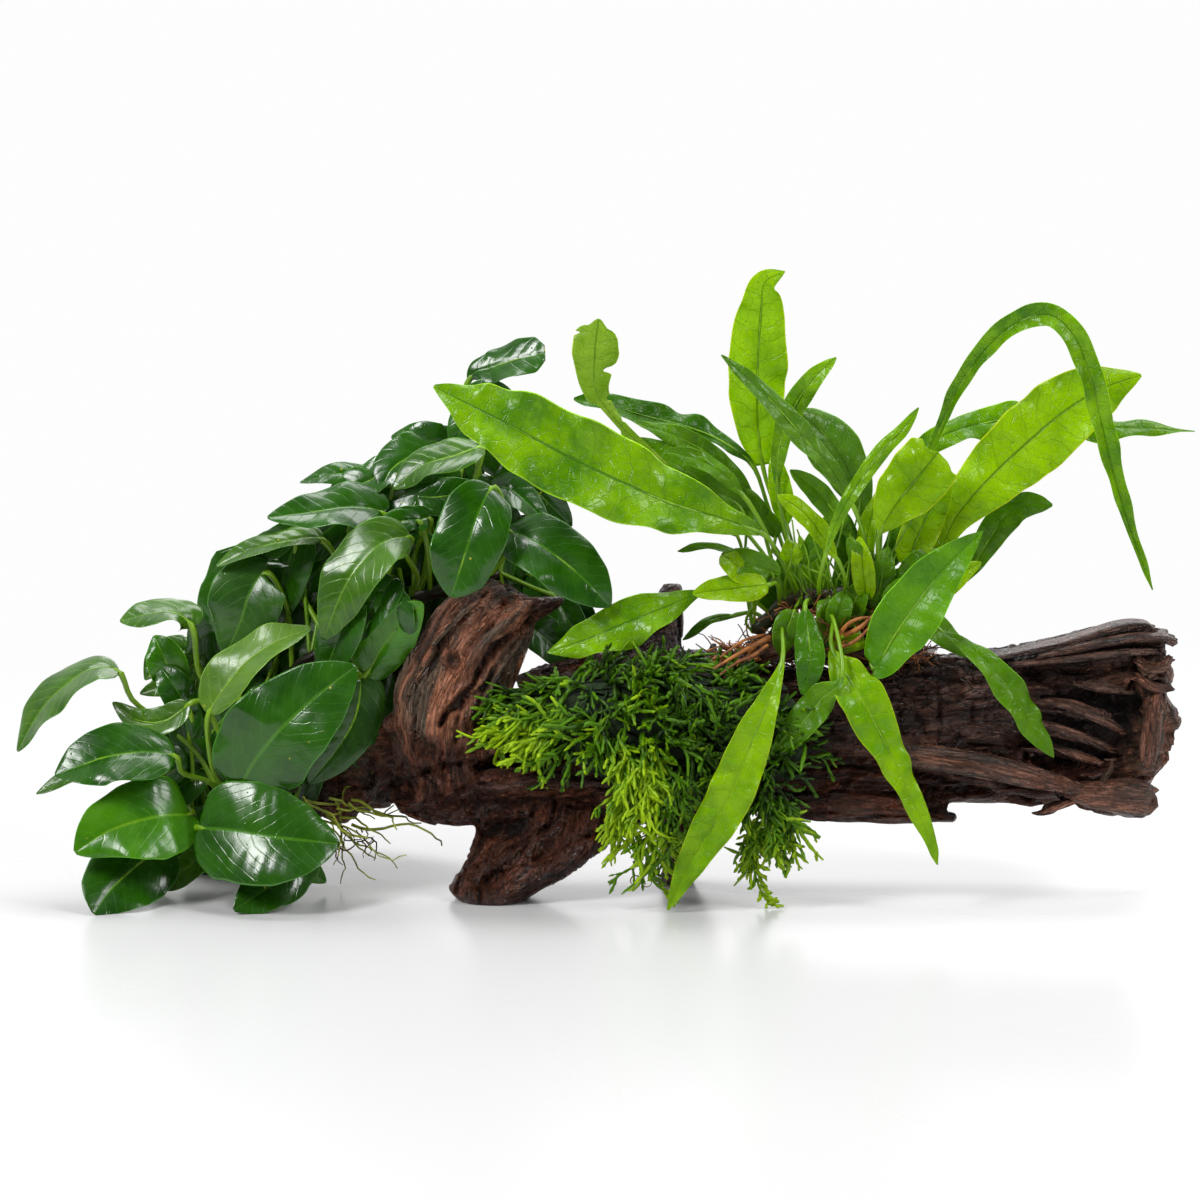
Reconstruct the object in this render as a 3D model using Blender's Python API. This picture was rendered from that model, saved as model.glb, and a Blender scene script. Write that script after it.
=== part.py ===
"""Java fern, anubias and java moss growing on a forked piece of driftwood."""

import math

import bmesh
import bpy
import numpy as np
from mathutils import Vector, noise

# The tables below hold centimetres, measured from the front at VIEW_DISTANCE, looking down by
# VIEW_TILT: across and up on an upright plane through the foot, and the depth behind that plane.
CM = 0.01
VIEW_DISTANCE = 200.0
VIEW_TILT = math.radians(10.0)
PLANE_CENTRE = (-0.2, 12.6)
# Shifts the finished group so that its outer box is centred over the origin.
SHIFT = (0.0, -5.64, 0.0)

GAP = 0.0003
ANUBIAS_STALK = 0.12
ANUBIAS_BLADE = 0.04
FERN_STALK = 0.085
FERN_BLADE = 0.032

ALONG = (1.0, 0.0, 0.0)
UP = (0.0, 0.0, 1.0)

WET_WOOD = (0.085, 0.035, 0.022)
DARK_WOOD = (0.045, 0.028, 0.022)
RED_WOOD = (0.17, 0.06, 0.03)
ROOT_BROWN = (0.16, 0.06, 0.02)
DEEP_GREEN = (0.018, 0.09, 0.008)
BRIGHT_GREEN = (0.05, 0.2, 0.008)
FERN_GREEN = (0.12, 0.32, 0.012)
MOSS_GREEN = (0.06, 0.17, 0.012)


def seen(x, y, v):
    """The world point, in metres, that is seen x across and v up when it lies y behind the plane."""
    up = v - PLANE_CENTRE[1]
    sin, cos = math.sin(VIEW_TILT), math.cos(VIEW_TILT)
    height = (up * (1 + y * cos / VIEW_DISTANCE) - y * sin) / (cos + up * sin / VIEW_DISTANCE)
    nearness = 1 + (y * cos - height * sin) / VIEW_DISTANCE
    across = PLANE_CENTRE[0] + (x - PLANE_CENTRE[0]) * nearness
    rise = PLANE_CENTRE[1] / cos + height
    return np.array((across + SHIFT[0], y + SHIFT[1], rise + SHIFT[2])) * CM


def unit(vector):
    return vector / max(np.linalg.norm(vector), 1e-9)


def spine(points, places):
    """A smooth curve through the points, read at the places, where each point counts as one step."""
    points = np.array(points, float)
    padded = np.vstack([2 * points[0] - points[1], points, 2 * points[-1] - points[-2]])
    out = []
    for place in places:
        step = min(int(place), len(points) - 2)
        t = place - step
        a, b, c, d = padded[step : step + 4]
        out.append(0.5 * (2 * b + (c - a) * t + (2 * a - 5 * b + 4 * c - d) * t * t
                          + (3 * b - a - 3 * c + d) * t ** 3))
    return np.array(out)


def directions(line):
    return np.array([unit(way) for way in np.gradient(line, axis=0)])


def collection(name, rendered=True):
    made = bpy.data.collections.new(name)
    made.hide_render = not rendered
    bpy.context.scene.collection.children.link(made)
    return made


def material(name, colour, roughness):
    made = bpy.data.materials.new(name)
    made.use_nodes = True
    shader = made.node_tree.nodes["Principled BSDF"]
    shader.inputs["Base Color"].default_value = (*colour, 1)
    shader.inputs["Roughness"].default_value = roughness
    shader.inputs["Metallic"].default_value = 0
    return made


def loft(name, rings, home, look):
    """A closed solid through rings of equal length, with a point in the middle of each end."""
    mesh = bmesh.new()
    rows = [[mesh.verts.new(point) for point in ring] for ring in rings]
    count = len(rows[0])
    for lower, upper in zip(rows, rows[1:]):
        for i in range(count):
            j = (i + 1) % count
            mesh.faces.new((lower[i], lower[j], upper[j], upper[i]))
    for row, ring, turn in ((rows[0], rings[0], -1), (rows[-1], rings[-1], 1)):
        middle = mesh.verts.new(np.mean(ring, axis=0))
        for i in range(count):
            mesh.faces.new((row[i], row[(i + 1) % count], middle)[::turn])
    bmesh.ops.triangulate(mesh, faces=mesh.faces)
    bmesh.ops.recalc_face_normals(mesh, faces=mesh.faces)
    data = bpy.data.meshes.new(name)
    mesh.to_mesh(data)
    mesh.free()
    made = bpy.data.objects.new(name, data)
    data.materials.append(look)
    home.objects.link(made)
    return made


def limb(name, stations, home, look, sides=18, rough=0.07, flat_start=False, facing=None):
    """A knotty limb through stations of (x, depth, up, half breadth, half depth), in centimetres.

    Its rings are square to the limb, or all square to the facing direction.
    """
    centres = np.array([seen(*station[:3]) for station in stations])
    ways = directions(centres)
    if facing:
        ways = np.array([facing] * len(stations), float)
    rings = []
    for order, (station, centre, way) in enumerate(zip(stations, centres, ways)):
        if flat_start and order == 0:
            centre = np.array((centre[0], centre[1], 0.0))
            way = np.array((0.0, 0.0, 1.0))
        side = unit(np.array((0.0, 1.0, 0.0)) - way * way[1])
        upright = np.cross(way, side)
        ring = []
        for i in range(sides):
            angle = 2 * math.pi * i / sides
            point = (centre + upright * station[3] * CM * math.cos(angle)
                     + side * station[4] * CM * math.sin(angle))
            if not (flat_start and order == 0):
                knot = noise.noise(Vector(point) * 45) + 0.5 * noise.noise(Vector(point) * 110)
                point = centre + (point - centre) * (1 + rough * knot)
            ring.append(point)
        rings.append(ring)
    return loft(name, rings, home, look)


def tube(name, points, radii, home, look, sides=8, steps=3):
    """A round root or stem through the points, with a radius at each, in centimetres."""
    places = np.linspace(0, len(points) - 1, steps * (len(points) - 1) + 1)
    line = spine([seen(*point) for point in points], places)
    sizes = np.interp(places, range(len(points)), radii) * CM
    ways = directions(line)
    rings = []
    side = unit(np.cross(ways[0], (0.3, 0.9, 0.2)))
    for centre, way, size in zip(line, ways, sizes):
        side = unit(side - way * np.dot(side, way))
        other = np.cross(way, side)
        angles = [2 * math.pi * i / sides for i in range(sides)]
        rings.append([centre + size * (side * math.cos(a) + other * math.sin(a)) for a in angles])
    return loft(name, rings, home, look)


# How wide a blade is along its rib, as a share of its full width.
OUTLINES = {
    "oval": (
        (0.0, 0.1), (0.06, 0.52), (0.18, 0.86), (0.36, 1.0), (0.58, 0.9), (0.78, 0.62), (0.92, 0.27),
        (1.0, 0.03),
    ),
    "strap": (
        (0.0, 0.08), (0.12, 0.34), (0.3, 0.8), (0.5, 1.0), (0.68, 0.92), (0.84, 0.62), (0.95, 0.26),
        (1.0, 0.04),
    ),
    "ribbon": (
        (0.0, 0.12), (0.15, 0.6), (0.35, 0.95), (0.6, 1.0), (0.8, 0.8), (0.93, 0.45), (1.0, 0.08),
    ),
    "spear": (
        (0.0, 0.08), (0.12, 0.45), (0.3, 0.9), (0.45, 1.0), (0.6, 0.8), (0.72, 0.45), (0.82, 0.12),
        (1.0, 0.04),
    ),
    "blunt": ((0.0, 0.1), (0.12, 0.5), (0.4, 0.85), (0.7, 1.0), (0.9, 0.85), (1.0, 0.35)),
    "flag": ((0.0, 0.1), (0.45, 0.3), (0.6, 0.55), (0.8, 1.0), (0.95, 0.95), (1.0, 0.75)),
    "tail": (
        (0.0, 0.12), (0.1, 0.6), (0.25, 1.0), (0.42, 0.92), (0.6, 0.58), (0.78, 0.38), (0.92, 0.2),
        (1.0, 0.03),
    ),
    "cut": ((0.0, 0.1), (0.15, 0.45), (0.4, 0.9), (0.7, 1.0), (0.92, 0.95), (1.0, 0.6)),
}


# A leaf's section: across, height, and how much of the fold each point takes.
LEAF_SECTION = (
    (-1, 0, 1), (-0.5, 1, 0.25), (0.5, 1, 0.25), (1, 0, 1), (0.5, -1, 0.25), (-0.5, -1, 0.25),
)


def leaf_rings(stem, blade, width, face, face_tip, fold, outline, stalk, thickness, stations):
    """Rings of six points: thick on the stalk, flat on the blade, with its edges raised by fold."""
    bones = [seen(*point) for point in stem + blade]
    start = len(stem)
    stem_places = np.linspace(0, start - 0.15, 3)
    blade_places = start + (len(blade) - 1) * np.linspace(0, 1, stations) ** 0.9
    places = np.concatenate([stem_places, blade_places])
    line = spine(bones, places)
    ways = directions(line)
    profile = np.array(OUTLINES[outline])
    rings = []
    for place, centre, way in zip(places, line, ways):
        along = max(0.0, (place - start) / (len(blade) - 1))
        toward = np.array(face, float) * (1 - along) + np.array(face_tip or face, float) * along
        side = unit(np.cross(way, toward))
        upper = np.cross(side, way)
        if place < start:
            half, thick, lift = stalk, stalk * 0.87, 0.0
        else:
            half = max(stalk * 0.5, width / 2 * np.interp(along, profile[:, 0], profile[:, 1]))
            thick = thickness * (1 - 0.45 * along)
            lift = fold * half
        ring = []
        for across, height, share in LEAF_SECTION:
            raised = thick * height + lift * share
            ring.append(centre + CM * (side * half * across + upper * raised))
        rings.append(ring)
    return rings


def carve(thing, cutters, helpers):
    """Cuts the inflated cutters out of the thing, so that touching pieces stay GAP apart."""
    for cutter in cutters:
        key = cutter.name + "_clearance"
        grown = bpy.data.objects.get(key)
        if grown is None:
            grown = bpy.data.objects.new(key, cutter.data.copy())
            swell = grown.modifiers.new("swell", "DISPLACE")
            swell.strength = GAP
            swell.mid_level = 0
            grown.hide_render = True
            grown.display_type = "WIRE"
            helpers.objects.link(grown)
        cut = thing.modifiers.new("clear " + cutter.name, "BOOLEAN")
        cut.operation = "DIFFERENCE"
        cut.solver = "EXACT"
        cut.object = grown
    settle(thing)


def join(thing, others):
    """Makes one solid of the thing and the others, which all reach into it."""
    for other in others:
        weld = thing.modifiers.new("join " + other.name, "BOOLEAN")
        weld.operation = "UNION"
        weld.solver = "EXACT"
        weld.object = other
    settle(thing)
    for other in others:
        bpy.data.objects.remove(other, do_unlink=True)


def settle(thing):
    """Applies the modifiers and keeps the largest connected piece."""
    bpy.context.view_layer.update()
    graph = bpy.context.evaluated_depsgraph_get()
    done = bpy.data.meshes.new_from_object(thing.evaluated_get(graph))
    thing.modifiers.clear()
    thing.data = done
    mesh = bmesh.new()
    mesh.from_mesh(done)
    left = set(mesh.verts)
    islands = []
    while left:
        island = set()
        edge = [left.pop()]
        while edge:
            vert = edge.pop()
            island.add(vert)
            for link in vert.link_edges:
                other = link.other_vert(vert)
                if other in left:
                    left.discard(other)
                    edge.append(other)
        islands.append(island)
    biggest = max(islands, key=len)
    spare = [vert for island in islands if island is not biggest for vert in island]
    bmesh.ops.delete(mesh, geom=spare, context="VERTS")
    mesh.to_mesh(done)
    mesh.free()


# Driftwood: each station is x, depth, up, half height across the limb, half depth.
TRUNK = (
    (-8.5, 3.9, 4.9, 0.5, 0.5), (-8.1, 3.9, 4.9, 1.05, 1.0), (-7.2, 3.8, 5.0, 1.35, 1.5),
    (-5.8, 3.7, 5.3, 1.7, 2.0), (-4.0, 3.6, 5.7, 2.05, 2.3), (-2.0, 3.6, 6.2, 2.6, 2.6),
    (0.5, 3.6, 6.7, 3.15, 2.8), (3.0, 3.6, 7.0, 3.2, 2.9), (6.0, 3.5, 7.1, 3.05, 2.8),
    (9.0, 3.4, 7.2, 3.0, 2.65), (12.0, 3.3, 7.3, 2.95, 2.5), (15.0, 3.2, 7.45, 3.15, 2.4),
    (18.0, 3.1, 7.6, 3.4, 2.35), (20.3, 3.0, 7.85, 3.75, 2.35), (21.4, 3.0, 8.0, 3.45, 2.3),
    (22.1, 3.0, 8.4, 2.75, 2.0), (22.6, 3.0, 8.3, 1.9, 1.5), (22.85, 3.0, 7.8, 0.8, 0.8),
)
STUMP = (
    (-6.3, 3.0, 4.9, 1.7, 1.2), (-6.2, 2.9, 5.9, 2.2, 1.7), (-6.3, 2.8, 7.2, 2.3, 1.9),
    (-6.2, 2.8, 8.4, 2.35, 1.9), (-5.8, 2.8, 9.6, 2.35, 1.8), (-5.3, 2.9, 10.7, 2.25, 1.7),
    (-4.6, 3.0, 11.7, 1.95, 1.5), (-3.9, 3.1, 12.5, 1.4, 1.2), (-3.6, 3.1, 12.95, 0.8, 0.7),
)
STUMP_POINT = (
    (-4.4, 2.9, 11.6, 0.8, 0.7), (-3.3, 2.9, 12.1, 0.55, 0.6), (-2.4, 2.8, 12.4, 0.34, 0.4),
    (-1.75, 2.8, 12.62, 0.13, 0.15),
)
FOOT = (
    (-4.6, 2.2, 0.38, 1.0, 1.1), (-4.3, 2.3, 1.1, 2.0, 1.5), (-3.2, 2.5, 2.1, 2.5, 1.7),
    (-2.0, 2.9, 3.3, 3.2, 1.9), (-1.6, 3.3, 4.9, 3.4, 1.9),
)
BACK_FORK = (
    (0.6, 5.0, 8.0, 2.5, 1.2), (0.6, 5.4, 9.6, 2.6, 1.5), (1.1, 5.8, 10.7, 2.1, 1.4),
    (2.0, 6.1, 11.7, 1.2, 1.1), (2.4, 6.2, 12.6, 0.75, 0.7), (2.65, 6.2, 13.2, 0.4, 0.4),
)
LEFT_BOUGH = (
    (-16.0, 7.5, 1.35, 0.75, 0.8), (-15.7, 7.6, 2.5, 1.4, 1.5), (-14.7, 7.9, 4.6, 2.4, 2.6),
    (-12.9, 8.4, 6.5, 3.3, 3.6), (-10.5, 8.6, 7.8, 3.9, 4.1), (-8.0, 7.8, 7.8, 3.5, 3.5),
    (-5.4, 6.8, 7.3, 2.5, 2.4), (-3.6, 5.6, 7.0, 1.5, 1.4),
)
BACK_LEG = (
    (2.75, 5.2, 0.91, 0.7, 0.9), (3.0, 5.1, 2.0, 0.85, 0.95), (3.3, 4.9, 3.2, 1.1, 1.1),
    (3.4, 4.6, 4.8, 1.5, 1.4),
)
SPUR = (
    (6.0, 2.6, 4.95, 0.55, 1.0), (8.0, 2.4, 4.6, 0.75, 1.3), (10.5, 2.2, 4.35, 0.68, 1.2),
    (12.6, 2.1, 4.1, 0.45, 0.9), (14.1, 2.1, 3.85, 0.2, 0.45),
)
LOG_RIDGE = (
    (1.8, 6.6, 8.6, 0.9, 0.8), (3.2, 6.5, 9.6, 0.95, 0.75), (4.4, 6.2, 9.55, 0.8, 0.7),
    (5.6, 5.9, 9.3, 0.6, 0.6),
)

# Moss: a mat over the trunk, and two beards that hang from it.
MOSS_MAT = (
    (-4.1, 1.6, 7.7, 0.5, 0.7), (-3.2, 1.6, 8.0, 1.3, 1.2), (-1.6, 1.7, 8.1, 1.9, 1.7),
    (0.4, 1.6, 7.8, 2.4, 2.0), (2.6, 1.5, 7.6, 2.7, 2.1), (4.8, 1.4, 7.4, 2.6, 2.0),
    (6.6, 1.5, 7.1, 2.1, 1.7), (7.7, 1.7, 6.8, 1.0, 1.0),
)
MOSS_LEFT = (
    (2.1, 0.25, 0.28, 0.1, 0.1), (1.9, 0.3, 1.2, 0.45, 0.3), (1.7, 0.2, 2.6, 1.1, 0.35),
    (1.7, 0.0, 3.8, 1.5, 0.45), (1.9, -0.2, 5.0, 1.7, 0.5), (2.1, -0.4, 6.2, 1.5, 0.45),
)
MOSS_RIGHT = (
    (7.1, 0.4, 0.38, 0.08, 0.08), (6.5, 0.5, 0.6, 0.18, 0.15), (6.05, 0.55, 1.5, 0.4, 0.25),
    (6.2, 0.5, 2.6, 0.75, 0.3), (6.5, 0.4, 3.8, 1.1, 0.4), (6.9, 0.2, 5.0, 1.0, 0.4),
)

# Creeping stems: points, then a radius at each.
RHIZOMES = {
    "anubias_rhizome_lower": (
        ((-16.6, 4.1, 3.4), (-15.2, 4.0, 4.2), (-13.6, 4.0, 4.9), (-12.2, 3.8, 5.2)),
        (0.35, 0.5, 0.5, 0.35),
    ),
    "anubias_rhizome_upper": (
        ((-13.8, 4.5, 8.6), (-11.8, 4.1, 10.2), (-9.6, 4.4, 11.6), (-7.6, 4.8, 12.6),
         (-5.8, 5.1, 13.2), (-4.2, 5.3, 13.7)),
        (0.35, 0.5, 0.5, 0.5, 0.45, 0.3),
    ),
    "fern_rhizome": (
        ((5.9, 3.2, 11.3), (7.3, 3.1, 12.4), (9.0, 3.1, 12.7), (10.8, 3.1, 12.5), (12.2, 3.2, 11.9)),
        (0.3, 0.42, 0.42, 0.42, 0.3),
    ),
}
ROOT_MAT = (
    (4.7, 3.6, 9.9, 0.25, 0.5), (5.8, 3.6, 10.3, 0.75, 1.1), (7.4, 3.6, 10.9, 1.15, 1.5),
    (9.2, 3.6, 11.0, 1.25, 1.6), (11.0, 3.5, 10.8, 1.1, 1.5), (12.4, 3.4, 10.3, 0.6, 1.0),
    (13.5, 3.4, 10.1, 0.2, 0.4),
)

TOWARD = (0.0, -0.88, 0.45)

# Anubias leaves: name, stalk points, rib points, width, facing at base, facing at tip, fold.
ANUBIAS = (
    ("round_low", ((-15.3, 4.0, 4.15), (-15.9, 2.4, 3.5)),
     ((-16.3, 1.2, 3.5), (-15.0, 0.3, 3.4), (-13.5, -0.2, 3.15), (-12.0, -0.3, 3.0),
      (-10.65, 0.0, 2.85)), 4.4, TOWARD, None, 0.08),
    ("bright_low", ((-16.3, 4.1, 3.6), (-16.8, 3.2, 4.3)),
     ((-16.5, 2.2, 4.05), (-17.5, 1.2, 4.0), (-18.6, 0.7, 3.8), (-19.9, 0.3, 3.35), (-21.2, 0.0, 2.5)),
     3.6, TOWARD, None, 0.08),
    ("floor_left", ((-15.9, 4.0, 3.85), (-16.6, 3.3, 3.0)),
     ((-17.4, 2.5, 2.9), (-18.6, 1.4, 2.1), (-19.7, 0.2, 1.1), (-20.45, -0.75, 0.05)), 3.3,
     (0.1, -0.9, 0.35), None, 0.1),
    ("floor_mid", ((-14.4, 3.9, 4.5), (-13.2, 3.0, 4.6)),
     ((-12.0, 1.9, 2.9), (-12.7, 1.0, 1.75), (-13.7, 0.1, 0.95), (-14.85, -0.6, 0.2)), 2.3,
     (0.1, -0.85, 0.4), None, 0.06),
    ("big_front", ((-14.9, 4.0, 4.4), (-15.1, 2.6, 4.8)),
     ((-14.7, 1.4, 5.0), (-14.0, 0.9, 6.2), (-12.9, 0.6, 7.5), (-11.5, 0.7, 8.8), (-9.95, 1.1, 9.95)),
     4.1, (0.05, -0.93, 0.3), None, 0.1),
    ("dark_left", ((-15.0, 3.9, 4.5), (-15.8, 3.0, 5.3), (-16.9, 2.3, 5.7)),
     ((-17.2, 1.9, 6.35), (-18.5, 1.5, 6.55), (-20.0, 1.2, 6.35), (-21.0, 1.0, 6.0), (-22.0, 0.9, 5.6)),
     2.9, (0.0, -0.7, 0.7), None, 0.1),
    ("striped_far_left",
     ((-15.3, 4.0, 4.4), (-16.2, 4.4, 6.3), (-17.6, 4.2, 7.6), (-18.9, 3.7, 8.6)),
     ((-19.45, 3.3, 9.75), (-20.5, 3.0, 9.85), (-21.7, 2.5, 9.1), (-22.7, 2.3, 8.0), (-23.5, 2.2, 6.55)),
     2.7, (-0.25, -0.35, 0.9), (-0.7, -0.6, 0.3), 0.12),
    ("pale_mid", ((-14.4, 4.1, 4.6), (-15.5, 2.9, 5.4), (-15.85, 2.2, 6.8)),
     ((-15.85, 2.0, 8.05), (-15.2, 2.0, 9.2), (-14.3, 2.2, 10.2), (-13.2, 2.5, 10.9),
      (-11.75, 2.9, 11.5)), 2.4, (-0.5, -0.6, 0.6), (-0.2, -0.6, 0.75), 0.25),
    ("grey_behind", ((-12.6, 3.9, 5.1), (-11.3, 3.7, 7.4)),
     ((-9.9, 3.1, 9.5), (-9.9, 2.7, 8.2), (-10.6, 2.4, 6.8), (-11.85, 2.3, 5.25)), 2.3,
     (0.2, -0.9, 0.3), None, 0.08),
    ("bright_mid", ((-10.2, 4.3, 11.2), (-10.0, 3.3, 10.0)),
     ((-9.6, 3.0, 9.6), (-8.9, 2.5, 10.7), (-8.2, 2.2, 11.6), (-7.3, 2.0, 12.5)), 2.2,
     (0.1, -0.93, 0.3), None, 0.05),
    ("tall_mid", ((-7.9, 4.8, 12.5), (-7.5, 4.0, 13.5), (-7.95, 3.4, 14.4)),
     ((-7.75, 3.1, 15.1), (-8.9, 2.6, 14.9), (-10.0, 2.2, 13.8), (-10.7, 2.1, 12.5),
      (-11.25, 2.2, 11.0)), 2.6, (-0.1, -0.6, 0.8), (-0.1, -0.95, 0.2), 0.12),
    ("glossy_centre", ((-5.5, 5.1, 13.3), (-4.4, 4.6, 14.8), (-4.1, 3.6, 16.4)),
     ((-4.5, 2.8, 17.1), (-5.1, 1.9, 16.0), (-5.55, 1.4, 14.6), (-5.9, 1.2, 13.5), (-6.15, 1.2, 12.7)),
     3.0, (0.0, -0.85, 0.5), (0.0, -0.97, 0.2), 0.1),
    ("broad_right", ((-4.6, 5.2, 13.55), (-4.0, 5.0, 14.5), (-4.1, 4.3, 15.3)),
     ((-4.0, 3.6, 15.45), (-2.9, 2.5, 15.0), (-1.7, 1.9, 14.2), (-0.7, 1.6, 13.3), (0.2, 1.6, 12.35)),
     2.9, (0.15, -0.85, 0.5), (0.1, -0.95, 0.3), 0.1),
    ("upper_right", ((-5.1, 5.2, 13.4), (-4.9, 5.7, 15.5)),
     ((-4.5, 5.4, 16.9), (-3.9, 4.9, 17.1), (-3.1, 4.5, 16.5), (-2.3, 4.3, 15.7)), 1.7,
     (0.1, -0.7, 0.7), None, 0.1),
    ("top", ((-6.6, 5.0, 13.0), (-6.3, 6.6, 16.0), (-5.9, 6.6, 19.0)),
     ((-5.45, 6.2, 21.4), (-4.6, 5.9, 21.9), (-3.6, 5.6, 22.25), (-2.4, 5.3, 22.5)), 2.0,
     (0.0, -0.8, 0.6), None, 0.1, "blunt"),
    ("behind_fern", ((-5.85, 5.1, 13.2), (-4.9, 6.5, 16.4), (-4.1, 6.9, 18.6)),
     ((-3.9, 6.6, 19.8), (-4.4, 5.8, 20.5), (-5.1, 5.1, 20.4), (-5.7, 4.8, 19.6), (-6.1, 4.8, 18.6)),
     1.9, (-0.1, -0.9, 0.4), None, 0.08),
    ("upper_dome", ((-7.4, 4.85, 12.7), (-6.9, 6.3, 15.5), (-6.4, 6.5, 17.8)),
     ((-6.4, 6.3, 18.7), (-7.5, 5.9, 18.5), (-8.5, 5.5, 17.9), (-8.95, 5.2, 17.1)), 2.2,
     (-0.1, -0.75, 0.65), None, 0.06),
    ("striped_top", ((-6.25, 5.0, 13.1), (-5.6, 4.8, 15.4), (-5.2, 4.4, 17.4)),
     ((-4.95, 4.0, 18.7), (-6.1, 3.5, 18.4), (-7.3, 3.4, 18.0), (-8.45, 3.3, 17.05)), 2.0,
     (0.0, -0.5, 0.85), (-0.2, -0.75, 0.6), 0.15),
    ("left_shelf", ((-9.1, 4.6, 11.9), (-8.8, 4.8, 14.4)),
     ((-8.8, 4.6, 16.0), (-10.0, 4.1, 16.35), (-11.5, 3.8, 16.2), (-13.5, 3.6, 15.9)), 2.5,
     (-0.05, -0.65, 0.75), None, 0.15),
    ("left_tip", ((-9.8, 4.3, 11.5), (-10.4, 4.8, 13.5)),
     ((-11.3, 4.9, 15.0), (-12.7, 4.7, 15.0), (-14.0, 4.5, 14.7), (-15.55, 4.4, 13.95)), 1.6,
     (-0.05, -0.5, 0.85), None, 0.2),
    ("striped_left", ((-13.3, 4.5, 9.0), (-15.0, 4.3, 8.6), (-16.2, 4.0, 9.6)),
     ((-16.5, 3.6, 11.5), (-17.2, 3.4, 12.15), (-18.3, 3.2, 12.05), (-19.4, 3.1, 11.75)), 2.3,
     (-0.3, -0.4, 0.9), (-0.1, -0.5, 0.85), 0.12),
    ("dark_folded", ((-12.5, 4.4, 9.6), (-12.7, 5.0, 12.2)),
     ((-13.5, 4.6, 13.7), (-14.2, 4.2, 12.9), (-14.6, 4.0, 11.7), (-15.2, 3.9, 10.4)), 3.2,
     (-0.1, -0.93, 0.35), None, 0.12),
    ("twisted_left", ((-14.1, 4.1, 4.8), (-15.2, 4.0, 6.8), (-16.0, 3.5, 8.4)),
     ((-16.6, 3.2, 8.45), (-17.6, 3.1, 7.8), (-18.7, 3.1, 7.8), (-19.7, 3.1, 8.5)), 1.3,
     (0.0, -0.8, 0.6), None, 0.15),
)

# Small anubias leaves that grow close together on each creeping stem.
ANUBIAS_INNER_LEFT = (
    (((-14.9, 4.0, 4.5), (-16.4, 5.8, 6.5)),
     ((-16.2, 6.1, 10.0), (-16.9, 5.9, 10.6), (-17.8, 5.7, 10.3), (-18.4, 5.5, 9.4)), 1.5,
     (-0.1, -0.8, 0.6), None, 0.05),
    (((-15.6, 4.1, 4.1), (-16.6, 5.2, 7.0)),
     ((-16.2, 5.1, 9.9), (-16.8, 4.9, 9.8), (-17.4, 4.8, 9.3), (-18.6, 4.7, 8.85)), 1.3,
     (-0.1, -0.9, 0.3), None, 0.1),
    (((-15.5, 4.0, 4.0), (-15.5, 3.2, 3.0)),
     ((-15.9, 2.8, 2.6), (-16.6, 2.4, 2.0), (-17.3, 2.0, 1.45), (-18.0, 1.7, 1.15)), 1.2,
     (0.0, -0.85, 0.5), None, 0.05),
    (((-16.4, 4.1, 3.5), (-17.2, 4.0, 5.0)),
     ((-18.3, 3.4, 6.0), (-19.8, 2.9, 6.2), (-21.3, 2.6, 5.6), (-22.75, 2.5, 4.85)), 1.1,
     (-0.1, -0.6, 0.8), None, 0.05),
)
ANUBIAS_INNER_UPPER = (
    (((-11.6, 4.2, 10.4), (-11.1, 4.4, 12.0)),
     ((-10.4, 4.3, 11.9), (-9.9, 4.2, 10.8), (-9.75, 4.1, 9.4), (-9.8, 4.0, 8.1)), 1.5,
     (0.0, -0.93, 0.3), None, 0.05),
    (((-13.5, 4.5, 8.8), (-13.0, 5.4, 10.6)),
     ((-13.2, 5.5, 11.4), (-13.9, 5.5, 11.0), (-14.6, 5.5, 10.3), (-15.3, 5.6, 9.7)), 1.7,
     (-0.1, -0.93, 0.2), None, 0.05),
    (((-7.0, 4.9, 12.85), (-7.1, 4.5, 14.6)),
     ((-7.4, 4.3, 15.7), (-8.0, 3.9, 15.8), (-8.7, 3.7, 15.6), (-9.3, 3.6, 15.2)), 1.1,
     (0.0, -0.8, 0.6), None, 0.1),
    (((-4.9, 5.2, 13.45), (-4.3, 6.2, 14.5)),
     ((-3.6, 6.1, 14.9), (-3.6, 5.9, 14.4), (-3.65, 5.8, 13.8), (-3.6, 5.8, 13.2)), 1.4,
     (0.0, -0.93, 0.3), None, 0.08),
    (((-4.3, 5.3, 13.65), (-3.7, 6.3, 13.6)),
     ((-3.2, 6.5, 13.6), (-2.5, 6.3, 13.3), (-1.7, 5.9, 12.8), (-0.9, 5.8, 12.2)), 1.2,
     (0.0, -0.9, 0.4), None, 0.08),
    (((-5.4, 5.15, 13.3), (-5.0, 6.9, 15.5)),
     ((-4.4, 7.0, 17.6), (-3.4, 6.8, 17.9), (-2.5, 6.6, 17.3), (-2.05, 6.5, 16.3)), 0.9,
     (0.3, -0.3, 0.9), None, 0.1),
    (((-8.0, 4.75, 12.5), (-8.4, 6.3, 14.5)),
     ((-9.2, 6.3, 16.9), (-9.8, 6.1, 17.5), (-10.8, 6.0, 17.65), (-12.2, 5.9, 17.3)), 1.4,
     (0.0, -0.6, 0.8), None, 0.1),
    (((-11.0, 4.2, 10.8), (-12.2, 5.4, 13.0)),
     ((-12.35, 5.5, 14.0), (-13.1, 5.4, 14.15), (-13.9, 5.4, 14.1), (-14.6, 5.4, 14.05)), 0.7,
     (0.0, -0.5, 0.85), None, 0.1),
)

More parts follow.
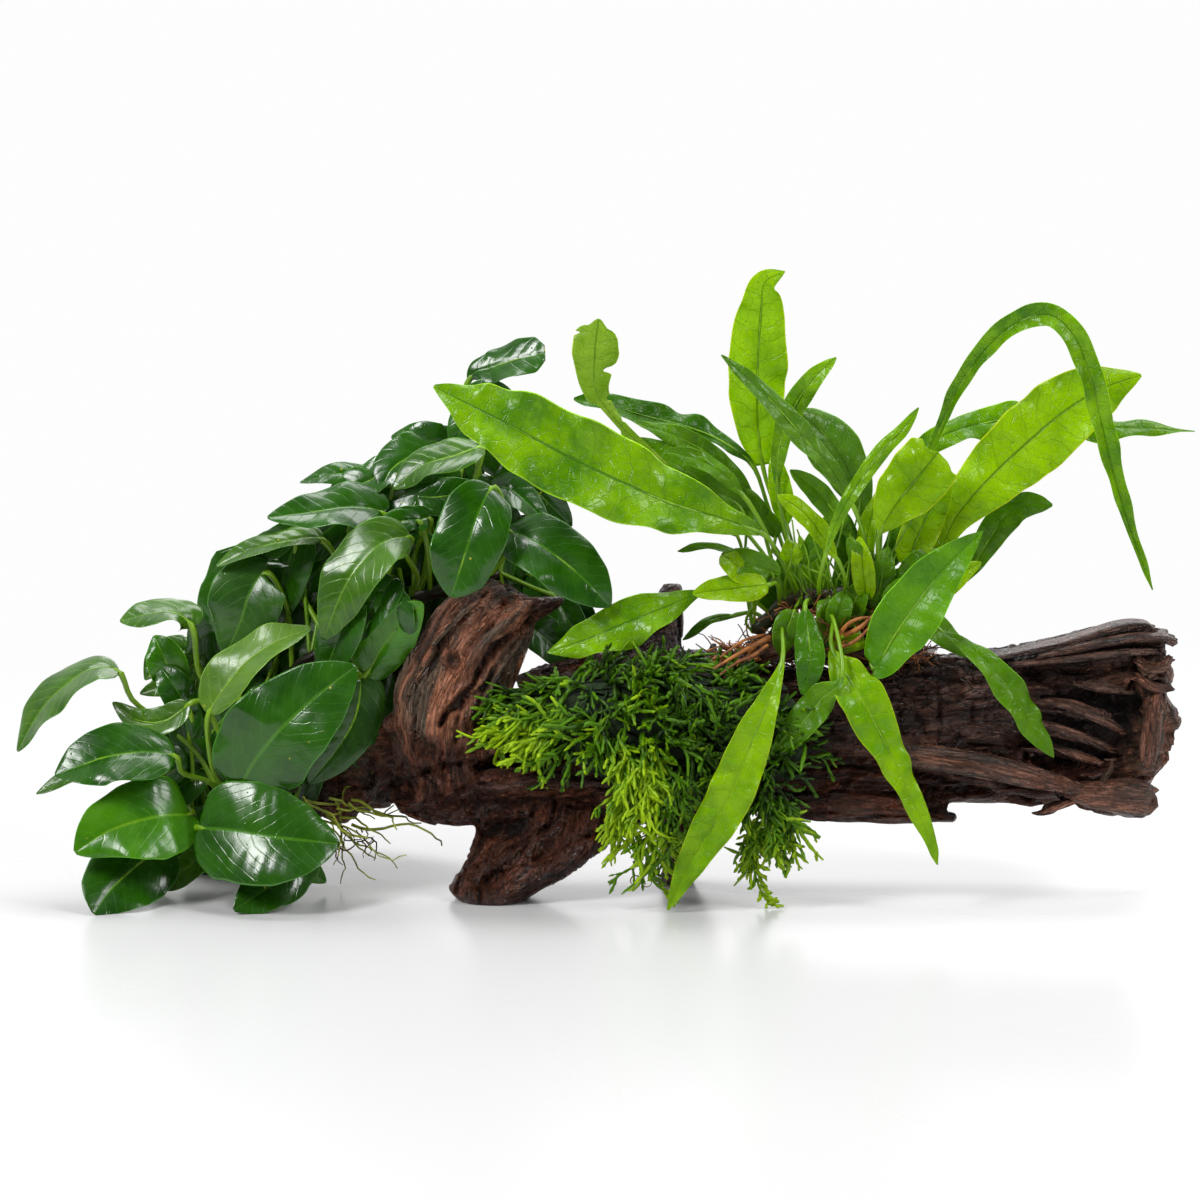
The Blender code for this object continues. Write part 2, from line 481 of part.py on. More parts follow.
# Fern leaves: name, stalk points, rib points, width, facing at base, facing at tip, fold, outline.
FERN = (
    ("long_left", ((7.9, 3.1, 12.5), (7.4, 2.3, 13.7), (6.8, 1.7, 14.7)),
     ((6.2, 1.3, 15.3), (4.6, 0.7, 15.9), (2.6, 0.3, 16.5), (0.6, 0.1, 17.35), (-1.6, 0.1, 18.4),
      (-3.8, 0.3, 19.6), (-5.4, 0.6, 20.4), (-6.85, 0.9, 21.15)), 3.9, (0.1, -0.92, 0.35),
     (0.0, -0.85, 0.5), 0.08, "strap"),
    ("torn_tip", ((7.5, 3.1, 12.5), (6.3, 3.3, 14.5), (4.6, 3.4, 16.4)),
     ((3.2, 3.2, 17.4), (1.9, 2.9, 18.4), (0.5, 2.7, 19.7), (-0.35, 2.6, 21.0), (-0.4, 2.5, 22.5),
      (-0.25, 2.4, 23.85)),
     1.9, (0.1, -0.93, 0.3), (0.0, -0.97, 0.1), 0.05, "flag"),
    ("wavy_left", ((7.8, 3.25, 12.55), (7.2, 4.8, 14.5), (6.5, 5.0, 16.4)),
     ((5.9, 4.7, 18.0), (4.7, 4.5, 19.0), (3.2, 4.3, 19.6), (1.6, 4.2, 20.0), (0.2, 4.1, 20.4),
      (-1.25, 4.1, 20.65)), 1.4, (0.1, -0.55, 0.8), (0.0, -0.7, 0.7), 0.15, "ribbon"),
    ("tall_centre", ((8.3, 3.2, 12.6), (7.4, 4.1, 14.6), (6.7, 4.7, 16.6)),
     ((6.3, 4.9, 18.0), (6.1, 4.9, 19.8), (6.1, 4.8, 21.4), (6.15, 4.7, 22.9), (6.25, 4.6, 24.3),
      (6.4, 4.5, 25.3), (7.2, 4.4, 25.75)), 2.4, (0.0, -0.97, 0.1), None, 0.05, "spear"),
    ("narrow_left", ((10.6, 3.1, 12.5), (10.5, 2.6, 14.5)),
     ((10.0, 2.3, 16.2), (9.15, 2.1, 17.7), (8.1, 2.0, 18.95), (7.15, 1.9, 20.05), (6.1, 2.0, 21.15),
      (4.65, 2.1, 22.4)), 1.0, (0.3, -0.9, 0.3), None, 0.12, "ribbon"),
    ("wide_back", ((10.3, 3.2, 12.6), (10.7, 3.5, 14.2)),
     ((10.5, 3.8, 15.6), (10.0, 3.8, 17.1), (9.3, 3.7, 18.5), (8.5, 3.6, 19.5), (7.4, 3.6, 20.2)),
     2.2, (0.1, -0.94, 0.3), None, 0.06, "strap"),
    ("narrow_right_up", ((8.1, 3.2, 12.6), (7.3, 3.6, 15.0)),
     ((6.9, 3.5, 17.0), (7.0, 3.3, 18.8), (7.5, 3.1, 20.2), (8.3, 2.9, 21.4), (9.25, 2.9, 22.3)),
     0.95, (0.1, -0.95, 0.3), None, 0.05, "ribbon"),
    ("arching_gold", ((9.6, 3.0, 12.6), (9.6, 1.8, 13.4)),
     ((9.3, 1.5, 14.2), (8.6, 1.3, 15.3), (7.8, 1.2, 16.2), (6.9, 1.2, 16.8)), 0.9,
     (0.1, -0.8, 0.6), None, 0.05, "ribbon"),
    ("needle", ((8.6, 3.0, 12.6), (8.55, 1.6, 13.2)),
     ((8.8, 0.9, 14.3), (9.3, 0.7, 15.8), (10.1, 0.7, 17.2), (11.1, 0.8, 18.6), (11.9, 0.9, 19.4),
      (12.55, 1.0, 20.3)), 0.65, (0.0, -0.97, 0.2), None, 0.05, "ribbon"),
    ("high_arch", ((11.3, 3.1, 12.4), (11.4, 3.4, 14.2), (12.0, 3.5, 16.0)),
     ((12.6, 3.5, 17.6), (13.3, 3.3, 19.2), (14.1, 2.9, 21.0), (15.2, 2.4, 22.6), (16.5, 2.0, 23.7),
      (17.8, 1.7, 24.0), (18.8, 1.5, 23.1), (19.4, 1.4, 21.6), (19.8, 1.4, 20.0), (20.2, 1.4, 18.2),
      (20.7, 1.4, 16.4), (21.3, 1.4, 14.6), (21.9, 1.4, 13.0)), 1.15, (-0.5, -0.8, 0.4),
     (0.5, -0.85, 0.2), 0.15, "ribbon"),
    ("long_back", ((11.1, 3.2, 12.5), (11.0, 4.4, 14.5)),
     ((11.2, 4.8, 16.4), (12.1, 4.8, 18.1), (13.6, 4.8, 19.2), (15.4, 4.8, 19.75), (17.4, 4.8, 19.95),
      (19.4, 4.6, 19.55), (21.5, 4.4, 19.5), (23.6, 4.2, 19.35)), 1.55, (-0.1, -0.9, 0.4),
     (0.0, -0.6, 0.8), 0.05, "strap"),
    ("bright_right", ((11.9, 3.2, 12.1), (12.5, 2.9, 13.3)),
     ((13.2, 2.8, 14.2), (14.1, 2.9, 16.0), (15.5, 3.0, 17.6), (17.0, 3.0, 19.0), (18.6, 3.0, 20.3),
      (20.0, 2.9, 21.1), (21.45, 2.8, 21.6)), 3.1, (-0.1, -0.93, 0.3), None, 0.04, "strap"),
    ("cut_tip", ((10.9, 3.0, 12.5), (10.9, 2.3, 14.4)),
     ((11.0, 2.0, 15.3), (11.7, 1.9, 16.5), (12.5, 1.9, 17.5), (13.4, 1.9, 18.6)), 2.6,
     (-0.05, -0.95, 0.25), None, 0.04, "cut"),
    ("pale_back", ((11.6, 3.1, 12.2), (11.8, 2.8, 13.2)),
     ((12.1, 2.7, 13.9), (12.5, 2.6, 15.1), (13.1, 2.6, 16.3), (13.85, 2.6, 17.4)), 1.6,
     (0.0, -0.95, 0.25), None, 0.04, "oval"),
    ("hooked_right", ((12.1, 3.2, 11.95), (13.2, 3.8, 12.3)),
     ((14.2, 4.0, 13.2), (15.1, 4.0, 14.6), (15.8, 4.0, 15.7), (16.7, 4.0, 16.4), (17.9, 4.0, 16.4)),
     1.3, (0.2, -0.9, 0.4), None, 0.06, "ribbon"),
    ("broad_front", ((10.6, 3.0, 12.3), (10.6, 1.6, 11.2)),
     ((10.75, 0.6, 9.85), (11.6, 0.5, 11.2), (12.6, 0.6, 12.65), (13.75, 0.9, 14.05),
      (15.1, 1.2, 15.35)), 2.5, (0.0, -0.95, 0.3), None, 0.14, "ribbon"),
    ("right_droop", ((12.0, 3.1, 11.95), (12.6, 2.1, 12.1)),
     ((13.1, 1.2, 11.6), (14.5, 0.3, 10.75), (15.65, -0.1, 9.7), (16.6, -0.2, 8.4), (17.35, -0.2, 7.2),
      (17.95, -0.1, 6.3)), 1.25, (0.3, -0.85, 0.5), (0.3, -0.95, 0.2), 0.06, "strap"),
    ("front_droop", ((9.3, 3.0, 12.4), (9.1, 1.6, 11.6)),
     ((9.1, 0.5, 10.6), (9.95, -0.2, 9.2), (10.75, -0.5, 7.8), (11.55, -0.6, 6.2), (12.3, -0.6, 4.6),
      (12.95, -0.6, 3.2), (13.3, -0.5, 2.0)), 2.1, (0.2, -0.9, 0.4), (0.2, -0.97, 0.1), 0.06,
     "tail"),
    ("floor_droop", ((7.2, 3.1, 12.2), (7.1, 1.2, 11.4)),
     ((7.1, 0.0, 10.2), (6.6, -0.7, 8.7), (5.9, -0.95, 7.0), (5.2, -1.0, 5.2), (4.4, -0.9, 3.7),
      (3.4, -0.6, 2.0), (2.5, -0.2, 0.2)), 1.85, (-0.1, -0.93, 0.35), (-0.1, -0.97, 0.1), 0.05,
     "strap"),
    ("low_left", ((8.8, 3.0, 12.4), (9.2, 0.9, 11.6)),
     ((9.5, -0.4, 9.6), (8.7, -0.5, 8.7), (7.8, -0.45, 7.6), (6.6, -0.3, 6.4)), 1.4,
     (-0.1, -0.93, 0.3), None, 0.05, "strap"),
    ("dark_front", ((8.1, 3.0, 12.4), (8.1, 1.6, 12.6)),
     ((8.0, 0.9, 12.3), (8.15, 0.3, 11.1), (8.2, 0.0, 10.0), (7.9, -0.1, 8.8)), 1.2,
     (0.0, -0.93, 0.3), None, 0.1, "ribbon"),
    ("low_spear", ((6.7, 3.2, 12.0), (5.4, 2.4, 12.9)),
     ((3.9, 2.1, 12.9), (2.6, 1.9, 12.4), (1.1, 1.8, 11.8), (-0.6, 1.8, 11.1), (-2.3, 1.9, 10.5)),
     2.0, (0.0, -0.9, 0.45), None, 0.06, "strap"),
    ("round_left", ((7.0, 3.1, 12.2), (6.9, 2.0, 13.2)),
     ((6.5, 1.4, 13.2), (5.6, 1.1, 13.1), (4.6, 1.0, 13.0), (3.5, 1.0, 12.85)), 1.3,
     (0.0, -0.9, 0.45), None, 0.05, "oval"),
)

# Young fern leaves that stand close together on the creeping stem.
FERN_INNER = (
    (((7.2, 3.15, 12.35), (6.5, 4.1, 14.8)),
     ((6.0, 3.9, 16.6), (4.7, 3.6, 18.1), (3.0, 3.4, 19.1), (1.2, 3.3, 19.7)), 0.9,
     (0.1, -0.8, 0.6), None, 0.05, "ribbon"),
    (((7.8, 3.1, 12.5), (6.8, 2.8, 14.6)),
     ((5.6, 2.6, 16.7), (4.2, 2.4, 18.0), (2.4, 2.2, 18.6)), 0.8, (0.1, -0.8, 0.6), None, 0.05,
     "ribbon"),
    (((10.1, 3.1, 12.6), (10.2, 2.7, 14.0)),
     ((9.9, 2.7, 15.0), (9.2, 2.7, 16.1), (8.4, 2.7, 17.0), (7.4, 2.7, 17.8)), 0.95,
     (0.1, -0.93, 0.3), None, 0.05, "ribbon"),
    (((7.5, 3.2, 12.4), (6.4, 3.6, 13.8)),
     ((5.9, 3.6, 13.6), (5.3, 3.5, 14.0), (4.7, 3.4, 13.9)), 0.9, (0.0, -0.85, 0.5), None, 0.05,
     "oval"),
    (((7.3, 3.0, 12.4), (6.6, 2.6, 14.2)),
     ((5.5, 2.4, 14.5), (4.2, 2.3, 14.8), (2.9, 2.3, 14.55)), 0.45, (0.0, -0.7, 0.7), None, 0.05,
     "ribbon"),
    (((6.5, 3.15, 11.8), (5.9, 3.4, 12.1)),
     ((5.2, 3.3, 12.0), (4.2, 3.2, 11.8), (3.1, 3.2, 11.0)), 0.45, (0.0, -0.8, 0.6), None, 0.05,
     "ribbon"),
    (((9.9, 3.0, 12.6), (10.3, 2.2, 13.2)),
     ((10.4, 2.0, 13.6), (10.1, 1.9, 14.4), (9.7, 1.8, 15.1)), 0.8, (0.0, -0.93, 0.3), None, 0.05,
     "oval"),
    (((11.2, 3.0, 12.4), (11.0, 2.3, 12.4)),
     ((11.3, 1.9, 12.3), (11.7, 1.7, 12.9), (12.1, 1.6, 13.5)), 1.0, (0.0, -0.93, 0.3), None, 0.05,
     "oval"),
)


def driftwood(home, helpers):
    wet = material("wet driftwood", WET_WOOD, 0.45)
    dark = material("dark driftwood", DARK_WOOD, 0.5)
    red = material("red driftwood", RED_WOOD, 0.5)
    trunk = limb("driftwood_trunk", TRUNK, home, wet, sides=22, facing=ALONG)
    stump = limb("driftwood_stump", STUMP, home, red)
    point = limb("stump_point", STUMP_POINT, home, red, sides=10)
    join(stump, [point])
    foot = limb("driftwood_foot", FOOT, home, wet, flat_start=True, facing=UP)
    fork = limb("driftwood_back_fork", BACK_FORK, home, dark, sides=16, facing=UP)
    ridge = limb("log_ridge", LOG_RIDGE, home, dark, sides=12)
    join(fork, [ridge])
    bough = limb("driftwood_left_bough", LEFT_BOUGH, home, dark, flat_start=True)
    leg = limb("driftwood_back_leg", BACK_LEG, home, dark, sides=12, flat_start=True, facing=UP)
    spur = limb("driftwood_spur", SPUR, home, wet, sides=12)
    carve(stump, [trunk], helpers)
    carve(foot, [trunk], helpers)
    carve(leg, [trunk], helpers)
    carve(spur, [trunk], helpers)
    carve(fork, [trunk, stump], helpers)
    carve(bough, [trunk, stump], helpers)
    return [trunk, stump, foot, fork, bough, leg, spur]


def moss(home, helpers, wood):
    green = material("java moss", MOSS_GREEN, 0.9)
    mat = limb("java_moss_mat", MOSS_MAT, home, green, sides=20, rough=0.12)
    left = limb("java_moss_beard_left", MOSS_LEFT, home, green, sides=8, rough=0.12)
    right = limb("java_moss_beard_right", MOSS_RIGHT, home, green, sides=8, rough=0.12)
    carve(mat, wood, helpers)
    carve(left, [mat, *wood], helpers)
    carve(right, [mat, *wood], helpers)
    return [mat, left, right]


def leaves(prefix, table, home, look, stalk, thickness, fewest=8):
    made = []
    for entry in table:
        name, rest = entry[0], entry[1:]
        outline = rest[6] if len(rest) > 6 else "oval"
        stations = max(fewest, round(1.2 * len(rest[1])))
        rings = leaf_rings(*rest[:6], outline, stalk, thickness, stations)
        made.append(loft(prefix + name, rings, home, look))
    return made


def cluster(base, table, home, look, stalk, thickness):
    """Joins several small leaves to the creeping stem that they grow from."""
    named = [("part_%d" % order, *entry) for order, entry in enumerate(table)]
    join(base, leaves(base.name, named, home, look, stalk, thickness, fewest=5))
    base.data.materials.clear()
    base.data.materials.append(look)


def build():
    for old in list(bpy.data.objects):
        bpy.data.objects.remove(old, do_unlink=True)
    home = collection("java fern on driftwood")
    helpers = collection("clearances", rendered=False)
    wood = driftwood(home, helpers)
    brown = material("rhizome and roots", ROOT_BROWN, 0.7)
    deep = material("anubias leaf", DEEP_GREEN, 0.25)
    bright = material("anubias inner leaf", BRIGHT_GREEN, 0.3)
    fern = material("fern leaf", FERN_GREEN, 0.35)
    mosses = moss(home, helpers, wood)
    stems = {name: tube(name, *path, home, bright) for name, path in RHIZOMES.items()}
    lower, upper = stems["anubias_rhizome_lower"], stems["anubias_rhizome_upper"]
    mat = limb("fern_root_mat", ROOT_MAT, home, brown, sides=14, rough=0.15)
    carve(mat, [*wood, *mosses, stems["fern_rhizome"]], helpers)
    anubias_leaves = leaves("anubias_leaf_", ANUBIAS, home, deep, ANUBIAS_STALK, ANUBIAS_BLADE)
    fern_leaves = leaves("fern_leaf_", FERN, home, fern, FERN_STALK, FERN_BLADE)
    for leaf in anubias_leaves:
        carve(leaf, [lower, upper], helpers)
    for leaf in fern_leaves:
        carve(leaf, [stems["fern_rhizome"], mat], helpers)
    cluster(lower, ANUBIAS_INNER_LEFT, home, bright, ANUBIAS_STALK, ANUBIAS_BLADE)
    cluster(upper, ANUBIAS_INNER_UPPER, home, bright, ANUBIAS_STALK, ANUBIAS_BLADE)
    cluster(stems["fern_rhizome"], FERN_INNER, home, fern, FERN_STALK, FERN_BLADE)
    for stem in stems.values():
        carve(stem, wood, helpers)


build()
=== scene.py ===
"""Looks of java fern, anubias and java moss on a forked piece of driftwood."""

import math

import bpy
import numpy as np
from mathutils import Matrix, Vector, noise


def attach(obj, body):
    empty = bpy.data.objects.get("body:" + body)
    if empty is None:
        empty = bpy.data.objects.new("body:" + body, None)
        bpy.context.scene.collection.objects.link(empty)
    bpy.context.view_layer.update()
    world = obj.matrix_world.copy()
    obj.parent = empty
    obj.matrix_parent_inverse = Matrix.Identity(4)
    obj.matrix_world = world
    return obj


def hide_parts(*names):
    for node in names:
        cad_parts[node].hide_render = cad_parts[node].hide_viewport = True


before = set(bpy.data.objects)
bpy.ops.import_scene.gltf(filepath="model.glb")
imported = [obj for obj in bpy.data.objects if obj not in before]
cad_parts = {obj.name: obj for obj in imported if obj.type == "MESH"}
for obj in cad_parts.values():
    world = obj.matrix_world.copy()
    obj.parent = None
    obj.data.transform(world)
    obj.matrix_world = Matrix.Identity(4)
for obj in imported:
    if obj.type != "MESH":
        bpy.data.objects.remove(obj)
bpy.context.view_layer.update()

# The tables hold centimetres, measured from the front at VIEW_DISTANCE, looking down by
# VIEW_TILT: across and up on an upright plane through the foot, and the depth behind that plane.
CM = 0.01
VIEW_DISTANCE = 200.0
VIEW_TILT = math.radians(10.0)
PLANE_CENTRE = (-0.2, 12.6)
SHIFT = (0.0, -5.64, 0.0)
SIN = math.sin(VIEW_TILT)
COS = math.cos(VIEW_TILT)
ALONG = (1.0, 0.0, 0.0)
UP = (0.0, 0.0, 1.0)
FRONT = (0.0, -1.0, 0.0)
# How far moss and roots, and leaves, stay above the floor, in metres.
TUBE_CLEARANCE = 0.0003
LEAF_CLEARANCE = 0.0002


def seen(x, y, v):
    """The world point, in metres, that is seen x across and v up when it lies y behind the plane."""
    up = v - PLANE_CENTRE[1]
    height = (up * (1 + y * COS / VIEW_DISTANCE) - y * SIN) / (COS + up * SIN / VIEW_DISTANCE)
    nearness = 1 + (y * COS - height * SIN) / VIEW_DISTANCE
    across = PLANE_CENTRE[0] + (x - PLANE_CENTRE[0]) * nearness
    rise = PLANE_CENTRE[1] / COS + height
    return np.array((across + SHIFT[0], y + SHIFT[1], rise + SHIFT[2])) * CM


def from_front(points):
    """For world points in metres: across, up and depth, as the tables measure them."""
    local = points / CM - np.array(SHIFT)
    across = local[:, 0] - PLANE_CENTRE[0]
    height = local[:, 2] - PLANE_CENTRE[1] / COS
    scale = 1 / (1 + (local[:, 1] * COS - height * SIN) / VIEW_DISTANCE)
    x = PLANE_CENTRE[0] + across * scale
    v = PLANE_CENTRE[1] + (local[:, 1] * SIN + height * COS) * scale
    return x, v, local[:, 1]


def unit(rows):
    """The rows scaled to a length of 1."""
    rows = np.asarray(rows, float)
    return rows / np.maximum(np.linalg.norm(rows, axis=-1, keepdims=True), 1e-9)


def spine(points, places):
    """A smooth curve through the points, read at the places, where each point counts as one step."""
    points = np.array(points, float)
    padded = np.vstack([2 * points[0] - points[1], points, 2 * points[-1] - points[-2]])
    step = np.minimum(np.asarray(places).astype(int), len(points) - 2)
    t = (places - step)[:, None]
    a, b, c, d = padded[step], padded[step + 1], padded[step + 2], padded[step + 3]
    return 0.5 * (2 * b + (c - a) * t + (2 * a - 5 * b + 4 * c - d) * t ** 2
                  + (3 * b - a - 3 * c + d) * t ** 3)


def lattice(x, y, z):
    """A fixed value from -1 to 1 for each corner of a grid."""
    n = (x * 1619 + y * 31337 + z * 6971) & 0x7FFFFFFF
    n = (n >> 13) ^ n
    n = (n * ((n * n * 60493 + 19990303) & 0x7FFFFFFF) + 1376312589) & 0x7FFFFFFF
    return n / 1073741824.0 - 1.0


def smooth_noise(points):
    """Smooth noise from -1 to 1 at each point, whose last axis holds three coordinates."""
    base = np.floor(points).astype(np.int64)
    f = points - base
    f = f * f * (3 - 2 * f)
    total = np.zeros(points.shape[:-1])
    for corner in range(8):
        i, j, k = corner & 1, corner >> 1 & 1, corner >> 2 & 1
        weight = ((f[..., 0] if i else 1 - f[..., 0]) * (f[..., 1] if j else 1 - f[..., 1])
                  * (f[..., 2] if k else 1 - f[..., 2]))
        total += weight * lattice(base[..., 0] + i, base[..., 1] + j, base[..., 2] + k)
    return total


def fractal(points, octaves=3):
    """Smooth noise with finer and weaker noise added to it."""
    total = 0
    for octave in range(octaves):
        total = total + smooth_noise(points * 2 ** octave + 17.3 * octave) * 0.5 ** octave
    return total


def arc_length(centres):
    """How far along its line each point lies, in centimetres."""
    return np.concatenate([[0], np.cumsum(np.linalg.norm(np.diff(centres, axis=0), axis=1))]) / CM


def same(vector, count):
    """The same vector in each of so many rows."""
    return np.tile(np.array(vector, float), (count, 1))


def read_vectors(items, key):
    """The three numbers that each item of a mesh holds under the key."""
    values = np.empty(len(items) * 3, np.float32)
    items.foreach_get(key, values)
    return values.reshape(-1, 3).astype(float)


def mesh_object(name, points, faces, look, slots=None):
    """A smooth-shaded object from points in metres and faces of one length."""
    data = bpy.data.meshes.new(name)
    faces = np.asarray(faces)
    data.vertices.add(len(points))
    data.vertices.foreach_set("co", np.asarray(points, np.float32).ravel())
    data.loops.add(faces.size)
    data.loops.foreach_set("vertex_index", faces.ravel().astype(np.int32))
    data.polygons.add(len(faces))
    data.polygons.foreach_set("loop_start", np.arange(0, faces.size, faces.shape[1], dtype=np.int32))
    data.update(calc_edges=True)
    data.shade_smooth()
    for one in look if isinstance(look, (list, tuple)) else [look]:
        data.materials.append(one)
    if slots is not None:
        data.polygons.foreach_set("material_index", np.asarray(slots, np.int32))
    made = bpy.data.objects.new(name, data)
    bpy.context.scene.collection.objects.link(made)
    return made


def loose_object(name, points, faces, look):
    """A smooth-shaded object from lists of points in metres and faces of any length."""
    data = bpy.data.meshes.new(name)
    data.from_pydata(points, [], faces)
    data.shade_smooth()
    data.materials.append(look)
    made = bpy.data.objects.new(name, data)
    bpy.context.scene.collection.objects.link(made)
    return made


def add_numbers(thing, name, values):
    """Stores a number or a vector at each point, for the material to read."""
    values = np.asarray(values, np.float32)
    kind, key = ("FLOAT", "value") if values.ndim == 1 else ("FLOAT_VECTOR", "vector")
    layer = thing.data.attributes.new(name, kind, "POINT")
    layer.data.foreach_set(key, values.ravel())


def add_uv(thing, uv):
    """Stores a uv pair, given for each point, at every face corner."""
    layer = thing.data.uv_layers.new(name="UVMap")
    corners = np.empty(len(thing.data.loops), np.int32)
    thing.data.loops.foreach_get("vertex_index", corners)
    layer.data.foreach_set("uv", np.asarray(uv, np.float32)[corners].ravel())


def tubes(lines, radii, sides):
    """Points and four-sided faces of many tubes: lines is (tubes, stations, 3), radii (tubes, stations)."""
    lines = np.asarray(lines, float)
    count, stations = lines.shape[:2]
    ways = unit(np.gradient(lines, axis=1))
    helper = np.tile(np.array((0.31, 0.83, 0.46)), (count, stations, 1))
    side = unit(np.cross(ways, helper))
    other = np.cross(ways, side)
    angles = np.linspace(0, 2 * math.pi, sides, endpoint=False)
    rings = (lines[:, :, None] + radii[:, :, None, None]
             * (side[:, :, None] * np.cos(angles)[:, None] + other[:, :, None] * np.sin(angles)[:, None]))
    order = np.arange(count * stations * sides).reshape(count, stations, sides)
    low, high = order[:, :-1], order[:, 1:]
    faces = np.stack([low, np.roll(low, -1, 2), np.roll(high, -1, 2), high], -1).reshape(-1, 4)
    return rings.reshape(-1, 3), faces


# Materials

def link_in(tree, shader, name, value):
    """Links a node's output into an input, or sets the input to a plain value."""
    socket = shader.inputs[name]
    if hasattr(value, "is_output"):
        tree.links.new(value, socket)
    elif isinstance(value, (tuple, list)) and len(value) == 3 and socket.type == "RGBA":
        socket.default_value = (*value, 1)
    else:
        socket.default_value = value


class Paint:
    """Short names for the shader nodes of one material."""

    def __init__(self, name):
        self.material = bpy.data.materials.new(name)
        self.material.use_nodes = True
        self.tree = self.material.node_tree
        self.tree.nodes.clear()
        self.output = self.tree.nodes.new("ShaderNodeOutputMaterial")

    def add(self, kind, out=0, settings=None, **inputs):
        made = self.tree.nodes.new(kind)
        for key, value in (settings or {}).items():
            setattr(made, key, value)
        for key, value in inputs.items():
            link_in(self.tree, made, key.replace("_", " "), value)
        return made.outputs[out]

    def math(self, operation, a, b=None, c=None, clamp=False):
        made = self.tree.nodes.new("ShaderNodeMath")
        made.operation = operation
        made.use_clamp = clamp
        for index, value in enumerate((a, b, c)):
            if value is not None:
                link_in(self.tree, made, index, value)
        return made.outputs[0]

    def times(self, a, b):
        return self.math("MULTIPLY", a, b)

    def plus(self, a, b):
        return self.math("ADD", a, b)

    def minus(self, a, b):
        return self.math("SUBTRACT", a, b)

    def number(self, name):
        """A number that add_numbers stored at each point."""
        return self.add("ShaderNodeAttribute", out=2, settings={"attribute_name": name})

    def vector(self, name):
        """A vector that add_numbers stored at each point."""
        return self.add("ShaderNodeAttribute", out=1, settings={"attribute_name": name})

    def stretched(self, vector, scale):
        return self.add("ShaderNodeMapping", Vector=vector, Scale=scale)

    def parts(self, vector):
        """The three numbers of a vector."""
        made = self.tree.nodes.new("ShaderNodeSeparateXYZ")
        self.tree.links.new(vector, made.inputs[0])
        return made.outputs

    def noise(self, vector, scale, detail=4.0, roughness=0.55):
        return self.add("ShaderNodeTexNoise", Vector=vector, Scale=scale, Detail=detail,
                        Roughness=roughness)

    def ramp(self, value, low, high, start=0.0, end=1.0):
        """Eases from start to end while the value goes from low to high."""
        made = self.tree.nodes.new("ShaderNodeMapRange")
        made.interpolation_type = "SMOOTHSTEP"
        ends = {"Value": value, "From Min": low, "From Max": high, "To Min": start, "To Max": end}
        for key, item in ends.items():
            link_in(self.tree, made, key, item)
        return made.outputs[0]

    def mix(self, share, a, b, blend="MIX"):
        """Two colours mixed, which this node takes in inputs 6 and 7 and gives in output 2."""
        made = self.tree.nodes.new("ShaderNodeMix")
        made.data_type = "RGBA"
        made.blend_type = blend
        for index, value in ((0, share), (6, a), (7, b)):
            link_in(self.tree, made, index, value)
        return made.outputs[2]

    def bump(self, height, strength, distance):
        return self.add("ShaderNodeBump", Height=height, Strength=strength, Distance=distance)

    def skin(self, **inputs):
        return self.add("ShaderNodeBsdfPrincipled", **inputs)

    def layered(self, share, first, second):
        """Two surfaces mixed, where a share of 0 shows only the first."""
        made = self.tree.nodes.new("ShaderNodeMixShader")
        for index, value in enumerate((share, first, second)):
            link_in(self.tree, made, index, value)
        return made.outputs[0]

    def finish(self, shader):
        self.tree.links.new(shader, self.output.inputs["Surface"])
        return self.material


# Driftwood: each station is x, depth, up, half height across the limb, half depth.
TRUNK = (
    (-8.5, 3.9, 4.9, 0.5, 0.5), (-8.1, 3.9, 4.9, 1.05, 1.0), (-7.2, 3.8, 5.0, 1.35, 1.5),
    (-5.8, 3.7, 5.3, 1.7, 2.0), (-4.0, 3.6, 5.7, 2.05, 2.3), (-2.0, 3.6, 6.2, 2.6, 2.6),
    (0.5, 3.6, 6.7, 3.15, 2.8), (3.0, 3.6, 7.0, 3.2, 2.9), (6.0, 3.5, 7.1, 3.05, 2.8),
    (9.0, 3.4, 7.2, 3.0, 2.65), (12.0, 3.3, 7.3, 2.95, 2.5), (15.0, 3.2, 7.45, 3.15, 2.4),
    (18.0, 3.1, 7.6, 3.4, 2.35), (20.3, 3.0, 7.85, 3.75, 2.35), (21.4, 3.0, 7.9, 3.35, 2.2),
    (22.0, 3.0, 7.95, 2.9, 2.0), (22.3, 3.0, 7.9, 2.2, 1.6), (22.45, 3.0, 7.9, 1.2, 1.0),
)
STUMP = (
    (-6.3, 3.0, 4.9, 1.7, 1.2), (-6.2, 2.9, 5.9, 2.2, 1.7), (-6.3, 2.8, 7.2, 2.3, 1.9),
    (-6.2, 2.8, 8.4, 2.35, 1.9), (-5.8, 2.8, 9.6, 2.35, 1.8), (-5.3, 2.9, 10.7, 2.25, 1.7),
    (-4.6, 3.0, 11.7, 1.95, 1.5), (-3.9, 3.1, 12.5, 1.4, 1.2), (-3.6, 3.1, 12.95, 0.8, 0.7),
)
STUMP_POINT = (
    (-4.4, 2.9, 11.6, 0.8, 0.7), (-3.3, 2.9, 12.1, 0.55, 0.6), (-2.4, 2.8, 12.4, 0.34, 0.4),
    (-1.75, 2.8, 12.62, 0.13, 0.15),
)
FOOT = (
    (-4.6, 2.2, 0.38, 1.0, 1.1), (-4.3, 2.3, 1.1, 2.0, 1.5), (-3.2, 2.5, 2.1, 2.5, 1.7),
    (-2.0, 2.9, 3.3, 3.2, 1.9), (-1.6, 3.3, 4.9, 3.4, 1.9),
)
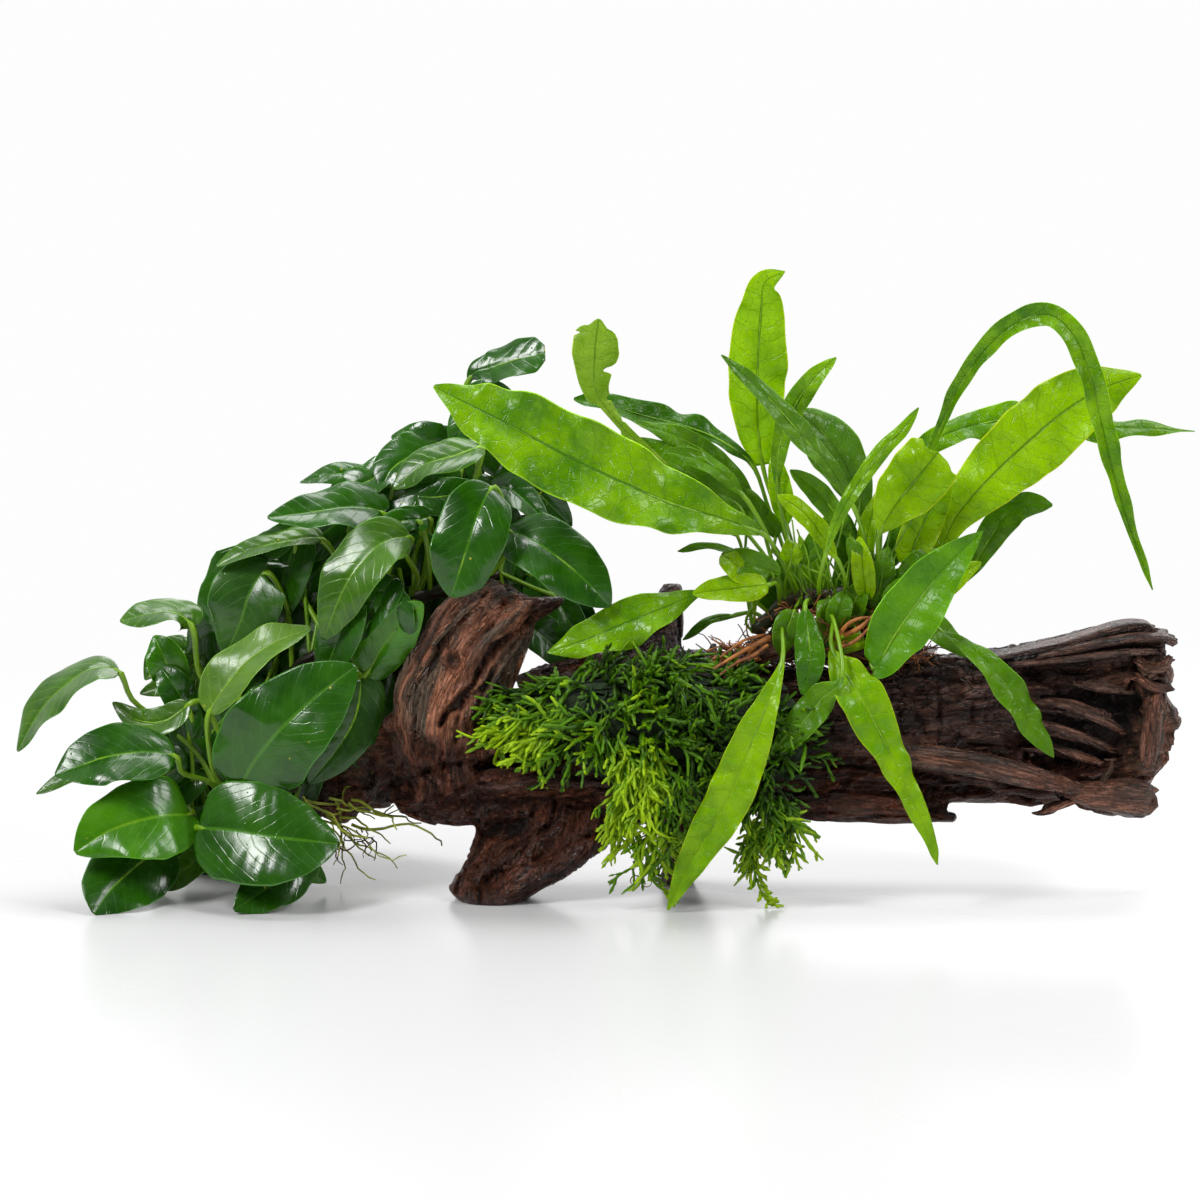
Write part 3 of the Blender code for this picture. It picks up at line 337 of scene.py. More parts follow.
BACK_FORK = (
    (0.6, 5.0, 8.0, 2.5, 1.2), (0.6, 5.4, 9.6, 2.6, 1.5), (1.1, 5.8, 10.7, 2.1, 1.4),
    (2.0, 6.1, 11.7, 1.2, 1.1), (2.4, 6.2, 12.6, 0.75, 0.7), (2.65, 6.2, 13.2, 0.4, 0.4),
)
LEFT_BOUGH = (
    (-16.0, 7.5, 1.35, 0.75, 0.8), (-15.7, 7.6, 2.5, 1.4, 1.5), (-14.7, 7.9, 4.6, 2.4, 2.6),
    (-12.9, 8.4, 6.5, 3.3, 3.6), (-10.5, 8.6, 7.8, 3.9, 4.1), (-8.0, 7.8, 7.8, 3.5, 3.5),
    (-5.4, 6.8, 7.3, 2.5, 2.4), (-3.6, 5.6, 7.0, 1.5, 1.4),
)
BACK_LEG = (
    (2.75, 5.2, 0.91, 0.7, 0.9), (3.0, 5.1, 2.0, 0.85, 0.95), (3.3, 4.9, 3.2, 1.1, 1.1),
    (3.4, 4.6, 4.8, 1.5, 1.4),
)
SPUR = (
    (6.0, 2.6, 4.95, 0.55, 1.0), (8.0, 2.4, 4.6, 0.75, 1.3), (10.5, 2.2, 4.35, 0.68, 1.2),
    (12.6, 2.1, 4.1, 0.45, 0.9), (14.1, 2.1, 3.85, 0.2, 0.45),
)
LOG_RIDGE = (
    (1.8, 6.6, 8.6, 0.9, 0.8), (3.2, 6.5, 9.6, 0.95, 0.75), (4.4, 6.2, 9.55, 0.8, 0.7),
    (5.6, 5.9, 9.3, 0.6, 0.6),
)

# Creeping stems: points, then a radius at each.
RHIZOMES = {
    "anubias_rhizome_lower": (
        ((-16.6, 4.1, 3.4), (-15.2, 4.0, 4.2), (-13.6, 4.0, 4.9), (-12.2, 3.8, 5.2)),
        (0.35, 0.5, 0.5, 0.35),
    ),
    "anubias_rhizome_upper": (
        ((-13.8, 4.5, 8.6), (-11.8, 4.1, 10.2), (-9.6, 4.4, 11.6), (-7.6, 4.8, 12.6),
         (-5.8, 5.1, 13.2), (-4.2, 5.3, 13.7)),
        (0.35, 0.5, 0.5, 0.5, 0.45, 0.3),
    ),
    "fern_rhizome": (
        ((5.9, 3.2, 11.3), (7.3, 3.1, 12.4), (9.0, 3.1, 12.7), (10.8, 3.1, 12.5), (12.2, 3.2, 11.9)),
        (0.3, 0.42, 0.42, 0.42, 0.3),
    ),
}
TOWARD = (0.0, -0.88, 0.45)

# Anubias leaves: name, stalk points, rib points, width, facing at base, facing at tip, fold.
ANUBIAS = (
    ("round_low", ((-15.3, 4.0, 4.15), (-15.9, 2.4, 3.5)),
     ((-16.3, 1.2, 3.5), (-15.0, 0.3, 3.4), (-13.5, -0.2, 3.15), (-12.0, -0.3, 3.0),
      (-10.65, 0.0, 2.85)), 4.4, TOWARD, None, 0.08),
    ("bright_low", ((-16.3, 4.1, 3.6), (-16.8, 3.2, 4.3)),
     ((-16.5, 2.2, 4.05), (-17.5, 1.2, 4.0), (-18.6, 0.7, 3.8), (-19.9, 0.3, 3.35), (-21.2, 0.0, 2.5)),
     3.6, TOWARD, None, 0.08),
    ("floor_left", ((-15.9, 4.0, 3.85), (-16.6, 3.3, 3.0)),
     ((-17.4, 2.5, 2.9), (-18.6, 1.4, 2.1), (-19.7, 0.2, 1.1), (-20.45, -0.75, 0.05)), 3.3,
     (0.1, -0.9, 0.35), None, 0.1),
    ("floor_mid", ((-14.4, 3.9, 4.5), (-13.2, 3.0, 4.6)),
     ((-12.0, 1.9, 2.9), (-12.7, 1.0, 1.75), (-13.7, 0.1, 0.95), (-14.85, -0.6, 0.2)), 2.3,
     (0.1, -0.85, 0.4), None, 0.06),
    ("big_front", ((-14.9, 4.0, 4.4), (-15.1, 2.6, 4.8)),
     ((-14.7, 1.4, 5.0), (-14.0, 0.9, 6.2), (-12.9, 0.6, 7.5), (-11.5, 0.7, 8.8), (-9.95, 1.1, 9.95)),
     4.1, (0.05, -0.93, 0.3), None, 0.1),
    ("dark_left", ((-15.0, 3.9, 4.5), (-15.8, 3.0, 5.3), (-16.9, 2.3, 5.7)),
     ((-17.2, 1.9, 6.35), (-18.5, 1.5, 6.55), (-20.0, 1.2, 6.35), (-21.0, 1.0, 6.0), (-22.0, 0.9, 5.6)),
     2.9, (0.0, -0.7, 0.7), None, 0.1),
    ("striped_far_left",
     ((-15.3, 4.0, 4.4), (-16.2, 4.4, 6.3), (-17.6, 4.2, 7.6), (-18.9, 3.7, 8.6)),
     ((-19.45, 3.3, 9.75), (-20.5, 3.0, 9.85), (-21.7, 2.5, 9.1), (-22.7, 2.3, 8.0), (-23.5, 2.2, 6.55)),
     2.7, (-0.25, -0.35, 0.9), (-0.7, -0.6, 0.3), 0.12),
    ("pale_mid", ((-14.4, 4.1, 4.6), (-15.5, 2.9, 5.4), (-15.85, 2.2, 6.8)),
     ((-15.85, 2.0, 8.05), (-15.2, 2.0, 9.2), (-14.3, 2.2, 10.2), (-13.2, 2.5, 10.9),
      (-11.75, 2.9, 11.5)), 2.4, (-0.5, -0.6, 0.6), (-0.2, -0.6, 0.75), 0.25),
    ("grey_behind", ((-12.6, 3.9, 5.1), (-11.3, 3.7, 7.4)),
     ((-9.9, 3.1, 9.5), (-9.9, 2.7, 8.2), (-10.6, 2.4, 6.8), (-11.85, 2.3, 5.25)), 2.3,
     (0.2, -0.9, 0.3), None, 0.08),
    ("bright_mid", ((-10.2, 4.3, 11.2), (-10.0, 3.3, 10.0)),
     ((-9.6, 3.0, 9.6), (-8.9, 2.5, 10.7), (-8.2, 2.2, 11.6), (-7.3, 2.0, 12.5)), 2.2,
     (0.1, -0.93, 0.3), None, 0.05),
    ("tall_mid", ((-7.9, 4.8, 12.5), (-7.5, 4.0, 13.5), (-7.95, 3.4, 14.4)),
     ((-7.75, 3.1, 15.1), (-8.9, 2.6, 14.9), (-10.0, 2.2, 13.8), (-10.7, 2.1, 12.5),
      (-11.25, 2.2, 11.0)), 2.6, (-0.1, -0.6, 0.8), (-0.1, -0.95, 0.2), 0.12),
    ("glossy_centre", ((-5.5, 5.1, 13.3), (-4.4, 4.6, 14.8), (-4.1, 3.6, 16.4)),
     ((-4.5, 2.8, 17.1), (-5.1, 1.9, 16.0), (-5.55, 1.4, 14.6), (-5.9, 1.2, 13.5), (-6.15, 1.2, 12.7)),
     3.0, (0.0, -0.85, 0.5), (0.0, -0.97, 0.2), 0.1),
    ("broad_right", ((-4.6, 5.2, 13.55), (-4.0, 5.0, 14.5), (-4.1, 4.3, 15.3)),
     ((-4.0, 3.6, 15.45), (-2.9, 2.5, 15.0), (-1.7, 1.9, 14.2), (-0.7, 1.6, 13.3), (0.2, 1.6, 12.35)),
     2.9, (0.15, -0.85, 0.5), (0.1, -0.95, 0.3), 0.1),
    ("upper_right", ((-5.1, 5.2, 13.4), (-4.9, 5.7, 15.5)),
     ((-4.5, 5.4, 16.9), (-3.9, 4.9, 17.1), (-3.1, 4.5, 16.5), (-2.3, 4.3, 15.7)), 1.7,
     (0.1, -0.7, 0.7), None, 0.1),
    ("top", ((-6.6, 5.0, 13.0), (-6.3, 6.6, 16.0), (-5.9, 6.6, 19.0)),
     ((-5.45, 6.2, 21.4), (-4.6, 5.9, 21.9), (-3.6, 5.6, 22.25), (-2.4, 5.3, 22.5)), 2.0,
     (0.0, -0.8, 0.6), None, 0.1, "blunt"),
    ("behind_fern", ((-5.85, 5.1, 13.2), (-4.9, 6.5, 16.4), (-4.1, 6.9, 18.6)),
     ((-3.9, 6.6, 19.8), (-4.4, 5.8, 20.5), (-5.1, 5.1, 20.4), (-5.7, 4.8, 19.6), (-6.1, 4.8, 18.6)),
     1.9, (-0.1, -0.9, 0.4), None, 0.08),
    ("upper_dome", ((-7.4, 4.85, 12.7), (-6.9, 6.3, 15.5), (-6.4, 6.5, 17.8)),
     ((-6.4, 6.3, 18.7), (-7.5, 5.9, 18.5), (-8.5, 5.5, 17.9), (-8.95, 5.2, 17.1)), 2.2,
     (-0.1, -0.75, 0.65), None, 0.06),
    ("striped_top", ((-6.25, 5.0, 13.1), (-5.6, 4.8, 15.4), (-5.2, 4.4, 17.4)),
     ((-4.95, 4.0, 18.7), (-6.1, 3.5, 18.4), (-7.3, 3.4, 18.0), (-8.45, 3.3, 17.05)), 2.0,
     (0.0, -0.5, 0.85), (-0.2, -0.75, 0.6), 0.15),
    ("left_shelf", ((-9.1, 4.6, 11.9), (-8.8, 4.8, 14.4)),
     ((-8.8, 4.6, 16.0), (-10.0, 4.1, 16.35), (-11.5, 3.8, 16.2), (-13.5, 3.6, 15.9)), 2.5,
     (-0.05, -0.65, 0.75), None, 0.15),
    ("left_tip", ((-9.8, 4.3, 11.5), (-10.4, 4.8, 13.5)),
     ((-11.3, 4.9, 15.0), (-12.7, 4.7, 15.0), (-14.0, 4.5, 14.7), (-15.55, 4.4, 13.95)), 1.6,
     (-0.05, -0.5, 0.85), None, 0.2),
    ("striped_left", ((-13.3, 4.5, 9.0), (-15.0, 4.3, 8.6), (-16.2, 4.0, 9.6)),
     ((-16.5, 3.6, 11.5), (-17.2, 3.4, 12.15), (-18.3, 3.2, 12.05), (-19.4, 3.1, 11.75)), 2.3,
     (-0.3, -0.4, 0.9), (-0.1, -0.5, 0.85), 0.12),
    ("dark_folded", ((-12.5, 4.4, 9.6), (-12.7, 5.0, 12.2)),
     ((-13.5, 4.6, 13.7), (-14.2, 4.2, 12.9), (-14.6, 4.0, 11.7), (-15.2, 3.9, 10.4)), 3.2,
     (-0.1, -0.93, 0.35), None, 0.12),
    ("twisted_left", ((-14.1, 4.1, 4.8), (-15.2, 4.0, 6.8), (-16.0, 3.5, 8.4)),
     ((-16.6, 3.2, 8.45), (-17.6, 3.1, 7.8), (-18.7, 3.1, 7.8), (-19.7, 3.1, 8.5)), 1.3,
     (0.0, -0.8, 0.6), None, 0.15),
)

# Small anubias leaves that grow close together on each creeping stem.
ANUBIAS_INNER_LEFT = (
    (((-14.9, 4.0, 4.5), (-16.4, 5.8, 6.5)),
     ((-16.2, 6.1, 10.0), (-16.9, 5.9, 10.6), (-17.8, 5.7, 10.3), (-18.4, 5.5, 9.4)), 1.5,
     (-0.1, -0.8, 0.6), None, 0.05),
    (((-15.6, 4.1, 4.1), (-16.6, 5.2, 7.0)),
     ((-16.2, 5.1, 9.9), (-16.8, 4.9, 9.8), (-17.4, 4.8, 9.3), (-18.6, 4.7, 8.85)), 1.3,
     (-0.1, -0.9, 0.3), None, 0.1),
    (((-15.5, 4.0, 4.0), (-15.5, 3.2, 3.0)),
     ((-15.9, 2.8, 2.6), (-16.6, 2.4, 2.0), (-17.3, 2.0, 1.45), (-18.0, 1.7, 1.15)), 1.2,
     (0.0, -0.85, 0.5), None, 0.05),
    (((-16.4, 4.1, 3.5), (-17.2, 4.0, 5.0)),
     ((-18.3, 3.4, 6.0), (-19.8, 2.9, 6.2), (-21.3, 2.6, 5.6), (-22.75, 2.5, 4.85)), 1.1,
     (-0.1, -0.6, 0.8), None, 0.05),
)
ANUBIAS_INNER_UPPER = (
    (((-11.6, 4.2, 10.4), (-11.1, 4.4, 12.0)),
     ((-10.4, 4.3, 11.9), (-9.9, 4.2, 10.8), (-9.75, 4.1, 9.4), (-9.8, 4.0, 8.1)), 1.5,
     (0.0, -0.93, 0.3), None, 0.05),
    (((-13.5, 4.5, 8.8), (-13.0, 5.4, 10.6)),
     ((-13.2, 5.5, 11.4), (-13.9, 5.5, 11.0), (-14.6, 5.5, 10.3), (-15.3, 5.6, 9.7)), 1.7,
     (-0.1, -0.93, 0.2), None, 0.05),
    (((-7.0, 4.9, 12.85), (-7.1, 4.5, 14.6)),
     ((-7.4, 4.3, 15.7), (-8.0, 3.9, 15.8), (-8.7, 3.7, 15.6), (-9.3, 3.6, 15.2)), 1.1,
     (0.0, -0.8, 0.6), None, 0.1),
    (((-4.9, 5.2, 13.45), (-4.3, 6.2, 14.5)),
     ((-3.6, 6.1, 14.9), (-3.6, 5.9, 14.4), (-3.65, 5.8, 13.8), (-3.6, 5.8, 13.2)), 1.4,
     (0.0, -0.93, 0.3), None, 0.08),
    (((-4.3, 5.3, 13.65), (-3.7, 6.3, 13.6)),
     ((-3.2, 6.5, 13.6), (-2.5, 6.3, 13.3), (-1.7, 5.9, 12.8), (-0.9, 5.8, 12.2)), 1.2,
     (0.0, -0.9, 0.4), None, 0.08),
    (((-5.4, 5.15, 13.3), (-5.0, 6.9, 15.5)),
     ((-4.4, 7.0, 17.6), (-3.4, 6.8, 17.9), (-2.5, 6.6, 17.3), (-2.05, 6.5, 16.3)), 0.9,
     (0.3, -0.3, 0.9), None, 0.1),
    (((-8.0, 4.75, 12.5), (-8.4, 6.3, 14.5)),
     ((-9.2, 6.3, 16.9), (-9.8, 6.1, 17.5), (-10.8, 6.0, 17.65), (-12.2, 5.9, 17.3)), 1.4,
     (0.0, -0.6, 0.8), None, 0.1),
    (((-11.0, 4.2, 10.8), (-12.2, 5.4, 13.0)),
     ((-12.35, 5.5, 14.0), (-13.1, 5.4, 14.15), (-13.9, 5.4, 14.1), (-14.6, 5.4, 14.05)), 0.7,
     (0.0, -0.5, 0.85), None, 0.1),
)

# Fern leaves: name, stalk points, rib points, width, facing at base, facing at tip, fold, outline.
FERN = (
    ("long_left", ((7.9, 3.1, 12.5), (7.4, 2.3, 13.7), (6.8, 1.7, 14.7)),
     ((6.2, 1.3, 15.3), (4.6, 0.7, 15.9), (2.6, 0.3, 16.5), (0.6, 0.1, 17.35), (-1.6, 0.1, 18.4),
      (-3.8, 0.3, 19.6), (-5.4, 0.6, 20.4), (-6.85, 0.9, 21.15)), 3.9, (0.1, -0.92, 0.35),
     (0.0, -0.85, 0.5), 0.08, "strap"),
    ("torn_tip", ((7.5, 3.1, 12.5), (6.3, 3.3, 14.5), (4.6, 3.4, 16.4)),
     ((3.2, 3.2, 17.4), (1.9, 2.9, 18.4), (0.5, 2.7, 19.7), (-0.35, 2.6, 21.0), (-0.4, 2.5, 22.5),
      (-0.25, 2.4, 23.85)),
     1.9, (0.1, -0.93, 0.3), (0.0, -0.97, 0.1), 0.05, "flag"),
    ("wavy_left", ((7.8, 3.25, 12.55), (7.2, 4.8, 14.5), (6.5, 5.0, 16.4)),
     ((5.9, 4.7, 18.0), (4.7, 4.5, 19.0), (3.2, 4.3, 19.6), (1.6, 4.2, 20.0), (0.2, 4.1, 20.4),
      (-1.25, 4.1, 20.65)), 1.4, (0.1, -0.55, 0.8), (0.0, -0.7, 0.7), 0.15, "ribbon"),
    ("tall_centre", ((8.3, 3.2, 12.6), (7.4, 4.1, 14.6), (6.7, 4.7, 16.6)),
     ((6.3, 4.9, 18.0), (6.1, 4.9, 19.8), (6.1, 4.8, 21.4), (6.15, 4.7, 22.9), (6.25, 4.6, 24.3),
      (6.4, 4.5, 25.3), (7.2, 4.4, 25.75)), 2.4, (0.0, -0.97, 0.1), None, 0.05, "spear"),
    ("narrow_left", ((10.6, 3.1, 12.5), (10.5, 2.6, 14.5)),
     ((10.0, 2.3, 16.2), (9.15, 2.1, 17.7), (8.1, 2.0, 18.95), (7.15, 1.9, 20.05), (6.1, 2.0, 21.15),
      (4.65, 2.1, 22.4)), 1.0, (0.3, -0.9, 0.3), None, 0.12, "ribbon"),
    ("wide_back", ((10.3, 3.2, 12.6), (10.7, 3.5, 14.2)),
     ((10.5, 3.8, 15.6), (10.0, 3.8, 17.1), (9.3, 3.7, 18.5), (8.5, 3.6, 19.5), (7.4, 3.6, 20.2)),
     2.2, (0.1, -0.94, 0.3), None, 0.06, "strap"),
    ("narrow_right_up", ((8.1, 3.2, 12.6), (7.3, 3.6, 15.0)),
     ((6.9, 3.5, 17.0), (7.0, 3.3, 18.8), (7.5, 3.1, 20.2), (8.3, 2.9, 21.4), (9.25, 2.9, 22.3)),
     0.95, (0.1, -0.95, 0.3), None, 0.05, "ribbon"),
    ("arching_gold", ((9.6, 3.0, 12.6), (9.6, 1.8, 13.4)),
     ((9.3, 1.5, 14.2), (8.6, 1.3, 15.3), (7.8, 1.2, 16.2), (6.9, 1.2, 16.8)), 0.9,
     (0.1, -0.8, 0.6), None, 0.05, "ribbon"),
    ("needle", ((8.6, 3.0, 12.6), (8.55, 1.6, 13.2)),
     ((8.8, 0.9, 14.3), (9.3, 0.7, 15.8), (10.1, 0.7, 17.2), (11.1, 0.8, 18.6), (11.9, 0.9, 19.4),
      (12.55, 1.0, 20.3)), 0.65, (0.0, -0.97, 0.2), None, 0.05, "ribbon"),
    ("high_arch", ((11.3, 3.1, 12.4), (11.4, 3.4, 14.2), (12.0, 3.5, 16.0)),
     ((12.6, 3.5, 17.6), (13.3, 3.3, 19.2), (14.1, 2.9, 21.0), (15.2, 2.4, 22.6), (16.5, 2.0, 23.7),
      (17.8, 1.7, 24.0), (18.8, 1.5, 23.1), (19.4, 1.4, 21.6), (19.8, 1.4, 20.0), (20.2, 1.4, 18.2),
      (20.7, 1.4, 16.4), (21.3, 1.4, 14.6), (21.9, 1.4, 13.0)), 1.15, (-0.5, -0.8, 0.4),
     (0.5, -0.85, 0.2), 0.15, "ribbon"),
    ("long_back", ((11.1, 3.2, 12.5), (11.0, 4.4, 14.5)),
     ((11.2, 4.8, 16.4), (12.1, 4.8, 18.1), (13.6, 4.8, 19.2), (15.4, 4.8, 19.75), (17.4, 4.8, 19.95),
      (19.4, 4.6, 19.55), (21.5, 4.4, 19.5), (23.6, 4.2, 19.35)), 1.55, (-0.1, -0.9, 0.4),
     (0.0, -0.6, 0.8), 0.05, "strap"),
    ("bright_right", ((11.9, 3.2, 12.1), (12.5, 2.9, 13.3)),
     ((13.2, 2.8, 14.2), (14.1, 2.9, 16.0), (15.5, 3.0, 17.6), (17.0, 3.0, 19.0), (18.6, 3.0, 20.3),
      (20.0, 2.9, 21.1), (21.45, 2.8, 21.6)), 3.1, (-0.1, -0.93, 0.3), None, 0.04, "strap"),
    ("cut_tip", ((10.9, 3.0, 12.5), (10.9, 2.3, 14.4)),
     ((11.0, 2.0, 15.3), (11.7, 1.9, 16.5), (12.5, 1.9, 17.5), (13.4, 1.9, 18.6)), 2.6,
     (-0.05, -0.95, 0.25), None, 0.04, "cut"),
    ("pale_back", ((11.6, 3.1, 12.2), (11.8, 2.8, 13.2)),
     ((12.1, 2.7, 13.9), (12.5, 2.6, 15.1), (13.1, 2.6, 16.3), (13.85, 2.6, 17.4)), 1.6,
     (0.0, -0.95, 0.25), None, 0.04, "oval"),
    ("hooked_right", ((12.1, 3.2, 11.95), (13.2, 3.8, 12.3)),
     ((14.2, 4.0, 13.2), (15.1, 4.0, 14.6), (15.8, 4.0, 15.7), (16.7, 4.0, 16.4), (17.9, 4.0, 16.4)),
     1.3, (0.2, -0.9, 0.4), None, 0.06, "ribbon"),
    ("broad_front", ((10.6, 3.0, 12.3), (10.6, 1.6, 11.2)),
     ((10.75, 0.6, 9.85), (11.6, 0.5, 11.2), (12.6, 0.6, 12.65), (13.75, 0.9, 14.05),
      (15.1, 1.2, 15.35)), 2.5, (0.0, -0.95, 0.3), None, 0.14, "ribbon"),
    ("right_droop", ((12.0, 3.1, 11.95), (12.6, 2.1, 12.1)),
     ((13.1, 1.2, 11.6), (14.5, 0.3, 10.75), (15.65, -0.1, 9.7), (16.6, -0.2, 8.4), (17.35, -0.2, 7.2),
      (17.95, -0.1, 6.3)), 1.25, (0.3, -0.85, 0.5), (0.3, -0.95, 0.2), 0.06, "strap"),
    ("front_droop", ((9.3, 3.0, 12.4), (9.1, 1.6, 11.6)),
     ((9.1, 0.5, 10.6), (9.95, -0.2, 9.2), (10.75, -0.5, 7.8), (11.55, -0.6, 6.2), (12.3, -0.6, 4.6),
      (12.95, -0.6, 3.2), (13.3, -0.5, 2.0)), 2.1, (0.2, -0.9, 0.4), (0.2, -0.97, 0.1), 0.06,
     "tail"),
    ("floor_droop", ((7.2, 3.1, 12.2), (7.1, 1.2, 11.4)),
     ((7.1, 0.0, 10.2), (6.6, -0.7, 8.7), (5.9, -0.95, 7.0), (5.2, -1.0, 5.2), (4.4, -0.9, 3.7),
      (3.4, -0.6, 2.0), (2.5, -0.2, 0.2)), 1.85, (-0.1, -0.93, 0.35), (-0.1, -0.97, 0.1), 0.05,
     "strap"),
    ("low_left", ((8.8, 3.0, 12.4), (9.2, 0.9, 11.6)),
     ((9.5, -0.4, 9.6), (8.7, -0.5, 8.7), (7.8, -0.45, 7.6), (6.6, -0.3, 6.4)), 1.4,
     (-0.1, -0.93, 0.3), None, 0.05, "strap"),
    ("dark_front", ((8.1, 3.0, 12.4), (8.1, 1.6, 12.6)),
     ((8.0, 0.9, 12.3), (8.15, 0.3, 11.1), (8.2, 0.0, 10.0), (7.9, -0.1, 8.8)), 1.2,
     (0.0, -0.93, 0.3), None, 0.1, "ribbon"),
    ("low_spear", ((6.7, 3.2, 12.0), (5.4, 2.4, 12.9)),
     ((3.9, 2.1, 12.9), (2.6, 1.9, 12.4), (1.1, 1.8, 11.8), (-0.6, 1.8, 11.1), (-2.3, 1.9, 10.5)),
     2.0, (0.0, -0.9, 0.45), None, 0.06, "strap"),
    ("round_left", ((7.0, 3.1, 12.2), (6.9, 2.0, 13.2)),
     ((6.5, 1.4, 13.2), (5.6, 1.1, 13.1), (4.6, 1.0, 13.0), (3.5, 1.0, 12.85)), 1.3,
     (0.0, -0.9, 0.45), None, 0.05, "oval"),
)

# Young fern leaves that stand close together on the creeping stem.
FERN_INNER = (
    (((7.2, 3.15, 12.35), (6.5, 4.1, 14.8)),
     ((6.0, 3.9, 16.6), (4.7, 3.6, 18.1), (3.0, 3.4, 19.1), (1.2, 3.3, 19.7)), 0.9,
     (0.1, -0.8, 0.6), None, 0.05, "ribbon"),
    (((7.8, 3.1, 12.5), (6.8, 2.8, 14.6)),
     ((5.6, 2.6, 16.7), (4.2, 2.4, 18.0), (2.4, 2.2, 18.6)), 0.8, (0.1, -0.8, 0.6), None, 0.05,
     "ribbon"),
    (((10.1, 3.1, 12.6), (10.2, 2.7, 14.0)),
     ((9.9, 2.7, 15.0), (9.2, 2.7, 16.1), (8.4, 2.7, 17.0), (7.4, 2.7, 17.8)), 0.95,
     (0.1, -0.93, 0.3), None, 0.05, "ribbon"),
    (((7.5, 3.2, 12.4), (6.4, 3.6, 13.8)),
     ((5.9, 3.6, 13.6), (5.3, 3.5, 14.0), (4.7, 3.4, 13.9)), 0.9, (0.0, -0.85, 0.5), None, 0.05,
     "oval"),
    (((7.3, 3.0, 12.4), (6.6, 2.6, 14.2)),
     ((5.5, 2.4, 14.5), (4.2, 2.3, 14.8), (2.9, 2.3, 14.55)), 0.45, (0.0, -0.7, 0.7), None, 0.05,
     "ribbon"),
    (((6.5, 3.15, 11.8), (5.9, 3.4, 12.1)),
     ((5.2, 3.3, 12.0), (4.2, 3.2, 11.8), (3.1, 3.2, 11.0)), 0.45, (0.0, -0.8, 0.6), None, 0.05,
     "ribbon"),
    (((9.9, 3.0, 12.6), (10.3, 2.2, 13.2)),
     ((10.4, 2.0, 13.6), (10.1, 1.9, 14.4), (9.7, 1.8, 15.1)), 0.8, (0.0, -0.93, 0.3), None, 0.05,
     "oval"),
    (((11.2, 3.0, 12.4), (11.0, 2.3, 12.4)),
     ((11.3, 1.9, 12.3), (11.7, 1.7, 12.9), (12.1, 1.6, 13.5)), 1.0, (0.0, -0.93, 0.3), None, 0.05,
     "oval"),
)


# Driftwood

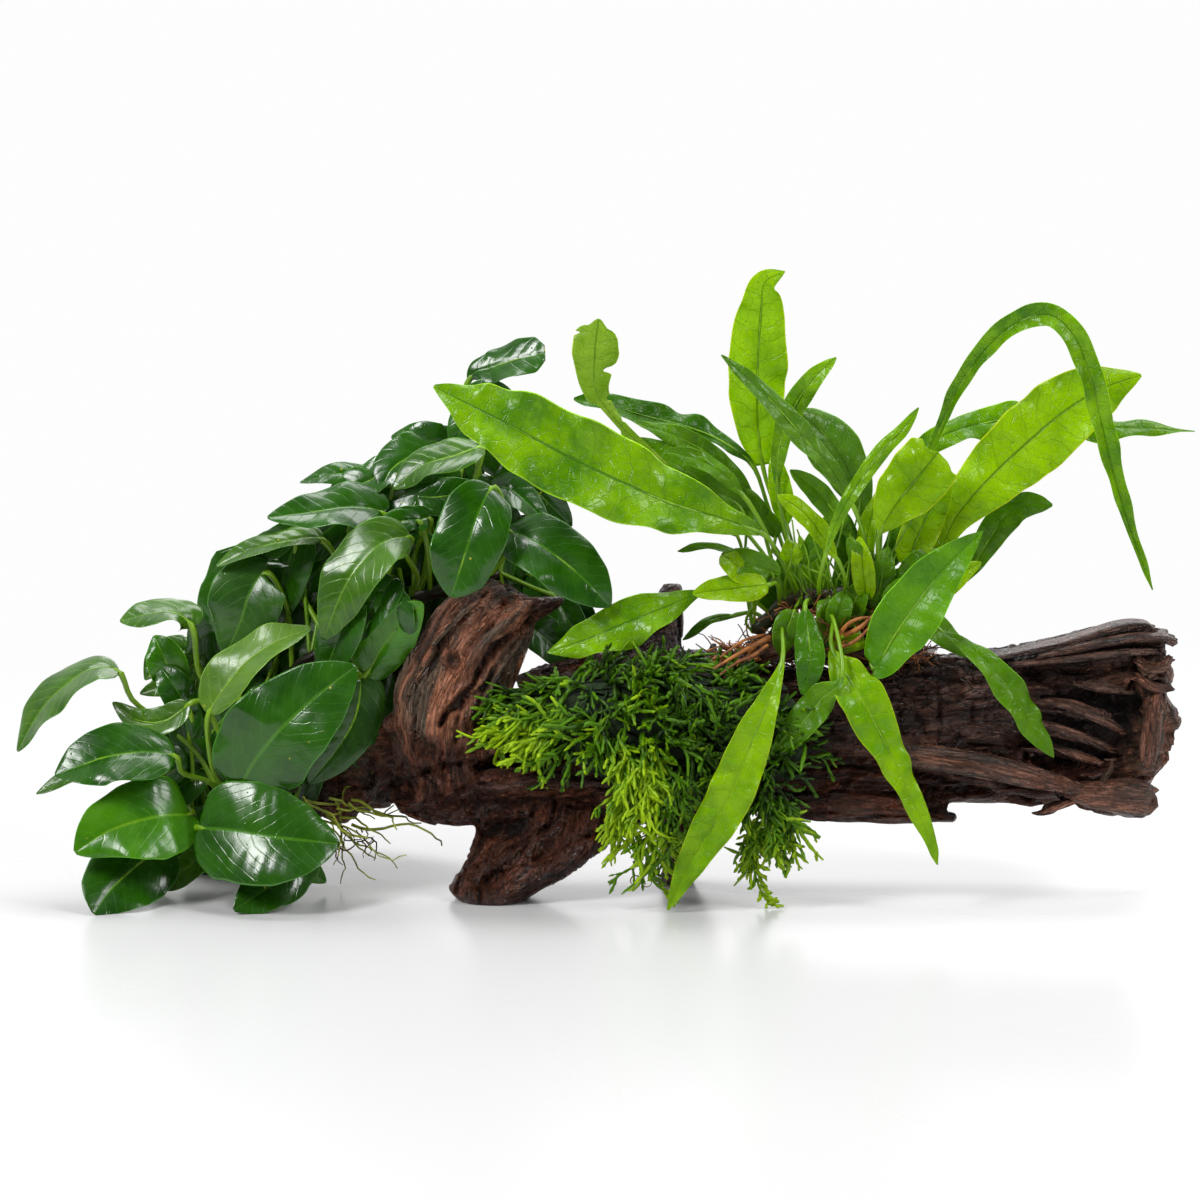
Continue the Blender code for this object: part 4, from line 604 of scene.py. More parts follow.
# Extra limbs at the broken end and round the stump: x, depth, up, half breadth, half depth.
BITS = (
    ("slab", ((-3.4, 3.9, 8.9, 0.8, 0.7), (-1.8, 4.0, 9.5, 0.8, 0.7), (-0.2, 4.0, 9.9, 0.7, 0.7),
              (1.0, 4.0, 10.0, 0.5, 0.6))),
    ("slab", ((14.8, 2.6, 10.0, 0.15, 0.7), (17.0, 2.4, 10.4, 0.22, 1.0), (19.2, 2.2, 10.95, 0.28, 1.1),
              (21.0, 2.1, 11.4, 0.28, 1.0), (22.6, 2.1, 11.2, 0.22, 0.8))),
    ("slab", ((16.6, 1.7, 9.95, 0.15, 0.5), (18.6, 1.45, 10.45, 0.24, 0.6), (20.6, 1.35, 10.85, 0.26, 0.7),
              (22.3, 1.5, 10.75, 0.2, 0.6))),
    ("slab", ((16.5, 3.7, 10.35, 0.2, 0.9), (19.0, 3.5, 11.05, 0.28, 1.0), (20.8, 3.4, 11.5, 0.28, 0.9),
              (21.9, 3.4, 11.45, 0.2, 0.6))),
    ("slab", ((19.4, 1.25, 10.1, 0.18, 0.3), (20.8, 1.15, 10.35, 0.22, 0.35), (22.5, 1.3, 10.3, 0.18, 0.4))),
    ("block", ((20.7, 1.5, 9.75, 0.4, 0.5), (21.5, 1.25, 9.85, 0.62, 0.7), (22.2, 1.3, 9.65, 0.68, 0.75),
               (22.7, 1.6, 9.5, 0.35, 0.5))),
    ("upright", ((21.75, 1.75, 5.9, 0.22, 0.5), (21.9, 1.45, 6.9, 0.36, 0.55), (22.0, 1.4, 7.9, 0.4, 0.55),
                 (22.25, 1.5, 8.9, 0.3, 0.5))),
    ("upright", ((22.3, 2.1, 5.8, 0.1, 0.4), (22.55, 2.2, 6.8, 0.18, 0.5), (22.75, 2.3, 7.6, 0.28, 0.45),
                 (22.5, 2.3, 8.4, 0.2, 0.5), (22.4, 2.2, 9.3, 0.16, 0.5))),
    ("block", ((17.6, 1.9, 5.2, 0.3, 0.7), (19.2, 1.6, 4.85, 0.6, 1.0), (20.6, 1.5, 4.75, 0.85, 1.1),
               (21.15, 1.5, 4.7, 0.9, 1.1), (21.4, 1.7, 4.9, 0.6, 0.8))),
    ("slab", ((11.6, 1.15, 5.95, 0.2, 0.3), (14.0, 0.85, 6.15, 0.34, 0.4), (16.4, 0.75, 5.8, 0.36, 0.4),
              (18.4, 0.75, 5.2, 0.26, 0.3), (19.75, 0.85, 4.72, 0.08, 0.12))),
    ("slab", ((17.0, 1.15, 4.1, 0.14, 0.2), (17.6, 0.95, 4.2, 0.24, 0.3), (18.6, 1.0, 4.5, 0.12, 0.15))),
    ("slab", ((15.6, 1.0, 8.5, 0.15, 0.25), (17.4, 0.85, 8.35, 0.26, 0.35), (19.2, 0.85, 8.1, 0.22, 0.3),
              (20.4, 1.0, 7.9, 0.08, 0.12))),
    ("slab", ((16.0, 0.95, 7.5, 0.15, 0.25), (17.7, 0.85, 7.3, 0.24, 0.35), (19.3, 0.95, 7.0, 0.16, 0.25),
              (20.2, 1.1, 6.8, 0.06, 0.1))),
    ("slab", ((16.6, 0.9, 6.7, 0.12, 0.2), (18.0, 0.85, 6.45, 0.24, 0.3), (19.4, 0.95, 6.1, 0.14, 0.2),
              (20.0, 1.0, 5.9, 0.06, 0.1))),
    ("slab", ((18.6, 1.2, 9.3, 0.2, 0.3), (20.0, 1.05, 9.15, 0.3, 0.4), (21.2, 1.15, 8.9, 0.2, 0.3))),
    ("slab", ((18.8, 1.05, 5.9, 0.1, 0.15), (19.6, 0.9, 5.5, 0.2, 0.2), (20.3, 0.95, 6.1, 0.12, 0.15),
              (20.4, 1.05, 6.5, 0.05, 0.06))),
    ("slab", ((-6.2, 1.55, 6.15, 0.16, 0.3), (-5.2, 1.3, 6.4, 0.24, 0.4), (-4.2, 1.35, 6.75, 0.2, 0.3),
              (-3.6, 1.5, 6.95, 0.08, 0.12))),
    ("slab", ((-7.9, 2.3, 4.5, 0.3, 0.4), (-6.5, 1.9, 4.95, 0.45, 0.5), (-4.6, 1.35, 5.35, 0.5, 0.5),
              (-2.4, 0.95, 5.55, 0.4, 0.4), (0.5, 0.8, 5.3, 0.3, 0.3))),
    ("slab", ((3.0, 6.0, 10.45, 0.2, 0.5), (4.2, 5.8, 10.35, 0.26, 0.5), (5.4, 5.5, 10.1, 0.2, 0.4))),
    ("slab", ((-6.9, 1.6, 10.7, 0.3, 0.4), (-6.0, 1.3, 11.6, 0.3, 0.4), (-4.9, 1.5, 12.6, 0.25, 0.4))),
    ("slab", ((-5.6, 1.25, 9.6, 0.3, 0.35), (-4.6, 1.35, 11.2, 0.32, 0.4), (-3.4, 1.9, 12.3, 0.22, 0.4),
              (-1.7, 2.7, 12.6, 0.1, 0.15))),
)
# Round knobs: x, depth, up, radius.
KNOBS = (
    (-8.55, 2.3, 7.6, 0.42), (-8.3, 3.2, 4.75, 0.42), (-7.9, 1.9, 6.6, 0.45), (-7.3, 1.5, 6.1, 0.42),
    (-8.2, 2.4, 5.8, 0.4), (-6.9, 1.25, 7.2, 0.4), (-7.6, 1.5, 7.5, 0.35), (-6.5, 1.35, 5.7, 0.3),
    (4.35, 6.1, 10.7, 0.24), (-11.0, 5.3, 4.9, 1.0), (-9.9, 5.2, 5.1, 0.95), (-10.5, 5.25, 4.4, 0.75),
)
# Hollows seen from the front: x, up, half width, half height, depth, turn in degrees.
HOLLOWS = (
    (19.4, 7.6, 2.1, 1.7, 1.5, -20.0), (20.9, 8.3, 0.7, 1.3, 1.0, 0.0), (17.2, 6.6, 1.3, 0.5, 0.7, -25.0),
    (-4.1, 3.5, 0.9, 0.5, 0.7, 0.0), (-2.4, 2.5, 0.8, 0.35, 0.4, 35.0), (-4.7, 1.3, 0.4, 0.3, 0.35, 0.0),
    (-6.1, 10.1, 0.25, 0.45, 0.5, 30.0), (-5.3, 7.5, 0.6, 0.35, 0.4, 60.0),
    (21.6, 10.6, 1.2, 0.14, 0.5, 5.0), (-7.2, 6.7, 0.35, 0.5, 0.4, 20.0),
    (-4.6, 6.05, 1.1, 0.2, 0.4, 12.0),
)
# Cracks and ridges seen from the front: depth (a crack is below zero), half width, then points.
STROKES = (
    (-0.45, 0.10, ((-6.6, 7.6), (-6.3, 8.1), (-5.2, 9.2), (-4.9, 9.8), (-4.3, 10.7), (-3.3, 11.4),
                   (-2.8, 12.1))),
    (-0.35, 0.09, ((-7.0, 9.9), (-6.6, 10.6), (-6.0, 11.3), (-5.1, 12.4), (-4.8, 12.9))),
    (-0.25, 0.07, ((-5.9, 8.2), (-5.0, 8.9), (-4.5, 9.3), (-4.2, 9.9))),
    (-0.25, 0.08, ((-8.0, 8.6), (-7.3, 9.6), (-6.9, 10.4), (-6.2, 11.2))),
    (-0.22, 0.07, ((-5.7, 10.4), (-5.0, 11.2), (-4.3, 12.0), (-4.0, 12.6))),
    (-0.2, 0.06, ((-4.5, 8.2), (-4.2, 9.2), (-3.7, 10.2), (-3.1, 11.0))),
    (-0.2, 0.06, ((-5.0, 7.6), (-4.7, 8.4), (-4.3, 8.8))),
    (-0.4, 0.10, ((4.6, 5.55), (6.5, 5.45), (7.3, 5.7), (9.5, 5.8), (11.5, 5.7), (13.5, 5.3))),
    (-0.25, 0.08, ((8.0, 6.1), (9.6, 6.15), (11.4, 6.05), (13.6, 5.75), (15.6, 5.2), (17.8, 4.75))),
    (-0.2, 0.07, ((9.5, 5.3), (11.5, 5.2), (14.0, 4.85), (16.4, 4.5), (18.2, 4.3))),
    (-0.3, 0.09, ((13.0, 4.8), (15.0, 4.75), (17.0, 4.45), (18.3, 3.95))),
    (-0.35, 0.10, ((15.4, 10.15), (17.5, 10.3), (20.0, 10.45), (22.1, 10.55))),
    (-0.25, 0.08, ((17.0, 10.75), (19.0, 11.0), (21.0, 11.2), (22.4, 11.1))),
    (-0.25, 0.07, ((13.2, 10.0), (13.35, 9.7), (13.4, 9.2))),
    (-0.22, 0.07, ((15.0, 9.5), (17.5, 9.7), (19.6, 9.75), (20.8, 10.0))),
    (-0.3, 0.09, ((20.9, 9.0), (21.3, 9.3), (21.0, 9.9), (21.3, 10.4))),
    (-0.3, 0.08, ((21.9, 9.1), (22.3, 9.4), (22.1, 10.0))),
    (-0.2, 0.07, ((-8.0, 5.3), (-6.5, 5.9), (-4.8, 5.95), (-3.0, 6.2))),
    (-0.15, 0.06, ((-7.5, 4.3), (-5.5, 4.55), (-3.0, 4.6), (-0.5, 4.3))),
    (-0.15, 0.06, ((-5.6, 1.0), (-4.0, 1.7), (-2.0, 2.6), (0.0, 3.4))),
    (-0.12, 0.05, ((-5.9, 1.5), (-4.6, 2.3), (-3.0, 3.2), (-1.2, 3.9))),
    (0.16, 0.2, ((6.5, 5.0), (9.0, 4.9), (11.0, 4.6), (13.0, 4.4))),
    (0.14, 0.22, ((-7.4, 9.0), (-6.6, 9.9), (-5.6, 11.3), (-4.9, 12.5))),
)


def sharp(points):
    """Noise from 0 to about 1 whose crests are sharp edges, as where wood splits along its grain."""
    return 1 - np.abs(smooth_noise(points)) * 1.4 - 0.35 * np.abs(smooth_noise(points * 2.1 + 7.7))


def notches(points, width):
    """1 in the middle of thin winding cuts with a V section, and 0 elsewhere."""
    return np.clip(1 - np.abs(smooth_noise(points)) / width, 0, 1)


def limb_rings(stations, facing=None, flat_start=False, sides=40, steps=5, rough=0.07, square=1.0):
    """The rings of a knotty limb, finer than the solid that it stands for but on the same surface."""
    places = np.linspace(0, len(stations) - 1, steps * (len(stations) - 1) + 1)
    centres = spine([seen(*station[:3]) for station in stations], places)
    sizes = np.maximum(spine([station[3:5] for station in stations], places), 0.05)
    coarse = np.array([seen(*station[:3]) for station in stations])
    ways = unit(np.gradient(coarse, axis=0))
    ways = unit(np.stack([np.interp(places, range(len(stations)), ways[:, axis]) for axis in range(3)], -1))
    if facing:
        ways = np.tile(np.array(facing, float), (len(places), 1))
    if flat_start:
        centres[0, 2] = 0.0
        ways[0] = (0.0, 0.0, 1.0)
    side = unit(np.array((0.0, 1.0, 0.0)) - ways * ways[:, 1:2])
    upright = np.cross(ways, side)
    angles = np.linspace(0, 2 * math.pi, sides, endpoint=False)
    cosines = np.sign(np.cos(angles)) * np.abs(np.cos(angles)) ** square
    sines = np.sign(np.sin(angles)) * np.abs(np.sin(angles)) ** square
    out = (upright[:, None] * sizes[:, None, :1] * cosines[:, None]
           + side[:, None] * sizes[:, None, 1:] * sines[:, None]) * CM
    rings = centres[:, None] + out
    for i in range(1 if flat_start else 0, len(rings)):
        for j in range(sides):
            point = Vector(rings[i, j])
            knot = noise.noise(point * 45) + 0.5 * noise.noise(point * 110)
            rings[i, j] = centres[i] + out[i, j] * (1 + rough * knot)
    return rings, (centres, ways, side, upright, sizes)


def closed_rings(rings):
    """Points and faces of rings joined in their order, with a fan that closes each end."""
    count, sides = rings.shape[:2]
    order = np.arange(count * sides).reshape(count, sides)
    quads = np.stack([order[:-1], np.roll(order[:-1], -1, 1), np.roll(order[1:], -1, 1), order[1:]], -1)
    faces = [tuple(face) for face in quads.reshape(-1, 4)]
    points = list(map(tuple, rings.reshape(-1, 3)))
    for row, ring, turn in ((order[0], rings[0], -1), (order[-1], rings[-1], 1)):
        points.append(tuple(ring.mean(0)))
        for i in range(sides):
            faces.append((int(row[i]), int(row[(i + 1) % sides]), len(points) - 1)[::turn])
    return points, faces


def add_rings(points, faces, rings):
    """Adds closed rings to the lists of points and faces."""
    ring_points, ring_faces = closed_rings(rings)
    faces += [tuple(i + len(points) for i in face) for face in ring_faces]
    points += ring_points


# Split boards of wood at the broken end, with flat faces and sharp edges: blackness, then the stations.
BOARDS = (
    (0.5, ((11.0, 1.35, 6.55, 0.35, 0.25), (12.4, 0.75, 6.4, 0.5, 0.3), (14.5, 0.5, 6.1, 0.55, 0.32),
           (16.6, 0.4, 5.65, 0.5, 0.32), (18.2, 0.4, 5.25, 0.36, 0.28), (19.2, 0.5, 5.0, 0.2, 0.2),
           (19.75, 0.6, 4.92, 0.05, 0.08))),
    (1.0, ((15.6, 2.0, 10.35, 0.12, 0.6), (18.4, 1.7, 10.9, 0.2, 0.7), (20.4, 1.6, 11.5, 0.22, 0.7),
           (21.5, 1.6, 11.6, 0.2, 0.6), (21.95, 1.7, 11.4, 0.14, 0.4))),
    (1.0, ((17.2, 1.35, 10.35, 0.1, 0.5), (19.0, 1.1, 10.75, 0.2, 0.55), (20.8, 1.0, 11.1, 0.2, 0.6),
           (22.2, 1.1, 11.15, 0.24, 0.6), (22.55, 1.3, 11.0, 0.2, 0.5))),
    (0.9, ((16.4, 1.1, 10.0, 0.1, 0.4), (18.8, 0.9, 10.3, 0.16, 0.45), (20.8, 0.85, 10.55, 0.17, 0.5),
           (22.1, 1.1, 10.6, 0.14, 0.4))),
    (0.5, ((22.15, 0.9, 9.1, 0.14, 0.25), (22.0, 0.6, 8.4, 0.34, 0.3), (21.85, 0.4, 7.4, 0.44, 0.3),
           (21.75, 0.4, 6.5, 0.42, 0.3), (21.7, 0.65, 5.9, 0.28, 0.2))),
    (0.5, ((21.3, 1.0, 10.25, 0.2, 0.3), (21.75, 0.75, 9.9, 0.24, 0.35), (22.3, 0.8, 9.95, 0.26, 0.3),
           (22.6, 1.0, 10.3, 0.16, 0.25))),
    (0.5, ((21.2, 0.9, 9.6, 0.16, 0.25), (21.9, 0.7, 9.15, 0.22, 0.3), (22.5, 0.95, 9.1, 0.18, 0.3))),
    (0.6, ((17.6, 0.9, 8.55, 0.14, 0.3), (18.7, 0.75, 8.35, 0.26, 0.35), (19.9, 0.85, 7.85, 0.24, 0.35),
           (20.7, 1.2, 7.35, 0.12, 0.25))),
    (0.6, ((17.4, 0.85, 7.7, 0.12, 0.25), (18.5, 0.8, 7.35, 0.22, 0.3), (19.6, 0.95, 6.9, 0.2, 0.3),
           (20.3, 1.3, 6.6, 0.1, 0.2))),
    (0.6, ((17.9, 0.75, 6.75, 0.1, 0.2), (18.9, 0.75, 6.4, 0.2, 0.3), (19.8, 1.0, 6.1, 0.12, 0.25))),
    (0.2, ((19.75, 0.7, 5.15, 0.1, 0.12), (20.0, 0.6, 5.5, 0.17, 0.16), (20.25, 0.65, 5.95, 0.12, 0.12),
           (20.2, 0.8, 6.25, 0.04, 0.05))),
    (0.3, ((17.35, 0.9, 4.05, 0.05, 0.1), (18.0, 0.75, 4.3, 0.14, 0.2), (18.7, 0.7, 4.55, 0.14, 0.2),
           (19.3, 0.8, 4.7, 0.04, 0.08))),
    (0.4, ((18.3, 1.0, 5.0, 0.2, 0.5), (19.4, 0.75, 4.85, 0.55, 0.7), (20.6, 0.65, 4.75, 0.8, 0.8),
           (21.25, 0.8, 4.65, 0.86, 0.8), (21.5, 1.1, 4.6, 0.8, 0.7))),
)


def boards(look):
    """The split boards as one object, with the grain along each."""
    points, faces, grain, black = [], [], [], []
    for order, (tone, stations) in enumerate(BOARDS):
        upright_board = abs(stations[0][2] - stations[-1][2]) > abs(stations[0][0] - stations[-1][0])
        rings, (centres, _, _, _, sizes) = limb_rings(
            stations, UP if upright_board else None, False, 20, 9, rough=0.06, square=0.55)
        count, sides = rings.shape[:2]
        flat = rings.reshape(-1, 3)
        arc = arc_length(centres).repeat(sides)
        turn = np.tile(np.linspace(0, 2 * math.pi, sides, endpoint=False), count)
        local = (flat - centres.repeat(sides, axis=0)) / CM
        a, b = local[:, 0 if upright_board else 2], local[:, 1]
        key = np.stack([arc * 0.3 + order * 9.1, a * 3.0, b * 3.0], -1)
        thin = np.minimum(sizes.min(1).repeat(sides) * 0.35, 0.09)
        dent = thin * (sharp(key) - 0.9) - 0.5 * thin * notches(key * 1.7 + 4.0, 0.2)
        flat = flat + unit(local) * (dent * CM)[:, None]
        ends = smooth_noise(np.stack([turn * 2.3, turn * 0 + order, turn * 0], -1)) * 0.2
        flat[:, 0] += ends * CM * ((arc < 0.1) | (arc > arc.max() - 0.1))
        add_rings(points, faces, flat.reshape(rings.shape))
        coords = np.stack([arc + order * 17.0, a, b], -1)
        grain.append(np.concatenate([coords, coords[:1], coords[-1:]]))
        black.append(np.full(len(coords) + 2, tone))
    black = np.concatenate(black)
    made = loose_object("driftwood_boards", points, faces, look)
    add_numbers(made, "grain", np.concatenate(grain))
    add_numbers(made, "black", black * 0.8)
    add_numbers(made, "stump", 0.6 - 0.5 * black)
    for name in ("crack", "crackle"):
        add_numbers(made, name, np.zeros(len(points)))
    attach(made, "root")


def hollow_out(points):
    """Pushes the front of a limb back where a hollow lies."""
    x, v, _ = from_front(points)
    push = np.zeros(len(points))
    for hx, hv, wide, high, depth, turn in HOLLOWS:
        turn = math.radians(turn)
        a = ((x - hx) * math.cos(turn) + (v - hv) * math.sin(turn)) / wide
        b = ((v - hv) * math.cos(turn) - (x - hx) * math.sin(turn)) / high
        rag = 0.35 * fractal(np.stack([x * 1.3, v * 1.9, x * 0 + hx], -1), 2)
        push = np.maximum(push, depth * np.clip((1.15 + rag - np.hypot(a, b)) * 1.6, 0, 1))
    return push


def stroke_relief(x, v):
    """How high the cracks and ridges stand at each place seen from the front, in centimetres."""
    total = np.zeros(len(x))
    for depth, width, path in STROKES:
        wander = 0.09 * fractal(np.stack([x * 1.7, v * 1.7, x * 0 + path[0][0]], -1), 2)
        best = np.full(len(x), 9.0)
        for (ax, av), (bx, bv) in zip(path, path[1:]):
            span = np.array((bx - ax, bv - av))
            t = np.clip(((x - ax) * span[0] + (v - av) * span[1]) / (span ** 2).sum(), 0, 1)
            best = np.minimum(best, np.hypot(x - ax - t * span[0], v - av - t * span[1]))
        total += depth * np.exp(-((best + wander * (depth < 0)) / width) ** 2)
    return total


# The cell size, in metres, at which the limbs are fused.
FUSE_SIZE = 0.00132


def fused_limbs():
    """One mesh fused from every limb, bit and knob, and the axes of the limbs."""
    points, faces, frames = [], [], []
    for stations, facing, flat, sides, steps in (
        (TRUNK, ALONG, False, 80, 8), (STUMP, None, False, 48, 6), (STUMP_POINT, None, False, 24, 5),
        (FOOT, UP, True, 44, 8), (BACK_FORK, UP, False, 32, 5), (LOG_RIDGE, None, False, 24, 5),
        (LEFT_BOUGH, None, True, 44, 6), (BACK_LEG, UP, True, 24, 5), (SPUR, None, False, 28, 5),
    ):
        rings, axes = limb_rings(stations, facing, flat, sides, steps)
        shape = rings.shape
        rings = rings.reshape(-1, 3)
        push = hollow_out(rings) * (rings[:, 1] < axes[0][:, 1].repeat(sides) + 0.002)
        rings[:, 1] += push * CM
        add_rings(points, faces, rings.reshape(shape))
        frames.append(axes)
    for kind, stations in BITS:
        facing = {"slab": None, "block": ALONG, "upright": UP}[kind]
        add_rings(points, faces, limb_rings(stations, facing, False, 14, 4, rough=0.2)[0])
    for x, y, v, radius in KNOBS:
        turn = np.linspace(0.25, math.pi - 0.25, 7)[::-1]
        ball = [(x, y, v + radius * math.cos(t), radius * math.sin(t), radius * math.sin(t)) for t in turn]
        add_rings(points, faces, limb_rings(ball, UP, False, 14, 2, rough=0.3)[0])
    rough = bpy.data.meshes.new("driftwood_rough")
    rough.from_pydata(points, [], faces)
    fused = bpy.data.objects.new("driftwood_rough", rough)
    bpy.context.scene.collection.objects.link(fused)
    remesh = fused.modifiers.new("fuse", "REMESH")
    remesh.mode = "VOXEL"
    remesh.voxel_size = FUSE_SIZE
    soften = fused.modifiers.new("soften", "SMOOTH")
    soften.factor = 0.5
    soften.iterations = 1
    graph = bpy.context.evaluated_depsgraph_get()
    data = bpy.data.meshes.new_from_object(fused.evaluated_get(graph))
    bpy.data.objects.remove(fused, do_unlink=True)
    data.name = "driftwood"
    return data, frames


def grain_at(base, frames):
    """For each point: how far along its nearest limb it lies, and where across it, in centimetres."""
    grain = np.zeros((len(base), 3))
    nearest = np.full(len(base), 1e9)
    for order, (centres, ways, side, upright, sizes) in enumerate(frames):
        arc = arc_length(centres)
        flow = unit(np.gradient(centres, axis=0))
        gaps = np.stack([((base - centre) ** 2).sum(1) for centre in centres], 1)
        pick = gaps.argmin(1)
        local = (base - centres[pick]) / CM
        a = (local * upright[pick]).sum(1)
        b = (local * side[pick]).sum(1)
        along = arc[pick] + (local * flow[pick]).sum(1)
        at_end = (pick == 0) | (pick == len(centres) - 1)
        past_end = np.abs((local * ways[pick]).sum(1)) * at_end
        spread = np.hypot(a / sizes[pick, 0], b / sizes[pick, 1]) + 0.6 * past_end
        better = spread < nearest
        grain[better] = np.stack([along, a, b], -1)[better] + order * 31.7
        nearest = np.minimum(nearest, spread)
    return grain


def driftwood():
    """One branching piece: the limbs are fused, then carved with grain, cracks and hollows."""
    data, frames = fused_limbs()
    base = read_vectors(data.vertices, "co")
    normals = read_vectors(data.vertices, "normal")
    grain = grain_at(base, frames)
    x, v, depth = from_front(base)
    front = np.clip(-normals[:, 1] * 1.6, 0, 1)
    black = np.clip((x - 6.0) / 2.0, 0, 1) * np.clip((v - 6.2) / 1.2, 0, 1)
    crackle = black * np.clip((18.0 - x) / 3.0, 0, 1)
    right_end = np.clip((x - 15.5) / 2.5, 0, 1)
    s, a, b = grain.T
    lumps = 0.07 * fractal(base / CM * 0.5, 2)
    plates = 0.13 * (sharp(np.stack([s * 0.13, a * 0.9, b * 0.9], -1)) - 0.6)
    ridges = 0.07 * (sharp(np.stack([s * 0.22, a * 2.1, b * 2.1], -1) + 3.0) - 0.6)
    splits = notches(np.stack([s * 0.2, a * 1.2, b * 1.2], -1) + 5.0, 0.12)
    hair = notches(np.stack([s * 0.45, a * 2.9, b * 2.9], -1) + 11.0, 0.22)
    checks = notches(np.stack([s * 2.1, a * 0.9, b * 0.9], -1) + 23.0, 0.14)
    tiles = notches(np.stack([s * 0.7, a * 3.2, b * 3.2], -1) + 37.0, 0.24)
    height = (lumps + plates * (1 + 0.7 * right_end) + ridges
              - 0.25 * splits * (0.6 + 0.7 * right_end) - 0.08 * hair
              - crackle * (0.15 * checks + 0.17 * tiles))
    relief = stroke_relief(x, v)
    height = height + relief * front
    sole = np.clip((base[:, 2] / CM - 0.02) / 0.5, 0, 1)
    moved = base + normals * (height * CM * sole)[:, None]
    moved[:, 2] = np.maximum(moved[:, 2], 0.0)
    push = hollow_out(base)
    # Hollows, splits and cracks are painted dark as well as dented: painted shade in the recesses.
    hollow_shade = np.clip(push * 1.2, 0, 1) * (front > 0.05) * np.clip((depth - 1.0) / 0.8, 0, 1)
    dark = np.clip(1.1 * splits * 0.6 + 0.5 * hair + crackle * 0.8 * np.maximum(tiles, checks)
                   + np.clip(-relief * 3.0, 0, 1) * front + 0.85 * hollow_shade, 0, 1)
    stump = np.clip((9.5 - np.abs(x + 5.6) * 3.0) / 2.0, 0, 1) * np.clip((v - 6.4) / 1.5, 0, 1)
    stump = np.maximum(stump, 0.55 * np.clip((x - 19.6) / 1.2, 0, 1) * np.clip((10.6 - v) / 0.8, 0, 1))
    # The end of the left bough takes the stump's red: its own reddish-brown, painted lighter as painted
    # light where it lies in shade.
    stump = np.maximum(stump, 0.6 * np.clip((-8.2 - x) / 0.8, 0, 1) * np.clip((v - 3.0) / 0.8, 0, 1))
    tone = np.clip(0.75 * black + 0.25 * np.clip((x - 17) / 3, 0, 1) * (v > 9), 0, 1)
    # Wood lying far back, left of the fern, is painted near black through the black share: painted shade
    # behind the leaves and limbs.
    behind = np.clip((depth - 4.2) / 1.5, 0, 1) * (x < 6.5)
    data.vertices.foreach_set("co", moved.astype(np.float32).ravel())
    data.update()
    data.shade_smooth()
    data.materials.clear()
    look = wood_paint()
    data.materials.append(look)
    wood = bpy.data.objects.new("driftwood", data)
    bpy.context.scene.collection.objects.link(wood)
    add_numbers(wood, "grain", grain)
    add_numbers(wood, "crack", dark)
    add_numbers(wood, "black", np.maximum(tone, 0.8 * behind))
    add_numbers(wood, "stump", stump)
    add_numbers(wood, "crackle", crackle)
    boards(look)
    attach(wood, "root")
    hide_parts(*[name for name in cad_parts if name.startswith("driftwood_")])


